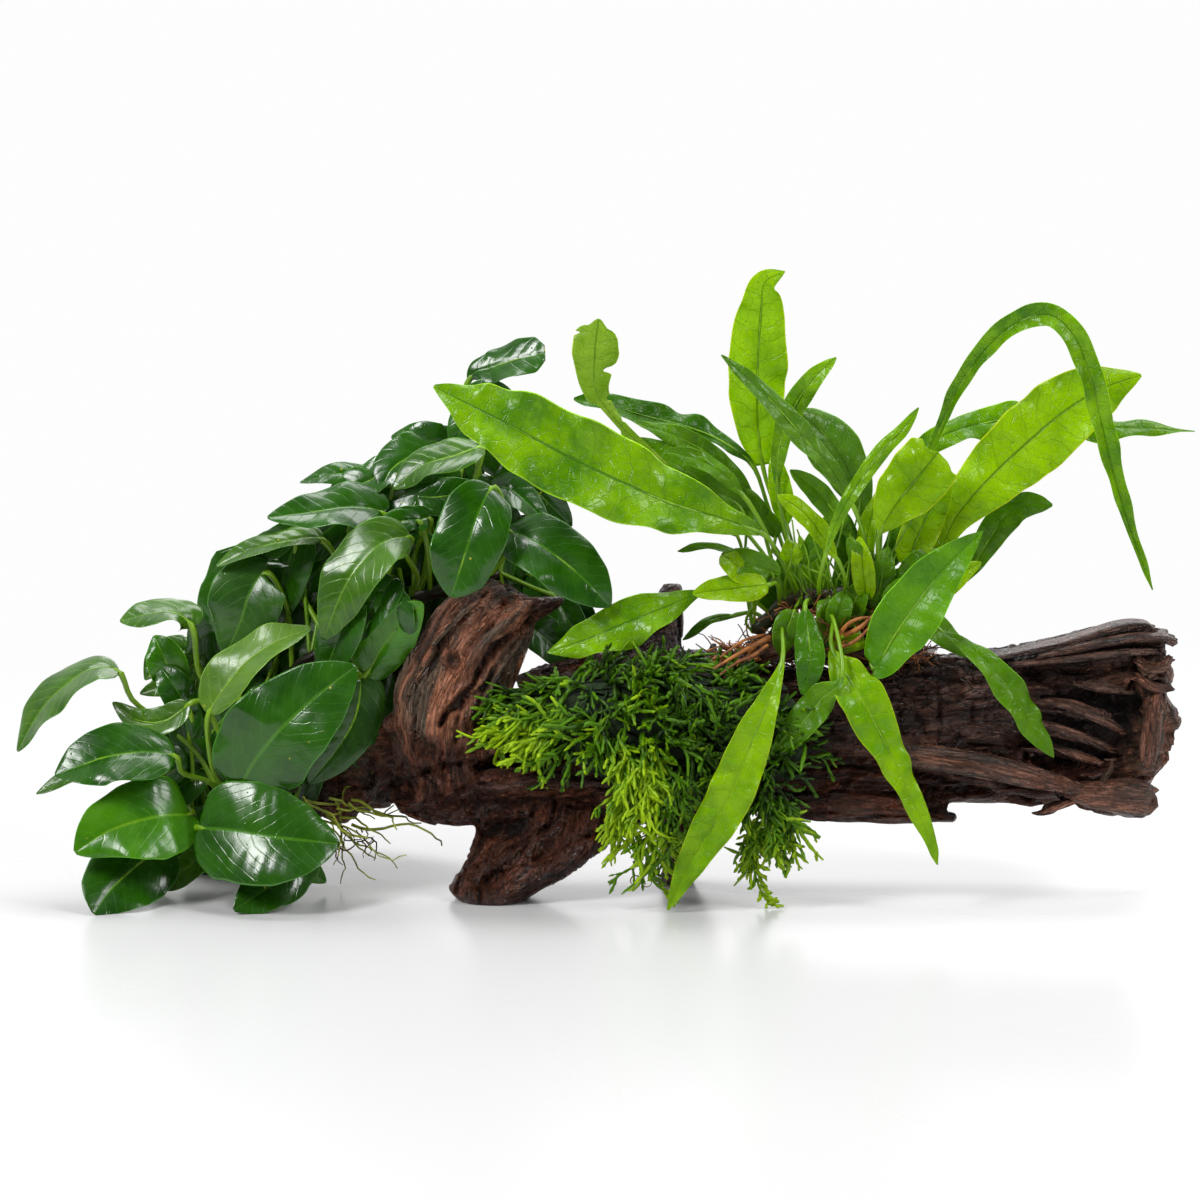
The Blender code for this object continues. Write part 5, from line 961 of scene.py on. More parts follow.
def wood_paint():
    """Wet wood: streaks along the grain, redder on the stump, near black where it is weathered; painted
    shade darkens its cracks, hollows and the wood at the back.
    """
    p = Paint("wet_wood")
    grain = p.vector("grain")
    black, stump_share, crack = p.number("black"), p.number("stump"), p.number("crack")

    def split(stretch, scale, width, seed):
        """1 in the middle of thin dark splits along the grain."""
        moved = p.add("ShaderNodeMapping", Vector=grain, Scale=(stretch, 1.0, 1.0),
                      Location=(seed, seed, 0.0))
        gap = p.math("ABSOLUTE", p.minus(p.noise(moved, scale, 3.0, 0.6), 0.5))
        return p.ramp(gap, 0.0, width, 1.0, 0.0)

    long_streaks = p.noise(p.stretched(grain, (0.12, 1.0, 1.0)), 2.2, 6.0, 0.65)
    fine_streaks = p.noise(p.stretched(grain, (0.07, 1.0, 1.0)), 13.0, 4.0, 0.65)
    patches = p.noise(grain, 0.5, 3.0)
    wide_split = p.times(split(0.12, 1.3, 0.018, 3.0), p.ramp(patches, 0.42, 0.55))
    thin_split = split(0.14, 3.6, 0.035, 11.0)
    hair_split = split(0.12, 8.0, 0.06, 29.0)
    cells = p.add("ShaderNodeTexVoronoi", settings={"feature": "DISTANCE_TO_EDGE"},
                  Vector=p.stretched(grain, (0.5, 1.0, 1.0)), Scale=2.1, Randomness=0.9)
    tile = p.times(p.ramp(cells, 0.0, 0.09, 1.0, 0.0), p.number("crackle"))
    base = p.mix(p.ramp(long_streaks, 0.35, 0.68), (0.028, 0.0075, 0.0032), (0.19, 0.052, 0.022))
    # Pale fine streaks lighten the wood along its grain: grain colour, and partly painted highlight; the
    # same on the weathered wood below.
    base = p.mix(p.times(p.ramp(fine_streaks, 0.48, 0.7), 0.5), base, (0.27, 0.105, 0.06))
    old = p.mix(p.ramp(long_streaks, 0.38, 0.66), (0.020, 0.010, 0.007), (0.19, 0.10, 0.074))
    old = p.mix(p.times(p.ramp(fine_streaks, 0.5, 0.72), 0.5), old, (0.46, 0.30, 0.25))
    colour = p.mix(p.times(black, p.ramp(patches, 0.2, 0.6, 0.55, 1.0)), base, old)
    bands = p.ramp(p.noise(p.stretched(grain, (0.10, 0.8, 0.8)), 1.6, 3.0), 0.42, 0.6)
    stump = p.mix(bands, (0.17, 0.13, 0.085), (0.62, 0.245, 0.13))
    stump = p.mix(p.times(p.ramp(fine_streaks, 0.42, 0.68), 0.7), stump, (0.17, 0.062, 0.038))
    colour = p.mix(p.times(stump_share, 0.85), colour, stump)
    # Splits, checks, cracks and hollows are painted near black: painted shade inside them.
    gaps = p.math("MAXIMUM", p.times(wide_split, 0.95), p.times(thin_split, 0.7))
    gaps = p.math("MAXIMUM", gaps, p.times(hair_split, 0.35))
    gaps = p.math("MAXIMUM", gaps, p.times(tile, 0.9))
    gaps = p.math("MAXIMUM", gaps, crack)
    colour = p.mix(p.times(gaps, 0.95), colour, (0.003, 0.0016, 0.0012))
    height = p.plus(p.times(fine_streaks, 0.35), p.times(long_streaks, 0.8))
    pits = p.noise(grain, 6.0, 5.0, 0.7)
    height = p.plus(height, p.times(pits, 0.3))
    height = p.minus(height, p.times(gaps, 1.3))
    normal = p.bump(height, 1.0, 0.0036)
    rough = p.ramp(p.noise(grain, 1.2, 4.0), 0.3, 0.7, 0.14, 0.42)
    return p.finish(p.skin(Base_Color=colour, Roughness=rough, Specular_IOR_Level=0.5, Normal=normal))


# Moss

def random_unit(rng, count):
    return unit(rng.normal(size=(count, 3)))


def surface_points(node, count, rng):
    """Points and outward directions spread evenly over a CAD node."""
    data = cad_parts[node].data
    data.calc_loop_triangles()
    corners = np.empty(len(data.loop_triangles) * 3, np.int32)
    data.loop_triangles.foreach_get("vertices", corners)
    triangles = read_vectors(data.vertices, "co")[corners.reshape(-1, 3)]
    cross = np.cross(triangles[:, 1] - triangles[:, 0], triangles[:, 2] - triangles[:, 0])
    area = np.linalg.norm(cross, axis=1)
    pick = rng.choice(len(area), count, p=area / area.sum())
    u, w = rng.random(count), rng.random(count)
    over = u + w > 1
    u[over], w[over] = 1 - u[over], 1 - w[over]
    first, second, third = triangles[pick].transpose(1, 0, 2)
    spots = first + u[:, None] * (second - first) + w[:, None] * (third - first)
    return spots, unit(cross[pick])


def fronds(roots, headings, faces_to, lengths, rng, droop=0.25, stations=11, twig=0.62, branches=4):
    """Worm-like shoots: lines and tips of their stems and side shoots, in metres."""
    stems, shoots, stem_tip, shoot_tip = [], [], [], []
    for root, heading, out, length in zip(roots, headings, faces_to, lengths):
        across = unit(np.cross(heading, out))
        bend = rng.normal(0, 0.55)
        t = np.linspace(0, 1, stations)[:, None]
        curl = 0.09 * np.sin(rng.uniform(5, 8) * t + rng.uniform(0, 6))
        stem = root + CM * length * (heading * t + across * (bend * t ** 2 * 0.8 + curl)
                                     + np.array((0, 0, -1.0)) * droop * t ** 2 + out * 0.12 * np.sin(3 * t))
        stems.append(stem)
        stem_tip.append(np.linspace(0.1, 1, stations))
        ways = unit(np.gradient(stem, axis=0))
        for branch in range(branches):
            i = 1 + int((branch + rng.random()) / branches * (stations - 2))
            hand = 1 if (branch + (rng.random() < 0.25)) % 2 else -1
            reach = CM * twig * rng.uniform(0.5, 1.2) * (1.1 - 0.6 * i / stations) * min(1.0, length / 1.2)
            lean = 0.7 * rng.uniform(0.6, 1.3)
            way = unit(ways[i] * math.cos(lean) + across * hand * math.sin(lean) + out * rng.normal(0, 0.3))
            q = np.linspace(0, 1, 6)[:, None]
            shoots.append(stem[i] + reach * (way * q + ways[i] * rng.uniform(0.2, 0.8) * q ** 2
                                             + out * 0.35 * rng.normal() * q ** 2))
            shoot_tip.append(np.linspace(0.35, 1, 6) * (0.45 + 0.55 * i / stations))
    return np.array(stems), np.array(shoots), np.array(stem_tip), np.array(shoot_tip)


def moss_light(x, v):
    """How young and bright the moss is at each place seen from the front: partly its growth, partly painted
    light and shade.
    """
    left = 0.8 * np.exp(-((x + 3.4) / 2.3) ** 2 - ((v - 7.2) / 1.1) ** 2)
    centre = 0.7 * np.exp(-((x - 1.7) / 1.7) ** 2 - ((v - 6.0) / 2.0) ** 2)
    return 0.12 + left + centre + 0.62 * np.clip((5.0 - v) / 1.6, 0, 1) + 0.4 * smooth_noise(
        np.stack([x * 0.7, v * 0.7, x * 0], -1))


# The edge of the long leaf that hangs in front of the moss: up, x, depth.
LEAF_IN_FRONT = ((0.2, 2.5, -0.2), (2.0, 3.4, -0.6), (3.7, 4.4, -0.9), (5.2, 5.2, -1.0), (7.0, 5.9, -0.95),
                 (8.7, 6.6, -0.7), (10.2, 7.1, 0.0))


def behind_the_leaf(points):
    """Holds the moss back behind the long leaf that hangs in front of it."""
    x, v, depth = from_front(points)
    ups, middles, depths = np.array(LEAF_IN_FRONT).T
    near = np.clip((1.7 - np.abs(x - np.interp(v, ups, middles))) / 0.5, 0, 1)
    push = np.maximum(np.interp(v, ups, depths) + 0.45 - depth, 0) * near
    points[:, 1] += push * CM
    return points


# The radius of a moss stem in centimetres, and how many sides its tube has.
MOSS_RADIUS = 0.082
MOSS_SIDES = 5


def moss_piece(name, nodes, batches, rng, look):
    """One moss object made of every frond of its batches."""
    points, faces, tips, shades, total = [], [], [], [], 0
    for roots, headings, outs, lengths, options in batches:
        light = options.pop("light", 0.0)
        stems, shoots, stem_tip, shoot_tip = fronds(roots, headings, outs, lengths, rng, **options)
        for lines, tip, width in ((stems, stem_tip, MOSS_RADIUS), (shoots, shoot_tip, MOSS_RADIUS * 0.9)):
            count = lines.shape[1]
            beads = (1 + 0.2 * np.cos(math.pi * np.arange(count))
                     + 0.12 * rng.normal(size=(len(lines), count)))
            taper = np.linspace(1.0, 0.8, count)
            taper[-1] = 0.42
            radii = CM * width * beads * taper * rng.uniform(0.75, 1.2, (len(lines), 1))
            tube_points, tube_faces = tubes(lines, radii, MOSS_SIDES)
            tube_points = behind_the_leaf(tube_points)
            tube_points[:, 2] = np.maximum(tube_points[:, 2], TUBE_CLEARANCE)
            points.append(tube_points)
            faces.append(tube_faces + total)
            total += len(tube_points)
            tips.append(np.repeat(tip.ravel(), MOSS_SIDES))
            x, v, _ = from_front(lines[:, 0])
            shade = np.clip(light + moss_light(x, v) + rng.normal(0, 0.2, len(lines)), 0, 1)
            shades.append(np.repeat(shade, count * MOSS_SIDES))
    made = mesh_object(name, np.concatenate(points), np.concatenate(faces), look)
    add_numbers(made, "tip", np.concatenate(tips))
    add_numbers(made, "shade", np.concatenate(shades))
    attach(made, "root")
    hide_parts(*nodes)


def moss_paint():
    p = Paint("java_moss_fronds")
    spot = p.add("ShaderNodeNewGeometry")
    mottle = p.noise(spot, 260.0, 3.0)
    tip, shade = p.number("tip"), p.number("shade")
    # The moss is lighter towards its young tips, and lighter or darker by the painted light and shade of its
    # place.
    young = p.math("MULTIPLY_ADD", tip, 0.42, p.math("MULTIPLY_ADD", shade, 0.85, -0.17), clamp=True)
    colour = p.mix(p.ramp(young, 0.0, 0.5), (0.006, 0.027, 0.0004), (0.105, 0.28, 0.001))
    colour = p.mix(p.ramp(young, 0.5, 1.0), colour, (0.46, 0.70, 0.006))
    colour = p.mix(p.times(p.ramp(mottle, 0.45, 0.7), 0.35), colour, (0.06, 0.16, 0.001))
    height = p.noise(spot, 900.0, 2.0)
    normal = p.bump(height, 0.5, 0.0004)
    skin = p.skin(Base_Color=colour, Roughness=0.38, Specular_IOR_Level=0.32, Normal=normal)
    through = p.add("ShaderNodeBsdfTranslucent", Color=colour)
    return p.finish(p.layered(0.25, skin, through))


def shrunk(name, node, inset, look):
    """A dark core inside the moss or the roots, following its CAD node; inside the moss it is painted shade.
    """
    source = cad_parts[node].data
    points = read_vectors(source.vertices, "co") - read_vectors(source.vertices, "normal") * inset * CM
    faces = [tuple(polygon.vertices) for polygon in source.polygons]
    made = loose_object(name, list(map(tuple, points)), faces, look)
    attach(made, "root")
    return made


# Where the tufts that reach out to the left start, and the drips under them: x, depth, up.
LEFT_TUFTS = (
    (-4.0, 0.9, 7.5), (-3.5, 0.8, 7.3), (-3.1, 0.75, 7.6), (-2.8, 0.7, 7.2), (-2.3, 0.6, 7.5),
    (-2.0, 0.55, 7.1), (-2.4, 0.6, 8.0), (-1.5, 0.5, 7.3), (-1.0, 0.4, 7.5), (-1.7, 0.4, 7.8),
    (-0.3, 0.3, 7.2), (-3.0, 0.7, 8.1), (-0.7, 0.2, 8.0), (0.1, 0.2, 7.6),
)
DRIPS = ((-2.6, 0.55, 6.7), (-2.3, 0.55, 6.6), (-1.5, 0.4, 6.6), (-1.3, 0.4, 6.5), (-2.9, 0.6, 6.9))
# Long hanging strands and shoots to the right: the start (x, depth, up), the way it goes, the length.
LONG_STRANDS = (
    ((0.3, 0.3, 4.6), (0.0, 0.0, -1.0), 2.9), ((1.7, 0.2, 3.2), (0.07, 0.0, -1.0), 2.9),
    ((1.0, 0.1, 4.3), (0.05, 0.0, -1.0), 2.2), ((2.4, 0.0, 3.9), (0.15, 0.0, -1.0), 2.0),
)
SIDE_SHOOTS = (
    ((7.2, 0.2, 5.6), (1, 0, 0.05), 1.3), ((7.9, 0.5, 6.6), (1, 0, -0.45), 1.6),
    ((6.9, 0.2, 4.9), (1, 0, -0.3), 1.1), ((6.8, 0.2, 4.4), (1, 0, -0.5), 1.2),
    ((7.0, 0.3, 5.2), (1, 0, -0.1), 1.0), ((8.2, 0.6, 6.7), (1, -0.1, -0.3), 1.3),
)
# The one strand that hangs down to the floor at the right: x, depth, up.
STRAND = (
    (6.4, 0.4, 5.0), (6.05, 0.4, 3.6), (5.9, 0.45, 2.4), (6.1, 0.5, 1.3), (6.55, 0.5, 0.5),
    (7.15, 0.45, 0.36),
)
# Old brown curls low on the left: x, up, radius.
CURLS = (
    (1.3, 1.75, 0.3), (1.7, 1.35, 0.34), (2.2, 1.55, 0.3), (2.5, 1.95, 0.26), (1.9, 2.0, 0.3),
    (1.2, 1.35, 0.24), (2.6, 1.3, 0.22),
)


def moss_mat(rng, look):
    """The carpet over the middle of the wood, its tufts and its drips."""
    spots, outs = surface_points("java_moss_mat", 2600, rng)
    x, v, _ = from_front(spots)
    keep = (outs[:, 1] < 0.45) & (outs[:, 2] > -0.75)
    spots, outs, x, v = (rows[keep][:500] for rows in (spots, outs, x, v))
    left = np.clip((1.0 - x) / 3.0, 0, 1)[:, None]
    down = np.clip((9.0 - v) / 4.0, 0.1, 1)[:, None]
    swirl = np.stack([smooth_noise(np.stack([x * 0.8, v * 0.8, x * 0 + 3], -1)), np.zeros(len(x)),
                      smooth_noise(np.stack([x * 0.8, v * 0.8, x * 0 + 9], -1))], -1)
    headings = unit(np.array((-1.0, -0.1, -0.35)) * left + np.array((0.1, -0.3, -1.0)) * down
                    + 1.1 * swirl + 0.45 * random_unit(rng, len(x)) + outs * 0.25)
    mat = (spots - outs * 0.5 * CM, headings, outs, rng.uniform(0.9, 1.8, len(x)),
           dict(droop=0.15, light=0.05))
    tufts = np.array([seen(*place) for place in LEFT_TUFTS])
    hand = unit(np.array((-1.0, -0.15, -0.25)) + 0.35 * random_unit(rng, len(tufts)))
    left_tufts = (tufts, hand, same((0.0, -1.0, 0.15), len(tufts)), rng.uniform(1.3, 1.9, len(tufts)),
                  dict(droop=0.1, light=0.25, branches=6))
    drips = np.array([seen(*place) for place in DRIPS])
    dripping = (drips, same((0.0, 0.0, -1.0), len(drips)) + 0.2 * random_unit(rng, len(drips)),
                same(FRONT, len(drips)), rng.uniform(0.9, 1.4, len(drips)), dict(light=0.2, twig=0.4))
    moss_piece("java_moss_mat_fronds", ["java_moss_mat"], [mat, left_tufts, dripping], rng, look)


def moss_beard_left(rng, look):
    """The moss that hangs at the left, thinner towards the floor, with a few long strands."""
    spots, outs = surface_points("java_moss_beard_left", 1500, rng)
    keep = outs[:, 1] < 0.3
    spots, outs = spots[keep], outs[keep]
    _, v, _ = from_front(spots)
    thin_out = rng.random(len(spots)) < np.clip((v - 1.5) / 3.5, 0.05, 1) * 0.15
    spots, outs = spots[thin_out], outs[thin_out]
    headings = unit(np.array((0.0, -0.15, -1.0)) + 0.42 * random_unit(rng, len(spots)))
    lengths = np.minimum(rng.uniform(0.9, 2.0, len(spots)), spots[:, 2] / CM * 0.9 + 0.15)
    beard = (spots - outs * 0.2 * CM, headings, same(FRONT, len(spots)), lengths,
             dict(droop=0.1, light=0.05))
    starts, ways, lengths = zip(*LONG_STRANDS)
    long_ones = (np.array([seen(*place) for place in starts]), np.array(ways),
                 same(FRONT, len(starts)), lengths,
                 dict(droop=0.0, light=0.2, twig=0.45, stations=15, branches=10))
    moss_piece("java_moss_beard_left_fronds", ["java_moss_beard_left"], [beard, long_ones], rng, look)


def moss_beard_right(rng, look):
    """The moss that hangs at the right, and the one strand that reaches the floor."""
    spots, outs = surface_points("java_moss_beard_right", 900, rng)
    _, v, _ = from_front(spots)
    keep = (outs[:, 1] < 0.5) & (v > 2.6)
    spots, outs = spots[keep][:70], outs[keep][:70]
    headings = unit(np.array((0.12, -0.15, -1.0)) + 0.5 * random_unit(rng, len(spots)))
    beard = (spots - outs * 0.15 * CM, headings, same(FRONT, len(spots)),
             rng.uniform(0.8, 1.5, len(spots)), dict(droop=0.1, light=0.15))
    drop = spine([seen(*place) for place in STRAND], np.linspace(0, len(STRAND) - 1, 20))
    hand = unit(np.gradient(drop, axis=0))
    sprigs = (drop[4:17], unit(hand[4:17] + np.array((0.9, -0.2, 0.25))), same(FRONT, 13),
              np.linspace(1.1, 0.35, 13), dict(droop=0.05, light=0.2, twig=0.2, stations=6, branches=2))
    mirror = (drop[5:17:2], unit(hand[5:17:2] + np.array((-0.9, -0.2, 0.1))), same(FRONT, 6),
              np.linspace(0.8, 0.3, 6), dict(droop=0.05, light=0.2, twig=0.2, stations=6, branches=1))
    tail = (drop[:1], hand[:1], same(FRONT, 1), [0.5], dict(light=0.2, stations=5))
    starts, ways, lengths = zip(*SIDE_SHOOTS)
    reach = (np.array([seen(*place) for place in starts]), unit(ways),
             same((0.0, -1.0, 0.1), len(starts)), lengths, dict(droop=0.1, light=0.2, twig=0.4))
    moss_piece("java_moss_beard_right_fronds", ["java_moss_beard_right"],
               [beard, sprigs, mirror, tail, reach], rng, look)
    main, main_faces = tubes(drop[None], np.full((1, 20), 0.055 * CM), 6)
    strand = mesh_object("java_moss_strand", main, main_faces, look)
    for name in ("tip", "shade"):
        add_numbers(strand, name, np.full(len(main), 0.8))
    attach(strand, "root")


def moss():
    rng = np.random.default_rng(7)
    look = moss_paint()
    moss_mat(rng, look)
    moss_beard_left(rng, look)
    moss_beard_right(rng, look)
    curls = []
    for x, v, size in CURLS:
        turn = np.linspace(0, 5.2, 16) + rng.uniform(0, 6)
        reach = size * np.linspace(1.0, 0.45, 16)
        curls.append([seen(x + r * math.cos(t), 0.3 + 0.1 * math.sin(2 * t), v + r * math.sin(t))
                      for t, r in zip(turn, reach)])
    root_piece("brown_moss_curls", np.array(curls), np.full(len(CURLS), 0.035),
               root_paint("old_moss", (0.16, 0.12, 0.02), (0.42, 0.32, 0.08)))
    # A near-black core under the fronds: painted shade in the depth of the mat.
    shrunk("java_moss_mat_shade_core", "java_moss_mat", 0.5, moss_shade_core_paint())


def moss_shade_core_paint():
    # Near-black green: painted shade in the depth of the moss.
    p = Paint("moss_shade_core")
    spot = p.add("ShaderNodeNewGeometry")
    mottle = p.noise(spot, 300.0, 4.0)
    colour = p.mix(p.ramp(mottle, 0.35, 0.65), (0.004, 0.008, 0.002), (0.012, 0.035, 0.005))
    normal = p.bump(mottle, 1.0, 0.002)
    return p.finish(p.skin(Base_Color=colour, Roughness=0.8, Normal=normal))


# Leaves

# How wide a blade is along its rib, as a share of its full width.
OUTLINES = {
    "oval": (
        (0.0, 0.1), (0.06, 0.52), (0.18, 0.86), (0.36, 1.0), (0.58, 0.9), (0.78, 0.62), (0.92, 0.27),
        (1.0, 0.03),
    ),
    "strap": (
        (0.0, 0.08), (0.12, 0.34), (0.3, 0.8), (0.5, 1.0), (0.68, 0.92), (0.84, 0.62), (0.95, 0.26),
        (1.0, 0.04),
    ),
    "ribbon": (
        (0.0, 0.12), (0.15, 0.6), (0.35, 0.95), (0.6, 1.0), (0.8, 0.8), (0.93, 0.45), (1.0, 0.08),
    ),
    "spear": (
        (0.0, 0.3), (0.1, 0.66), (0.28, 0.97), (0.42, 1.0), (0.62, 0.84), (0.8, 0.52), (0.93, 0.24),
        (1.0, 0.02),
    ),
    "blunt": ((0.0, 0.1), (0.12, 0.5), (0.4, 0.85), (0.7, 1.0), (0.9, 0.85), (1.0, 0.35)),
    "flag": ((0.0, 0.1), (0.45, 0.3), (0.6, 0.55), (0.8, 1.0), (0.95, 0.95), (1.0, 0.75)),
    "tail": (
        (0.0, 0.12), (0.08, 0.6), (0.2, 1.0), (0.3, 0.93), (0.4, 0.74), (0.58, 0.5), (0.75, 0.34),
        (0.93, 0.2), (1.0, 0.02),
    ),
    "cut": ((0.0, 0.1), (0.15, 0.45), (0.4, 0.9), (0.7, 1.0), (0.92, 0.95), (1.0, 0.6)),
}
# Where the points of a blade lie across it, from edge to edge.
COLUMNS = np.array((-1, -0.95, -0.82, -0.64, -0.46, -0.28, -0.1, 0, 0.1, 0.28, 0.46, 0.64, 0.82, 0.95, 1))
# For each kind, in centimetres: rows of points, stalk radius, blade thickness, gap between the veins
# and how far back they lean, heights of the quilting, the blisters and the ripple, length of a
# ripple, depth of the middle groove, and how close together the blisters are.
KINDS = {
    "anubias": dict(rows=56, stalk=0.115, thick=0.035, vein=0.62, slant=1.0, quilt=0.013, blister=0.07,
                    ripple=0.16, wave=3.1, groove=0.06, grain=0.55),
    "fern": dict(rows=96, stalk=0.085, thick=0.025, vein=0.8, slant=0.45, quilt=0.024, blister=0.11,
                 ripple=0.36, wave=2.3, groove=0.04, grain=0.85),
}
KINDS["anubias_small"] = dict(KINDS["anubias"], rows=22, stalk=0.09)
KINDS["fern_small"] = dict(KINDS["fern"], rows=32, stalk=0.06)
# How much of a blade its raised rib runs along, and the stations and sides of the stalk and rib.
RIB_SHARE = 0.72
STALK_STATIONS = 26
STALK_SIDES = 7


def smooth_outline(name, places):
    """The outline's widths at the places, with the corners between its stations rounded off."""
    table = np.array(OUTLINES[name])
    fine = np.linspace(0, 1, 201)
    raw = np.interp(fine, table[:, 0], table[:, 1])
    kernel = np.hanning(17)
    padded = np.concatenate([2 * raw[0] - raw[8:0:-1], raw, 2 * raw[-1] - raw[-2:-10:-1]])
    soft = np.convolve(padded, kernel / kernel.sum(), "valid")
    return np.interp(places, fine, np.maximum(soft, 0.015))


def leaf_shape(stem, rib, width, face, face_tip, fold, outline, kind, seed):
    """Points, faces, uv, place and slots of one leaf: a thin closed blade, its stalk and its rib."""
    k = KINDS[kind]
    bones = [seen(*point) for point in stem + rib]
    start = len(stem)
    share = np.linspace(0, 1, k["rows"]) ** 0.93
    line = spine(bones, start + (len(rib) - 1) * share)
    ways = unit(np.gradient(line, axis=0))
    tip = np.array(face_tip or face, float)
    toward = np.array(face, float) * (1 - share[:, None]) + tip * share[:, None]
    side = unit(np.cross(ways, toward))
    upper = np.cross(side, ways)
    twist = 0.14 * smooth_noise(np.stack([share * 3.1, share * 0 + seed * 1.7, share * 0], -1))
    side, upper = (side * np.cos(twist)[:, None] + upper * np.sin(twist)[:, None],
                   upper * np.cos(twist)[:, None] - side * np.sin(twist)[:, None])
    arc = arc_length(line)
    length = arc[-1]
    half = width / 2 * smooth_outline(outline, share) ** (0.78 if outline == "oval" else 1.0)
    columns = np.tile(COLUMNS, (len(share), 1))
    arcs = np.tile(arc[:, None], (1, len(COLUMNS)))
    hand = np.sign(columns)
    edge_key = np.stack([arcs * 0.9, hand * 3.0 + seed, arcs * 0], -1)
    halves = half[:, None] * (1 + 0.06 * smooth_noise(edge_key))
    if outline == "flag":
        nibbled = np.clip(smooth_noise(edge_key * 4.0) * 2.0 - 0.3, 0, 1) * (share[:, None] > 0.25)
        halves = halves * (1 - 0.5 * nibbled)
    across = halves * columns
    reach = np.abs(columns)
    swell = np.clip(half / (width / 2), 0, 1)[:, None]
    phase = arcs / k["vein"] - (reach * halves) ** 1.4 * k["slant"] / k["vein"] + hand * 0.25
    quilt = k["quilt"] * np.cos(2 * math.pi * phase) * np.clip(reach * 4, 0, 1) * (1 - reach ** 4)
    key = np.stack([arcs * k["grain"], across * k["grain"] * 1.2, arcs * 0 + seed * 5.1], -1)
    dents = k["blister"] * fractal(key, 2)
    waves = np.sin(2 * math.pi * arcs / k["wave"] + hand * 1.9 + seed + 2.5 * smooth_noise(edge_key * 0.5))
    ripple = k["ripple"] * np.minimum(halves, 0.9) * reach ** 2.5 * (
        0.7 * waves + 0.9 * smooth_noise(edge_key * 0.7 + 3.3))
    roll = -0.10 * halves * np.clip(reach - 0.55, 0, 1) ** 2 * 4
    lift = (fold * halves * reach ** 1.4 + (quilt + dents) * swell + ripple + roll
            - k["groove"] * np.exp(-(columns / 0.07) ** 2) * swell)
    if outline in ("flag", "cut"):
        torn = 0.35 + 0.65 * smooth_noise(np.stack([across * 2.2, across * 0 + seed, across * 0], -1))
        line_back = -CM * np.clip(torn, 0, 1) * (share[:, None] ** 8) * 0.9
    else:
        line_back = np.zeros_like(across)
    top = line[:, None] + ways[:, None] * line_back[..., None]
    top = top + CM * (side[:, None] * across[..., None] + upper[:, None] * lift[..., None])
    depth = k["thick"] * (1 - 0.5 * share[:, None]) * (1 - 0.75 * reach ** 2)
    bottom = top - CM * upper[:, None] * depth[..., None]
    rows, wide = columns.shape
    points = np.concatenate([top.reshape(-1, 3), bottom.reshape(-1, 3)])
    order = np.arange(rows * wide).reshape(rows, wide)
    under = order + rows * wide
    quads = [np.stack([order[:-1, :-1], order[:-1, 1:], order[1:, 1:], order[1:, :-1]], -1).reshape(-1, 4),
             np.stack([under[:-1, :-1], under[1:, :-1], under[1:, 1:], under[:-1, 1:]], -1).reshape(-1, 4)]
    rim = np.concatenate([order[:, 0], order[-1, 1:], order[-2::-1, -1], order[0, -2:0:-1]])
    ahead = np.roll(rim, -1)
    quads.append(np.stack([rim, ahead, ahead + rows * wide, rim + rows * wide], -1))
    faces = np.concatenate(quads)
    uv = np.stack([np.tile(share[:, None], (1, wide)), (columns + 1) / 2], -1).reshape(-1, 2)
    place = np.stack([arcs, across, arcs * 0 + seed], -1).reshape(-1, 3)
    uv, place = np.concatenate([uv, uv]), np.concatenate([place, place])
    slots = np.zeros(len(faces), int)

    rib_end = (len(rib) - 1) * RIB_SHARE
    places = np.linspace(0, start + rib_end, STALK_STATIONS)
    bone = spine(bones, places)
    along = np.clip((places - start) / rib_end, 0, 1)
    joint = 1 + 0.25 * np.exp(-((places - start) / 0.35) ** 2)
    radius = CM * k["stalk"] * joint * np.where(places < start, 1.0, 1.0 - 0.8 * along ** 0.7)
    below = np.stack([np.interp(along, share, upper[:, axis]) for axis in range(3)], -1)
    bone = bone - below * (radius * 0.85 + CM * k["groove"])[:, None] * np.clip(along * 8, 0, 1)[:, None]
    rod, rod_faces = tubes(bone[None], radius[None], STALK_SIDES)
    faces = np.concatenate([faces, rod_faces + len(points)])
    slots = np.concatenate([slots, np.ones(len(rod_faces), int)])
    points = np.concatenate([points, rod])
    rod_share = np.repeat(along, STALK_SIDES)
    uv = np.concatenate([uv, np.stack([rod_share, rod_share * 0 + 0.5], -1)])
    place = np.concatenate([place, np.stack([rod_share * length, rod_share * 0, rod_share * 0 + seed], -1)])
    return points, faces, uv, place, slots


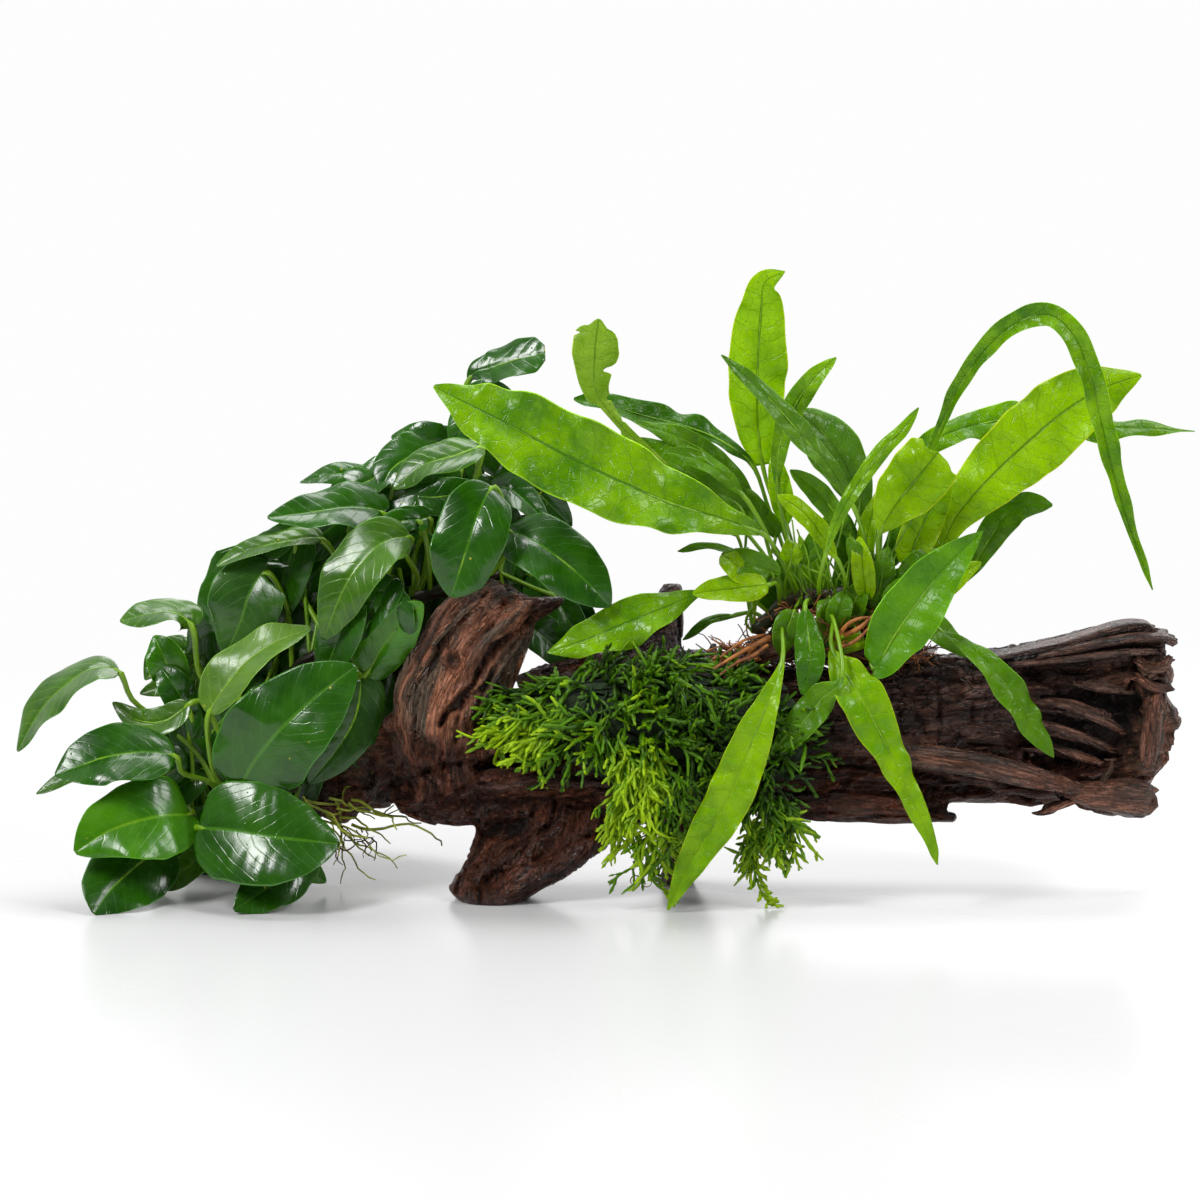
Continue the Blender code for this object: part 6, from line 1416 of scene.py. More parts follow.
def leaf_paint(name, kind, dark, light, rib, thin, gloss, vein_tint, speck=0.0):
    """A leaf's material: veins, margin and specks follow the blade, and light comes through it."""
    p = Paint(name)
    place = p.vector("place")
    arc, across, _ = p.parts(place)
    uv = p.parts(p.add("ShaderNodeUVMap"))
    reach = p.math("ABSOLUTE", p.math("MULTIPLY_ADD", uv[1], 2.0, -1.0))
    hand = p.math("SIGN", across)
    metric = p.math("ABSOLUTE", across)
    k = KINDS[kind]
    is_fern = kind == "fern"
    patches = p.noise(place, 0.55, 3.0)
    blotch = p.noise(place, 2.4, 4.0)
    colour = p.mix(p.ramp(patches, 0.25, 0.75), dark, light)
    colour = p.mix(p.times(p.ramp(blotch, 0.45, 0.7), 0.35), colour, light)
    phase = p.plus(p.math("DIVIDE", arc, k["vein"]), p.times(hand, 0.25))
    slant = p.times(p.math("POWER", metric, 1.4), k["slant"] / k["vein"])
    phase = p.minus(phase, slant)
    wobble = p.times(p.minus(p.noise(place, 1.1, 2.0), 0.5), 1.3 if is_fern else 0.7)
    saw = p.math("ABSOLUTE", p.minus(p.math("FRACT", p.plus(phase, wobble)), 0.5))
    vein = p.ramp(saw, 0.0, 0.06 if is_fern else 0.10, 1.0, 0.0)
    if is_fern:
        cells = p.add("ShaderNodeTexVoronoi", settings={"feature": "DISTANCE_TO_EDGE"},
                      Vector=p.stretched(place, (1.3, 1.9, 1.0)), Scale=1.9)
        vein = p.math("MAXIMUM", vein, p.times(p.ramp(cells, 0.0, 0.05, 1.0, 0.0), 0.6))
        fine = p.noise(place, 3.2, 3.0)
    else:
        fine = p.noise(p.stretched(place, (1.0, 0.35, 1.0)), 9.0, 3.0)
    middle = p.ramp(reach, 0.015, 0.05 if is_fern else 0.06, 1.0, 0.0)
    colour = p.mix(p.times(vein, vein_tint), colour, rib)
    colour = p.mix(p.times(middle, 0.8), colour, rib)
    margin = p.ramp(reach, 0.955, 0.99)
    colour = p.mix(p.times(margin, 0.7), colour, tuple(min(1, 2.2 * c + 0.02) for c in light))
    if speck:
        dots = p.add("ShaderNodeTexVoronoi", Vector=place, Scale=1.3, Randomness=1.0)
        spots = p.ramp(dots, 0.03, speck, 1.0, 0.0)
        where = p.ramp(p.noise(place, 0.8, 1.0), 0.5, 0.62)
        colour = p.mix(p.times(p.times(spots, where), 0.9), colour, (0.55, 0.5, 0.05))
    height = p.times(p.minus(1.0, vein), 0.3)
    height = p.plus(height, p.times(fine, 0.5 if is_fern else 0.22))
    height = p.minus(height, p.times(middle, 0.5))
    beads = p.add("ShaderNodeTexVoronoi", Vector=place, Scale=2.6)
    where_wet = p.ramp(p.noise(place, 0.7, 1.0), 0.48, 0.56)
    bead = p.times(p.ramp(beads, 0.05, 0.13, 1.0, 0.0), where_wet)
    height = p.plus(height, p.times(bead, 0.9))
    normal = p.bump(height, 0.55 if is_fern else 0.2, 0.0010)
    rough = p.ramp(p.noise(place, 1.5, 3.0), 0.3, 0.7, gloss, gloss + 0.14)
    skin = p.skin(Base_Color=colour, Roughness=rough, Specular_IOR_Level=0.3 if is_fern else 0.5,
                  Coat_Weight=0.0 if is_fern else 0.12, Coat_Roughness=0.08, Normal=normal)
    net = p.times(vein, 0.35) if is_fern else middle
    glow = p.mix(net, p.mix(1.0, colour, (1.0, 1.0, 0.3), "MULTIPLY"), rib)
    through = p.add("ShaderNodeBsdfTranslucent", Color=p.mix(0.35, glow, light), Normal=normal)
    return p.finish(p.layered(thin, skin, through))


def stalk_paint(name, green, brown):
    p = Paint(name)
    place = p.vector("place")
    colour = p.mix(p.ramp(p.noise(place, 2.0, 3.0), 0.35, 0.7), green, brown)
    normal = p.bump(p.noise(p.stretched(place, (0.6, 3.0, 3.0)), 6.0, 3.0), 0.3, 0.0005)
    return p.finish(p.skin(Base_Color=colour, Roughness=0.35, Normal=normal))


# Roots

ROOT_SIDES = 5
# The thick orange roots on both sides of the fern's stem, as points: x, depth, up.
STRANDS = (
    ((6.6, 1.5, 11.1), (5.9, 1.1, 10.75), (5.1, 0.85, 10.3), (4.35, 0.8, 9.85)),
    ((6.5, 1.4, 10.8), (5.9, 1.0, 10.35), (5.3, 0.85, 10.1), (4.6, 0.8, 9.6)),
    ((6.4, 1.6, 11.2), (5.6, 1.3, 11.0), (5.0, 1.2, 10.6), (4.6, 1.2, 10.3)),
    ((9.6, 1.2, 11.2), (10.2, 0.9, 11.5), (10.8, 0.95, 12.0), (11.4, 1.3, 12.2)),
    ((9.2, 1.2, 11.0), (9.8, 0.9, 11.7), (10.5, 0.9, 11.9), (11.2, 1.2, 11.7)),
    ((9.3, 1.1, 10.7), (9.9, 0.8, 10.9), (10.5, 0.85, 11.4), (10.9, 1.1, 12.0)),
)


def wander(start, way, length, steps, rng, wild=0.5, fall=0.0):
    """A root's line from start, in metres: it keeps its way with small random turns."""
    line = [np.asarray(start, float)]
    way = unit(way)
    for _ in range(steps - 1):
        way = unit(way + rng.normal(0, wild, 3) / math.sqrt(steps) + np.array((0, 0, -fall)))
        line.append(line[-1] + way * CM * length / (steps - 1))
    return np.array(line)


def root_piece(name, lines, radii, look, nodes=()):
    """Many thin roots in one mesh, each tapering to its tip."""
    radii = np.array(radii)[:, None] * CM * np.linspace(1, 0.45, lines.shape[1])
    points, faces = tubes(lines, radii, ROOT_SIDES)
    points[:, 2] = np.maximum(points[:, 2], TUBE_CLEARANCE)
    made = mesh_object(name, points, faces, look)
    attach(made, "root")
    if nodes:
        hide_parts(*nodes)


def root_paint(name, dark, light):
    p = Paint(name)
    spot = p.add("ShaderNodeNewGeometry")
    mottle = p.noise(spot, 160.0, 4.0)
    colour = p.mix(p.ramp(mottle, 0.35, 0.68), dark, light)
    normal = p.bump(p.noise(spot, 700.0, 3.0), 0.6, 0.0005)
    return p.finish(p.skin(Base_Color=colour, Roughness=0.5, Normal=normal))


def roots():
    """The fern's root ball with its hairs and strands, and the anubias roots under the left clump."""
    rng = np.random.default_rng(21)
    dark = root_paint("dark_roots", (0.02, 0.007, 0.004), (0.12, 0.035, 0.012))
    orange = root_paint("orange_roots", (0.16, 0.045, 0.008), (0.55, 0.2, 0.035))
    green = root_paint("green_roots", (0.16, 0.20, 0.010), (0.40, 0.46, 0.03))
    twig = root_paint("brown_rootlets", (0.025, 0.012, 0.008), (0.10, 0.05, 0.02))
    spots, outs = surface_points("fern_root_mat", 420, rng)
    way = unit(np.cross(outs, rng.normal(0, 1, (len(outs), 3))) + np.array((0.5, 0, 0)))
    lines = np.array([wander(a - o * 0.25 * CM, w, rng.uniform(0.8, 2.2), 8, rng, 1.1)
                      for a, w, o in zip(spots, way, outs)])
    root_piece("fern_roots", lines, rng.uniform(0.025, 0.06, len(lines)), dark,
               ["fern_root_mat"])
    shrunk("fern_root_core", "fern_root_mat", 0.3, dark)

    left = [wander(seen(rng.uniform(4.6, 6.3), rng.uniform(2.3, 3.2), rng.uniform(9.8, 10.8)),
                   (rng.uniform(-1, -0.3), rng.uniform(-0.3, 0.1), rng.uniform(-0.5, 0.4)),
                   rng.uniform(0.7, 1.8), 8, rng, 0.7) for _ in range(46)]
    right = [wander(seen(rng.uniform(11.2, 12.9), rng.uniform(2.2, 3.2), rng.uniform(10.0, 10.6)),
                    (rng.uniform(-0.2, 1), -0.3, rng.uniform(-0.2, 0.4)), rng.uniform(0.4, 1.0), 8, rng, 1.2)
             for _ in range(60)]
    middle = [wander(seen(rng.uniform(6.5, 11.5), rng.uniform(1.7, 2.4), rng.uniform(10.6, 12.2)),
                     rng.normal(0, 1, 3), rng.uniform(0.5, 1.4), 8, rng, 1.0) for _ in range(130)]
    root_piece("orange_root_hairs", np.array(left + right + middle),
               np.concatenate([rng.uniform(0.03, 0.07, 46), rng.uniform(0.012, 0.03, 60),
                               rng.uniform(0.02, 0.045, 130)]), orange)
    thick = [spine([seen(*spot) for spot in strand], np.linspace(0, 3, 14)) for strand in STRANDS]
    root_piece("orange_strands", np.array(thick), [0.13, 0.10, 0.08, 0.12, 0.1, 0.1], orange)
    hairs = [wander(seen(rng.uniform(7.0, 11.2), rng.uniform(2.3, 2.8), rng.uniform(12.3, 12.9)),
                    (rng.normal(0, 0.6), -0.2, rng.uniform(0.2, 1.0)), rng.uniform(0.3, 0.8), 8, rng, 0.8)
             for _ in range(90)]
    root_piece("stem_hairs", np.array(hairs), rng.uniform(0.012, 0.03, 90), twig)
    below = []
    for _ in range(15):
        start = seen(rng.uniform(-12.4, -10.0), rng.uniform(2.4, 3.2), rng.uniform(3.6, 4.8))
        below.append(wander(start, (1.0, -0.25, -0.28), rng.uniform(2.4, 4.8), 14, rng, 1.1, 0.01))
    root_piece("anubias_roots", np.array(below), rng.uniform(0.045, 0.08, 15), green)
    fine = []
    for _ in range(16):
        start = seen(rng.uniform(-10.8, -9.2), rng.uniform(2.4, 3.0), rng.uniform(2.6, 3.6))
        way = (rng.uniform(-0.2, 1), -0.2, rng.uniform(-1.0, 0.1))
        fine.append(wander(start, way, rng.uniform(0.6, 1.3), 8, rng, 1.4, 0.05))
    root_piece("anubias_rootlets", np.array(fine), rng.uniform(0.025, 0.045, 16), twig)


# Each paint: shaded colour, lit colour, rib colour, the share of light that comes through, the
# roughness, how strongly the veins take the rib colour, and the size of the yellow specks.
ANUBIAS_PAINTS = {
    "deep": ((0.008, 0.055, 0.0008), (0.024, 0.115, 0.002), (0.06, 0.2, 0.008), 0.10, 0.16, 0.15, 0.09),
    "bright": ((0.022, 0.14, 0.0006), (0.07, 0.26, 0.001), (0.14, 0.36, 0.006), 0.22, 0.2, 0.2, 0.12),
    "pale": ((0.06, 0.16, 0.008), (0.13, 0.27, 0.022), (0.2, 0.36, 0.03), 0.15, 0.26, 0.3, 0.1),
    # The grey paint is green under a whitish sheen: painted reflection. The striped paint tints the veins
    # more, for the bands of sheen between them: veins, partly painted reflection.
    "grey": ((0.010, 0.055, 0.003), (0.035, 0.12, 0.009), (0.08, 0.2, 0.02), 0.10, 0.18, 0.2),
    "striped": ((0.018, 0.08, 0.001), (0.06, 0.17, 0.004), (0.12, 0.27, 0.012), 0.12, 0.2, 0.35, 0.08),
}
FERN_PAINTS = {
    "bright": ((0.06, 0.21, 0.0006), (0.25, 0.51, 0.001), (0.05, 0.19, 0.001), 0.3, 0.17, 0.24),
    # The backlit lime paint is a lit copy of the fern's paint, brighter where light shines through the leaf
    # from behind: painted light.
    "backlit_lime": ((0.24, 0.46, 0.0006), (0.44, 0.70, 0.001), (0.12, 0.30, 0.001), 0.5, 0.18, 0.26),
    "fresh": ((0.14, 0.38, 0.0006), (0.36, 0.64, 0.001), (0.32, 0.58, 0.008), 0.34, 0.17, 0.24),
    "folded": ((0.06, 0.24, 0.0006), (0.16, 0.42, 0.001), (0.10, 0.3, 0.002), 0.3, 0.24, 0.14),
    "pale": ((0.2, 0.4, 0.010), (0.36, 0.56, 0.04), (0.14, 0.3, 0.006), 0.45, 0.25, 0.14),
    "mid": ((0.06, 0.19, 0.0008), (0.13, 0.32, 0.0015), (0.14, 0.34, 0.002), 0.3, 0.22, 0.14),
    "deep": ((0.022, 0.11, 0.0006), (0.06, 0.20, 0.001), (0.12, 0.3, 0.004), 0.2, 0.18, 0.2),
    "grey": ((0.06, 0.19, 0.004), (0.13, 0.3, 0.014), (0.08, 0.2, 0.004), 0.28, 0.2, 0.25),
}
# Which paint each leaf wears, where it isn't deep for an anubias leaf or bright for a fern leaf.
ANUBIAS_LOOKS = {
    "bright_low": "bright", "bright_mid": "bright", "pale_mid": "pale", "grey_behind": "grey",
    "striped_far_left": "striped", "striped_left": "striped", "striped_top": "striped",
    "twisted_left": "striped", "tall_mid": "striped", "left_tip": "striped",
    "dark_folded": "grey",
}
FERN_LOOKS = {
    "tall_centre": "backlit_lime", "bright_right": "backlit_lime", "cut_tip": "backlit_lime", "arching_gold": "backlit_lime",
    "round_left": "backlit_lime", "pale_back": "backlit_lime", "torn_tip": "pale", "wide_back": "grey",
    "narrow_left": "grey", "wavy_left": "deep", "dark_front": "deep",
    "front_droop": "fresh", "floor_droop": "fresh", "broad_front": "folded",
    "hooked_right": "mid", "low_left": "mid", "right_droop": "mid",
}
# Width and fold of the fern leaves that are narrower, wider or more folded than their solids.
LEAF_SET = {
    "broad_front": (2.5, 0.42), "long_left": (3.5, 0.2), "floor_droop": (1.85, 0.28),
    "high_arch": (1.0, 0.5),
}
# Young leaves in the scene only: the blade's middle (x, depth, up), the angle it points at seen from
# the front, in degrees, and its length and width.
ANUBIAS_UPPER_FILL = (
    (-9.9, 5.8, 17.2, 200, 3.0, 1.7), (-7.1, 6.6, 19.0, 165, 3.0, 1.6), (-7.8, 5.9, 16.9, 190, 4.0, 2.0),
    (-6.2, 5.6, 16.8, 10, 3.2, 1.6), (-3.5, 6.2, 18.0, 345, 3.4, 1.6), (-2.8, 6.0, 17.0, 320, 3.8, 2.0),
    (-8.2, 4.6, 15.7, 185, 2.5, 1.3), (-12.0, 5.8, 14.9, 205, 4.0, 2.0), (-13.8, 5.4, 14.6, 200, 3.0, 1.2),
    (-12.9, 5.6, 13.4, 250, 4.0, 2.4), (-10.9, 6.0, 14.4, 220, 4.0, 2.4), (-8.8, 6.0, 14.4, 250, 4.0, 2.2),
    (-7.7, 6.2, 13.4, 260, 4.0, 2.4), (-6.7, 6.4, 12.2, 250, 4.0, 2.6), (-4.8, 5.8, 13.7, 290, 3.6, 1.8),
    (-3.5, 6.2, 13.9, 280, 4.0, 2.2), (-1.7, 5.9, 12.5, 320, 3.6, 2.0), (-2.5, 6.3, 12.9, 300, 3.4, 1.8),
    (-4.3, 6.2, 15.6, 300, 4.0, 2.2), (-9.9, 6.2, 12.3, 230, 4.4, 2.6), (-11.8, 6.0, 12.2, 240, 4.0, 2.4),
    (-8.4, 5.6, 11.2, 250, 4.0, 2.4), (-10.3, 5.4, 10.4, 240, 4.2, 2.6), (-5.6, 6.6, 17.6, 80, 3.4, 1.7),
    (-6.4, 6.3, 15.2, 230, 3.8, 2.0), (-10.2, 6.2, 15.9, 190, 3.6, 1.8), (-10.7, 2.7, 11.0, 245, 3.4, 2.0),
    (-9.3, 2.7, 12.3, 235, 3.0, 1.8), (-8.3, 2.5, 11.7, 285, 2.6, 1.6), (-2.2, 5.0, 10.9, 320, 3.0, 1.7),
    (-1.3, 5.3, 11.5, 300, 2.8, 1.5),
)
ANUBIAS_LOWER_FILL = (
    (-15.3, 5.4, 12.2, 250, 4.2, 2.6), (-15.7, 5.6, 11.0, 240, 4.0, 2.4), (-13.4, 5.8, 10.9, 240, 4.0, 2.4),
    (-15.6, 5.4, 10.2, 60, 3.6, 2.2), (-17.2, 4.5, 9.1, 120, 2.6, 1.5), (-16.8, 4.7, 7.9, 100, 3.0, 1.6),
    (-14.9, 5.0, 8.3, 50, 4.0, 2.4), (-15.9, 4.9, 6.3, 80, 3.6, 2.0), (-16.9, 4.7, 6.8, 120, 2.8, 1.7),
    (-12.7, 5.4, 10.4, 60, 4.0, 2.6), (-9.4, 4.7, 8.6, 285, 4.2, 2.4), (-9.8, 5.0, 7.4, 290, 3.6, 2.2),
    (-18.0, 4.5, 5.5, 200, 2.8, 1.6), (-17.2, 4.5, 4.9, 220, 3.0, 1.7), (-16.8, 3.6, 2.9, 225, 3.2, 1.8),
    (-13.6, 4.8, 6.9, 70, 4.0, 2.6), (-12.0, 4.9, 8.6, 60, 4.0, 2.6), (-12.2, 4.6, 6.2, 80, 3.6, 2.4),
    (-14.4, 4.6, 3.6, 300, 2.6, 1.6),
)
ANUBIAS_BRIGHT_FILL = (
    (-17.6, 4.9, 10.2, 110, 2.6, 1.7), (-17.0, 3.2, 1.9, 210, 3.0, 1.5), (-12.1, 3.5, 1.9, 340, 2.0, 1.2),
)
FERN_DARK_FILL = (
    (3.4, 3.4, 17.7, 143, 5.4, 1.5), (3.6, 2.8, 16.6, 140, 4.4, 1.1), (5.7, 1.9, 14.1, 150, 2.4, 1.2),
    (11.1, 2.6, 13.6, 80, 2.8, 1.1), (12.6, 2.5, 14.0, 50, 2.4, 1.2), (8.7, 2.9, 15.3, 60, 3.0, 0.9),
    (7.3, 1.5, 11.4, 250, 1.7, 1.2), (9.4, 1.9, 12.3, 75, 1.8, 1.0), (13.5, 2.6, 11.3, 325, 2.6, 1.1),
    (12.1, 3.6, 15.6, 65, 4.0, 1.2), (9.6, 3.6, 15.0, 100, 3.4, 1.2), (5.9, 3.9, 16.4, 125, 3.2, 1.0),
    (13.6, 3.4, 15.4, 55, 3.8, 1.3), (7.2, 4.4, 13.3, 95, 3.0, 1.2), (8.4, 4.6, 13.7, 85, 3.2, 1.3),
    (9.6, 4.5, 13.5, 80, 3.0, 1.2), (10.6, 4.3, 13.3, 75, 3.0, 1.2), (11.5, 4.2, 13.0, 60, 2.8, 1.2),
    (6.4, 4.2, 13.1, 120, 2.8, 1.1), (8.9, 2.2, 11.6, 265, 2.2, 1.2), (10.0, 2.3, 12.6, 70, 2.2, 1.1),
)
# Young leaves in the backlit lime paint: painted light.
FERN_LIME_FILL = (
    (7.5, 1.9, 14.6, 80, 1.2, 1.0), (5.2, 1.8, 14.0, 130, 1.7, 1.3), (10.3, 2.1, 14.0, 95, 2.8, 0.95),
    (9.6, 1.5, 10.8, 200, 1.5, 0.8), (10.6, 3.2, 15.7, 80, 3.0, 0.8), (7.0, 4.1, 17.2, 100, 3.2, 1.0),
    (13.9, 3.4, 13.4, 40, 3.0, 1.0), (8.1, 3.7, 14.2, 105, 2.6, 0.7),
)


def sprig(spot, root, seed):
    """The stem, rib and settings of a young leaf, from its blade and the place that it grows from."""
    x, y, v, turn, length, width = spot
    way = np.array((math.cos(math.radians(turn)), 0.0, math.sin(math.radians(turn))))
    rng = np.random.default_rng(seed)
    base = np.array((x, y, v)) - way * length * 0.5
    rib = []
    for t in (0.0, 0.33, 0.66, 1.0):
        arch = np.array((0, -0.4 * math.sin(math.pi * t) + 0.2 * t, -0.5 * t * t + 0.25 * t))
        rib.append(tuple(base + way * length * t + arch))
    middle = (np.array(root) + base) / 2 + np.array((0.0, 0.3, 0.0)) + rng.normal(0, 0.25, 3)
    face = (rng.uniform(-0.35, 0.35), -0.85, rng.uniform(0.1, 0.7))
    return [tuple(root), tuple(middle)], rib, width, face, None, rng.uniform(0.05, 0.22)


def leaf_cluster(name, spots, kind, outline, looks):
    """Many young leaves in one mesh, each on its own stalk from the creeping stem."""
    stems = [point for key, (line, _) in RHIZOMES.items() for point in line
             if kind.startswith("fern") == key.startswith("fern")]
    parts, total = [], 0
    for order, spot in enumerate(spots):
        near = min(stems, key=lambda point: abs(point[0] - spot[0]) + 0.3 * abs(point[2] - spot[2]))
        made = leaf_shape(*sprig(spot, near, 300 + order + len(name)), outline, kind, 20.5 + 1.3 * order)
        parts.append((made[0], made[1] + total) + made[2:])
        total += len(made[0])
    points, faces, uv, place, slots = (np.concatenate(group) for group in zip(*parts))
    points[:, 2] = np.maximum(points[:, 2], LEAF_CLEARANCE)
    cluster = mesh_object(name, points, faces, looks, slots)
    add_uv(cluster, uv)
    add_numbers(cluster, "place", place)
    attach(cluster, "root")


def petioles(look):
    """Bare young stalks of the fern among its leaves."""
    rng = np.random.default_rng(77)
    count, stations = 34, 10
    lines = []
    for _ in range(count):
        x = rng.uniform(7.2, 11.4)
        start = seen(x, rng.uniform(2.6, 3.3), rng.uniform(11.9, 12.7))
        lean = rng.normal(-0.35 if x < 9.3 else 0.3, 0.3)
        way = (lean, rng.uniform(-0.2, 0.35), 1.0)
        lines.append(wander(start, way, rng.uniform(1.6, 4.6), stations, rng, 0.25))
    radii = np.full((count, stations), 0.05 * CM) * np.linspace(1, 0.7, stations)
    points, faces = tubes(np.array(lines), radii, STALK_SIDES)
    made = mesh_object("fern_petioles", points, faces, look)
    add_numbers(made, "place", points / CM)
    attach(made, "root")


def all_leaves():
    """The filling leaves, the large leaves that have solids, and the creeping stems' own leaves."""
    anubias = {key: leaf_paint("anubias_" + key, "anubias", *row) for key, row in ANUBIAS_PAINTS.items()}
    fern = {key: leaf_paint("fern_" + key, "fern", *row) for key, row in FERN_PAINTS.items()}
    creeping = stalk_paint("creeping_stem", (0.028, 0.03, 0.006), (0.02, 0.009, 0.004))
    stalk = stalk_paint("anubias_stalk", (0.2, 0.38, 0.004), (0.08, 0.2, 0.003))
    fern_stalk = stalk_paint("fern_stalk", (0.2, 0.4, 0.003), (0.09, 0.22, 0.002))
    for name, spots, kind, look, stem_look in (
        ("anubias_upper_fill", ANUBIAS_UPPER_FILL, "anubias_small", anubias["deep"], stalk),
        ("anubias_lower_fill", ANUBIAS_LOWER_FILL, "anubias_small", anubias["deep"], stalk),
        ("anubias_bright_fill", ANUBIAS_BRIGHT_FILL, "anubias_small", anubias["bright"], stalk),
        ("fern_dark_fill", FERN_DARK_FILL, "fern_small", fern["mid"], fern_stalk),
        ("fern_lime_fill", FERN_LIME_FILL, "fern_small", fern["backlit_lime"], fern_stalk),
    ):
        leaf_cluster(name, spots, kind, "oval", [look, stem_look])
    petioles(fern_stalk)
    for seed, entry in enumerate(ANUBIAS):
        outline = entry[7] if len(entry) > 7 else "oval"
        looks = [anubias[ANUBIAS_LOOKS.get(entry[0], "deep")], stalk]
        leaf_object("anubias_" + entry[0], entry[1:7], outline, "anubias", seed + 0.5, looks,
                    ["anubias_leaf_" + entry[0]])
    for seed, entry in enumerate(FERN):
        row = list(entry[1:7])
        row[2], row[5] = LEAF_SET.get(entry[0], (row[2], row[5]))
        looks = [fern[FERN_LOOKS.get(entry[0], "bright")], fern_stalk]
        outline = "spear" if entry[0] == "broad_front" else entry[7]
        leaf_object("fern_" + entry[0], row, outline, "fern", seed + 40.5, looks,
                    ["fern_leaf_" + entry[0]])
    for prefix, table, kind, node, look, stem_look in (
        ("anubias_low_young", ANUBIAS_INNER_LEFT, "anubias", "anubias_rhizome_lower",
         anubias["striped"], stalk),
        ("anubias_upper_young", ANUBIAS_INNER_UPPER, "anubias", "anubias_rhizome_upper",
         anubias["deep"], stalk),
        ("fern_young", FERN_INNER, "fern", "fern_rhizome", fern["mid"], fern_stalk),
    ):
        for order, entry in enumerate(table):
            outline = entry[6] if len(entry) > 6 else "oval"
            leaf_object("%s_%d" % (prefix, order + 1), entry[:6], outline, kind, order + 70.5,
                        [look, stem_look], [])
        points, radii = RHIZOMES[node]
        places = np.linspace(0, len(points) - 1, 8 * len(points))
        line = spine([seen(*point) for point in points], places)
        knots = 1 + 0.16 * np.sin(places * 9.0) + 0.1 * smooth_noise(line * 300)
        sizes = np.interp(places, range(len(points)), radii) * CM * knots * (0.9 if kind == "fern" else 0.6)
        sizes[0] = sizes[-1] = 0.0006
        stem_points, stem_faces = tubes(line[None], sizes[None], 12)
        stem = mesh_object(prefix + "_creeping_stem", stem_points, stem_faces, creeping)
        add_numbers(stem, "place", stem_points / CM)
        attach(stem, "root")
        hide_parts(node)


def leaf_object(name, row, outline, kind, seed, looks, nodes):
    """One leaf as an object, in place of its solid where it has one."""
    points, faces, uv, place, slots = leaf_shape(*row, outline, kind, seed)
    points[:, 2] = np.maximum(points[:, 2], LEAF_CLEARANCE)
    made = mesh_object(name, points, faces, looks, slots)
    add_uv(made, uv)
    add_numbers(made, "place", place)
    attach(made, "root")
    if nodes:
        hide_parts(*nodes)


# Studio

# The brightness of the backdrop, which the floor fades into.
BACKDROP = 0.985
# The floor's width, in metres, and how far from its middle it starts and ends to fade.
FLOOR_WIDTH = 14.0
FADE = (0.30, 0.72)
# How wide the camera's picture is on the upright plane, in centimetres, and its sensor in millimetres.
PICTURE_WIDTH = 48.0
SENSOR = 36.0
# Soft lamps: name, place and size in metres, power in watts, and what each is aimed at.
LAMPS = (
    ("left_box", (-0.9, -0.8, 1.2), (0.45, 0.6), 20.0, (-0.05, 0.0, 0.1)),
    ("right_box", (1.1, -0.7, 1.1), (0.4, 0.6), 11.0, (0.05, 0.0, 0.1)),
    ("top_box", (0.1, 0.3, 1.5), (1.2, 0.5), 14.0, (0.0, 0.0, 0.1)),
    ("back_box", (0.3, 1.2, 0.7), (1.2, 0.8), 6.0, (0.05, 0.0, 0.15)),
)


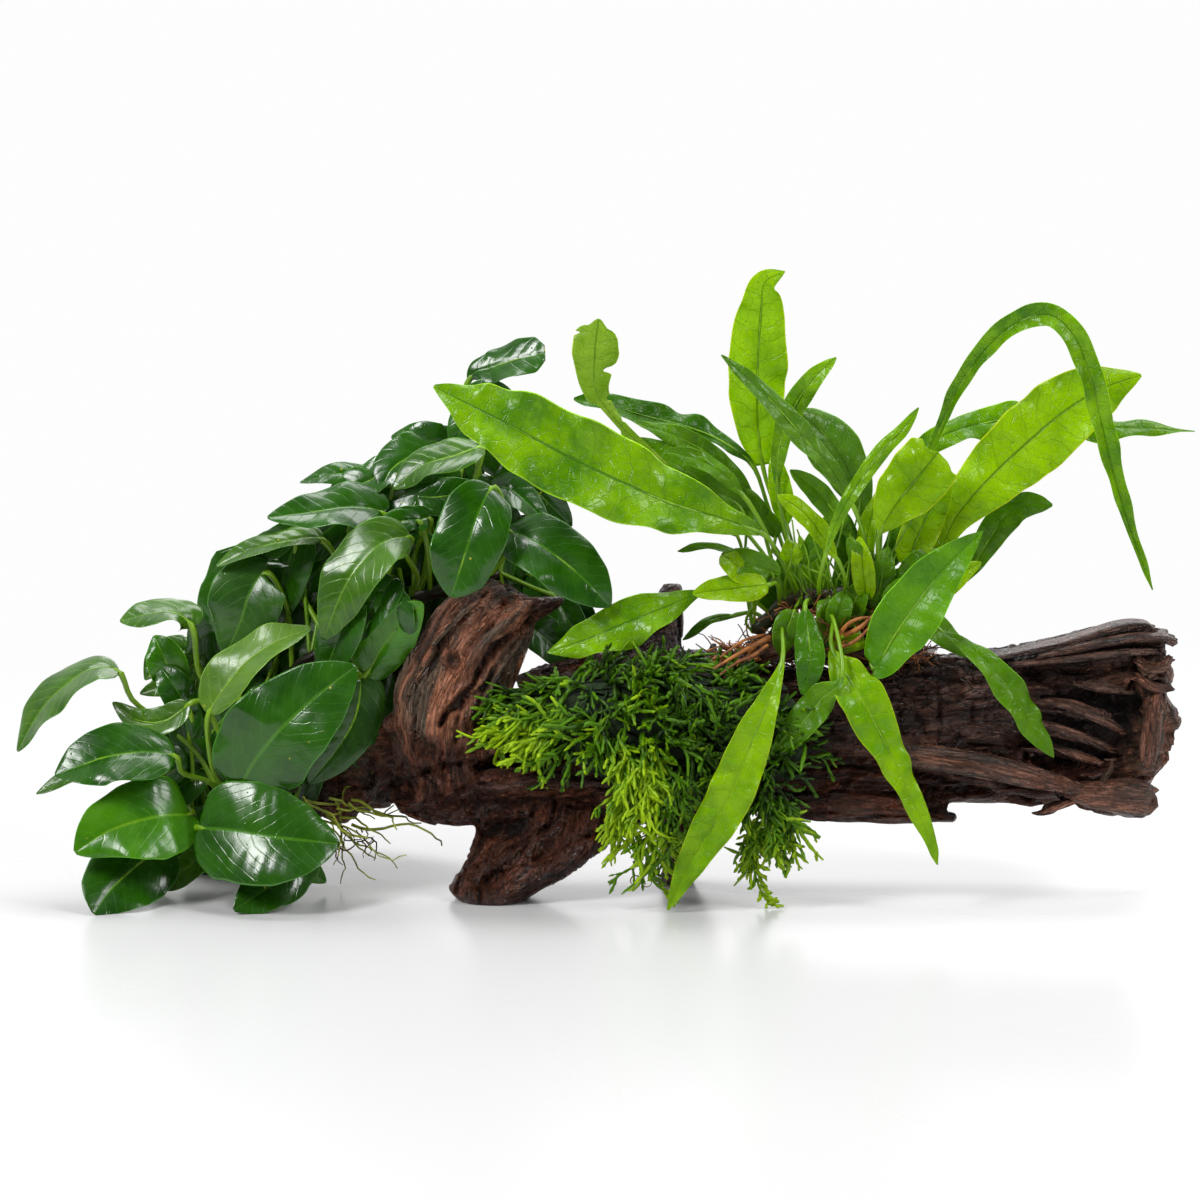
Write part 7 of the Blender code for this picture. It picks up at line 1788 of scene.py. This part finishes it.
def studio():
    """The floor, the world, the lamps and the camera."""
    bpy.ops.mesh.primitive_plane_add(size=1.0)
    floor = bpy.context.object
    floor.name = "floor"
    floor.scale = (FLOOR_WIDTH, FLOOR_WIDTH, 1.0)
    p = Paint("pale_floor")
    spot = p.add("ShaderNodeNewGeometry")
    faint = p.ramp(p.noise(spot, 3.0, 2.0), 0.3, 0.7, 0.24, 0.3)
    top = p.skin(Base_Color=(0.62, 0.62, 0.625), Roughness=faint, Specular_IOR_Level=0.2)
    glow = p.add("ShaderNodeEmission", Color=(1.0, 1.0, 1.0), Strength=BACKDROP)
    gap = p.add("ShaderNodeVectorMath", out=1, settings={"operation": "LENGTH"},
                Vector=p.stretched(spot, (0.8, 1.2, 0.0)))
    floor.data.materials.append(p.finish(p.layered(p.ramp(gap, *FADE), top, glow)))
    world = bpy.data.worlds.new("studio")
    world.use_nodes = True
    tree = world.node_tree
    away = tree.nodes.new("ShaderNodeTexCoord")
    split = tree.nodes.new("ShaderNodeSeparateXYZ")
    grade = tree.nodes.new("ShaderNodeMapRange")
    for socket, value in (("From Min", -0.35), ("From Max", 0.55), ("To Min", 0.1), ("To Max", 0.9)):
        grade.inputs[socket].default_value = value
    ray = tree.nodes.new("ShaderNodeLightPath")
    choose = tree.nodes.new("ShaderNodeMix")
    choose.inputs[3].default_value = BACKDROP
    tree.links.new(away.outputs["Generated"], split.inputs[0])
    tree.links.new(split.outputs[1], grade.inputs["Value"])
    tree.links.new(ray.outputs["Is Camera Ray"], choose.inputs[0])
    tree.links.new(grade.outputs[0], choose.inputs[2])
    tree.links.new(choose.outputs[0], tree.nodes["Background"].inputs["Strength"])
    tree.nodes["Background"].inputs["Color"].default_value = (1.0, 1.0, 1.0, 1.0)
    bpy.context.scene.world = world
    bpy.context.scene.view_settings.view_transform = "Standard"
    for name, place, size, power, aim in LAMPS:
        light = bpy.data.lights.new(name, "AREA")
        light.shape = "RECTANGLE"
        light.size, light.size_y = size
        light.energy = power
        holder = bpy.data.objects.new(name, light)
        holder.location = place
        holder.rotation_euler = (Vector(aim) - Vector(place)).to_track_quat("-Z", "Y").to_euler()
        bpy.context.scene.collection.objects.link(holder)
    lens = bpy.data.cameras.new("camera")
    lens.lens = SENSOR * VIEW_DISTANCE / PICTURE_WIDTH
    lens.sensor_width = SENSOR
    camera = bpy.data.objects.new("camera", lens)
    aim = seen(PLANE_CENTRE[0], 0.0, PLANE_CENTRE[1])
    camera.location = aim - CM * VIEW_DISTANCE * np.array((0.0, COS, -SIN))
    camera.rotation_euler = (math.radians(90.0) - VIEW_TILT, 0.0, 0.0)
    bpy.context.scene.collection.objects.link(camera)
    bpy.context.scene.camera = camera


studio()
driftwood()
moss()
roots()
all_leaves()
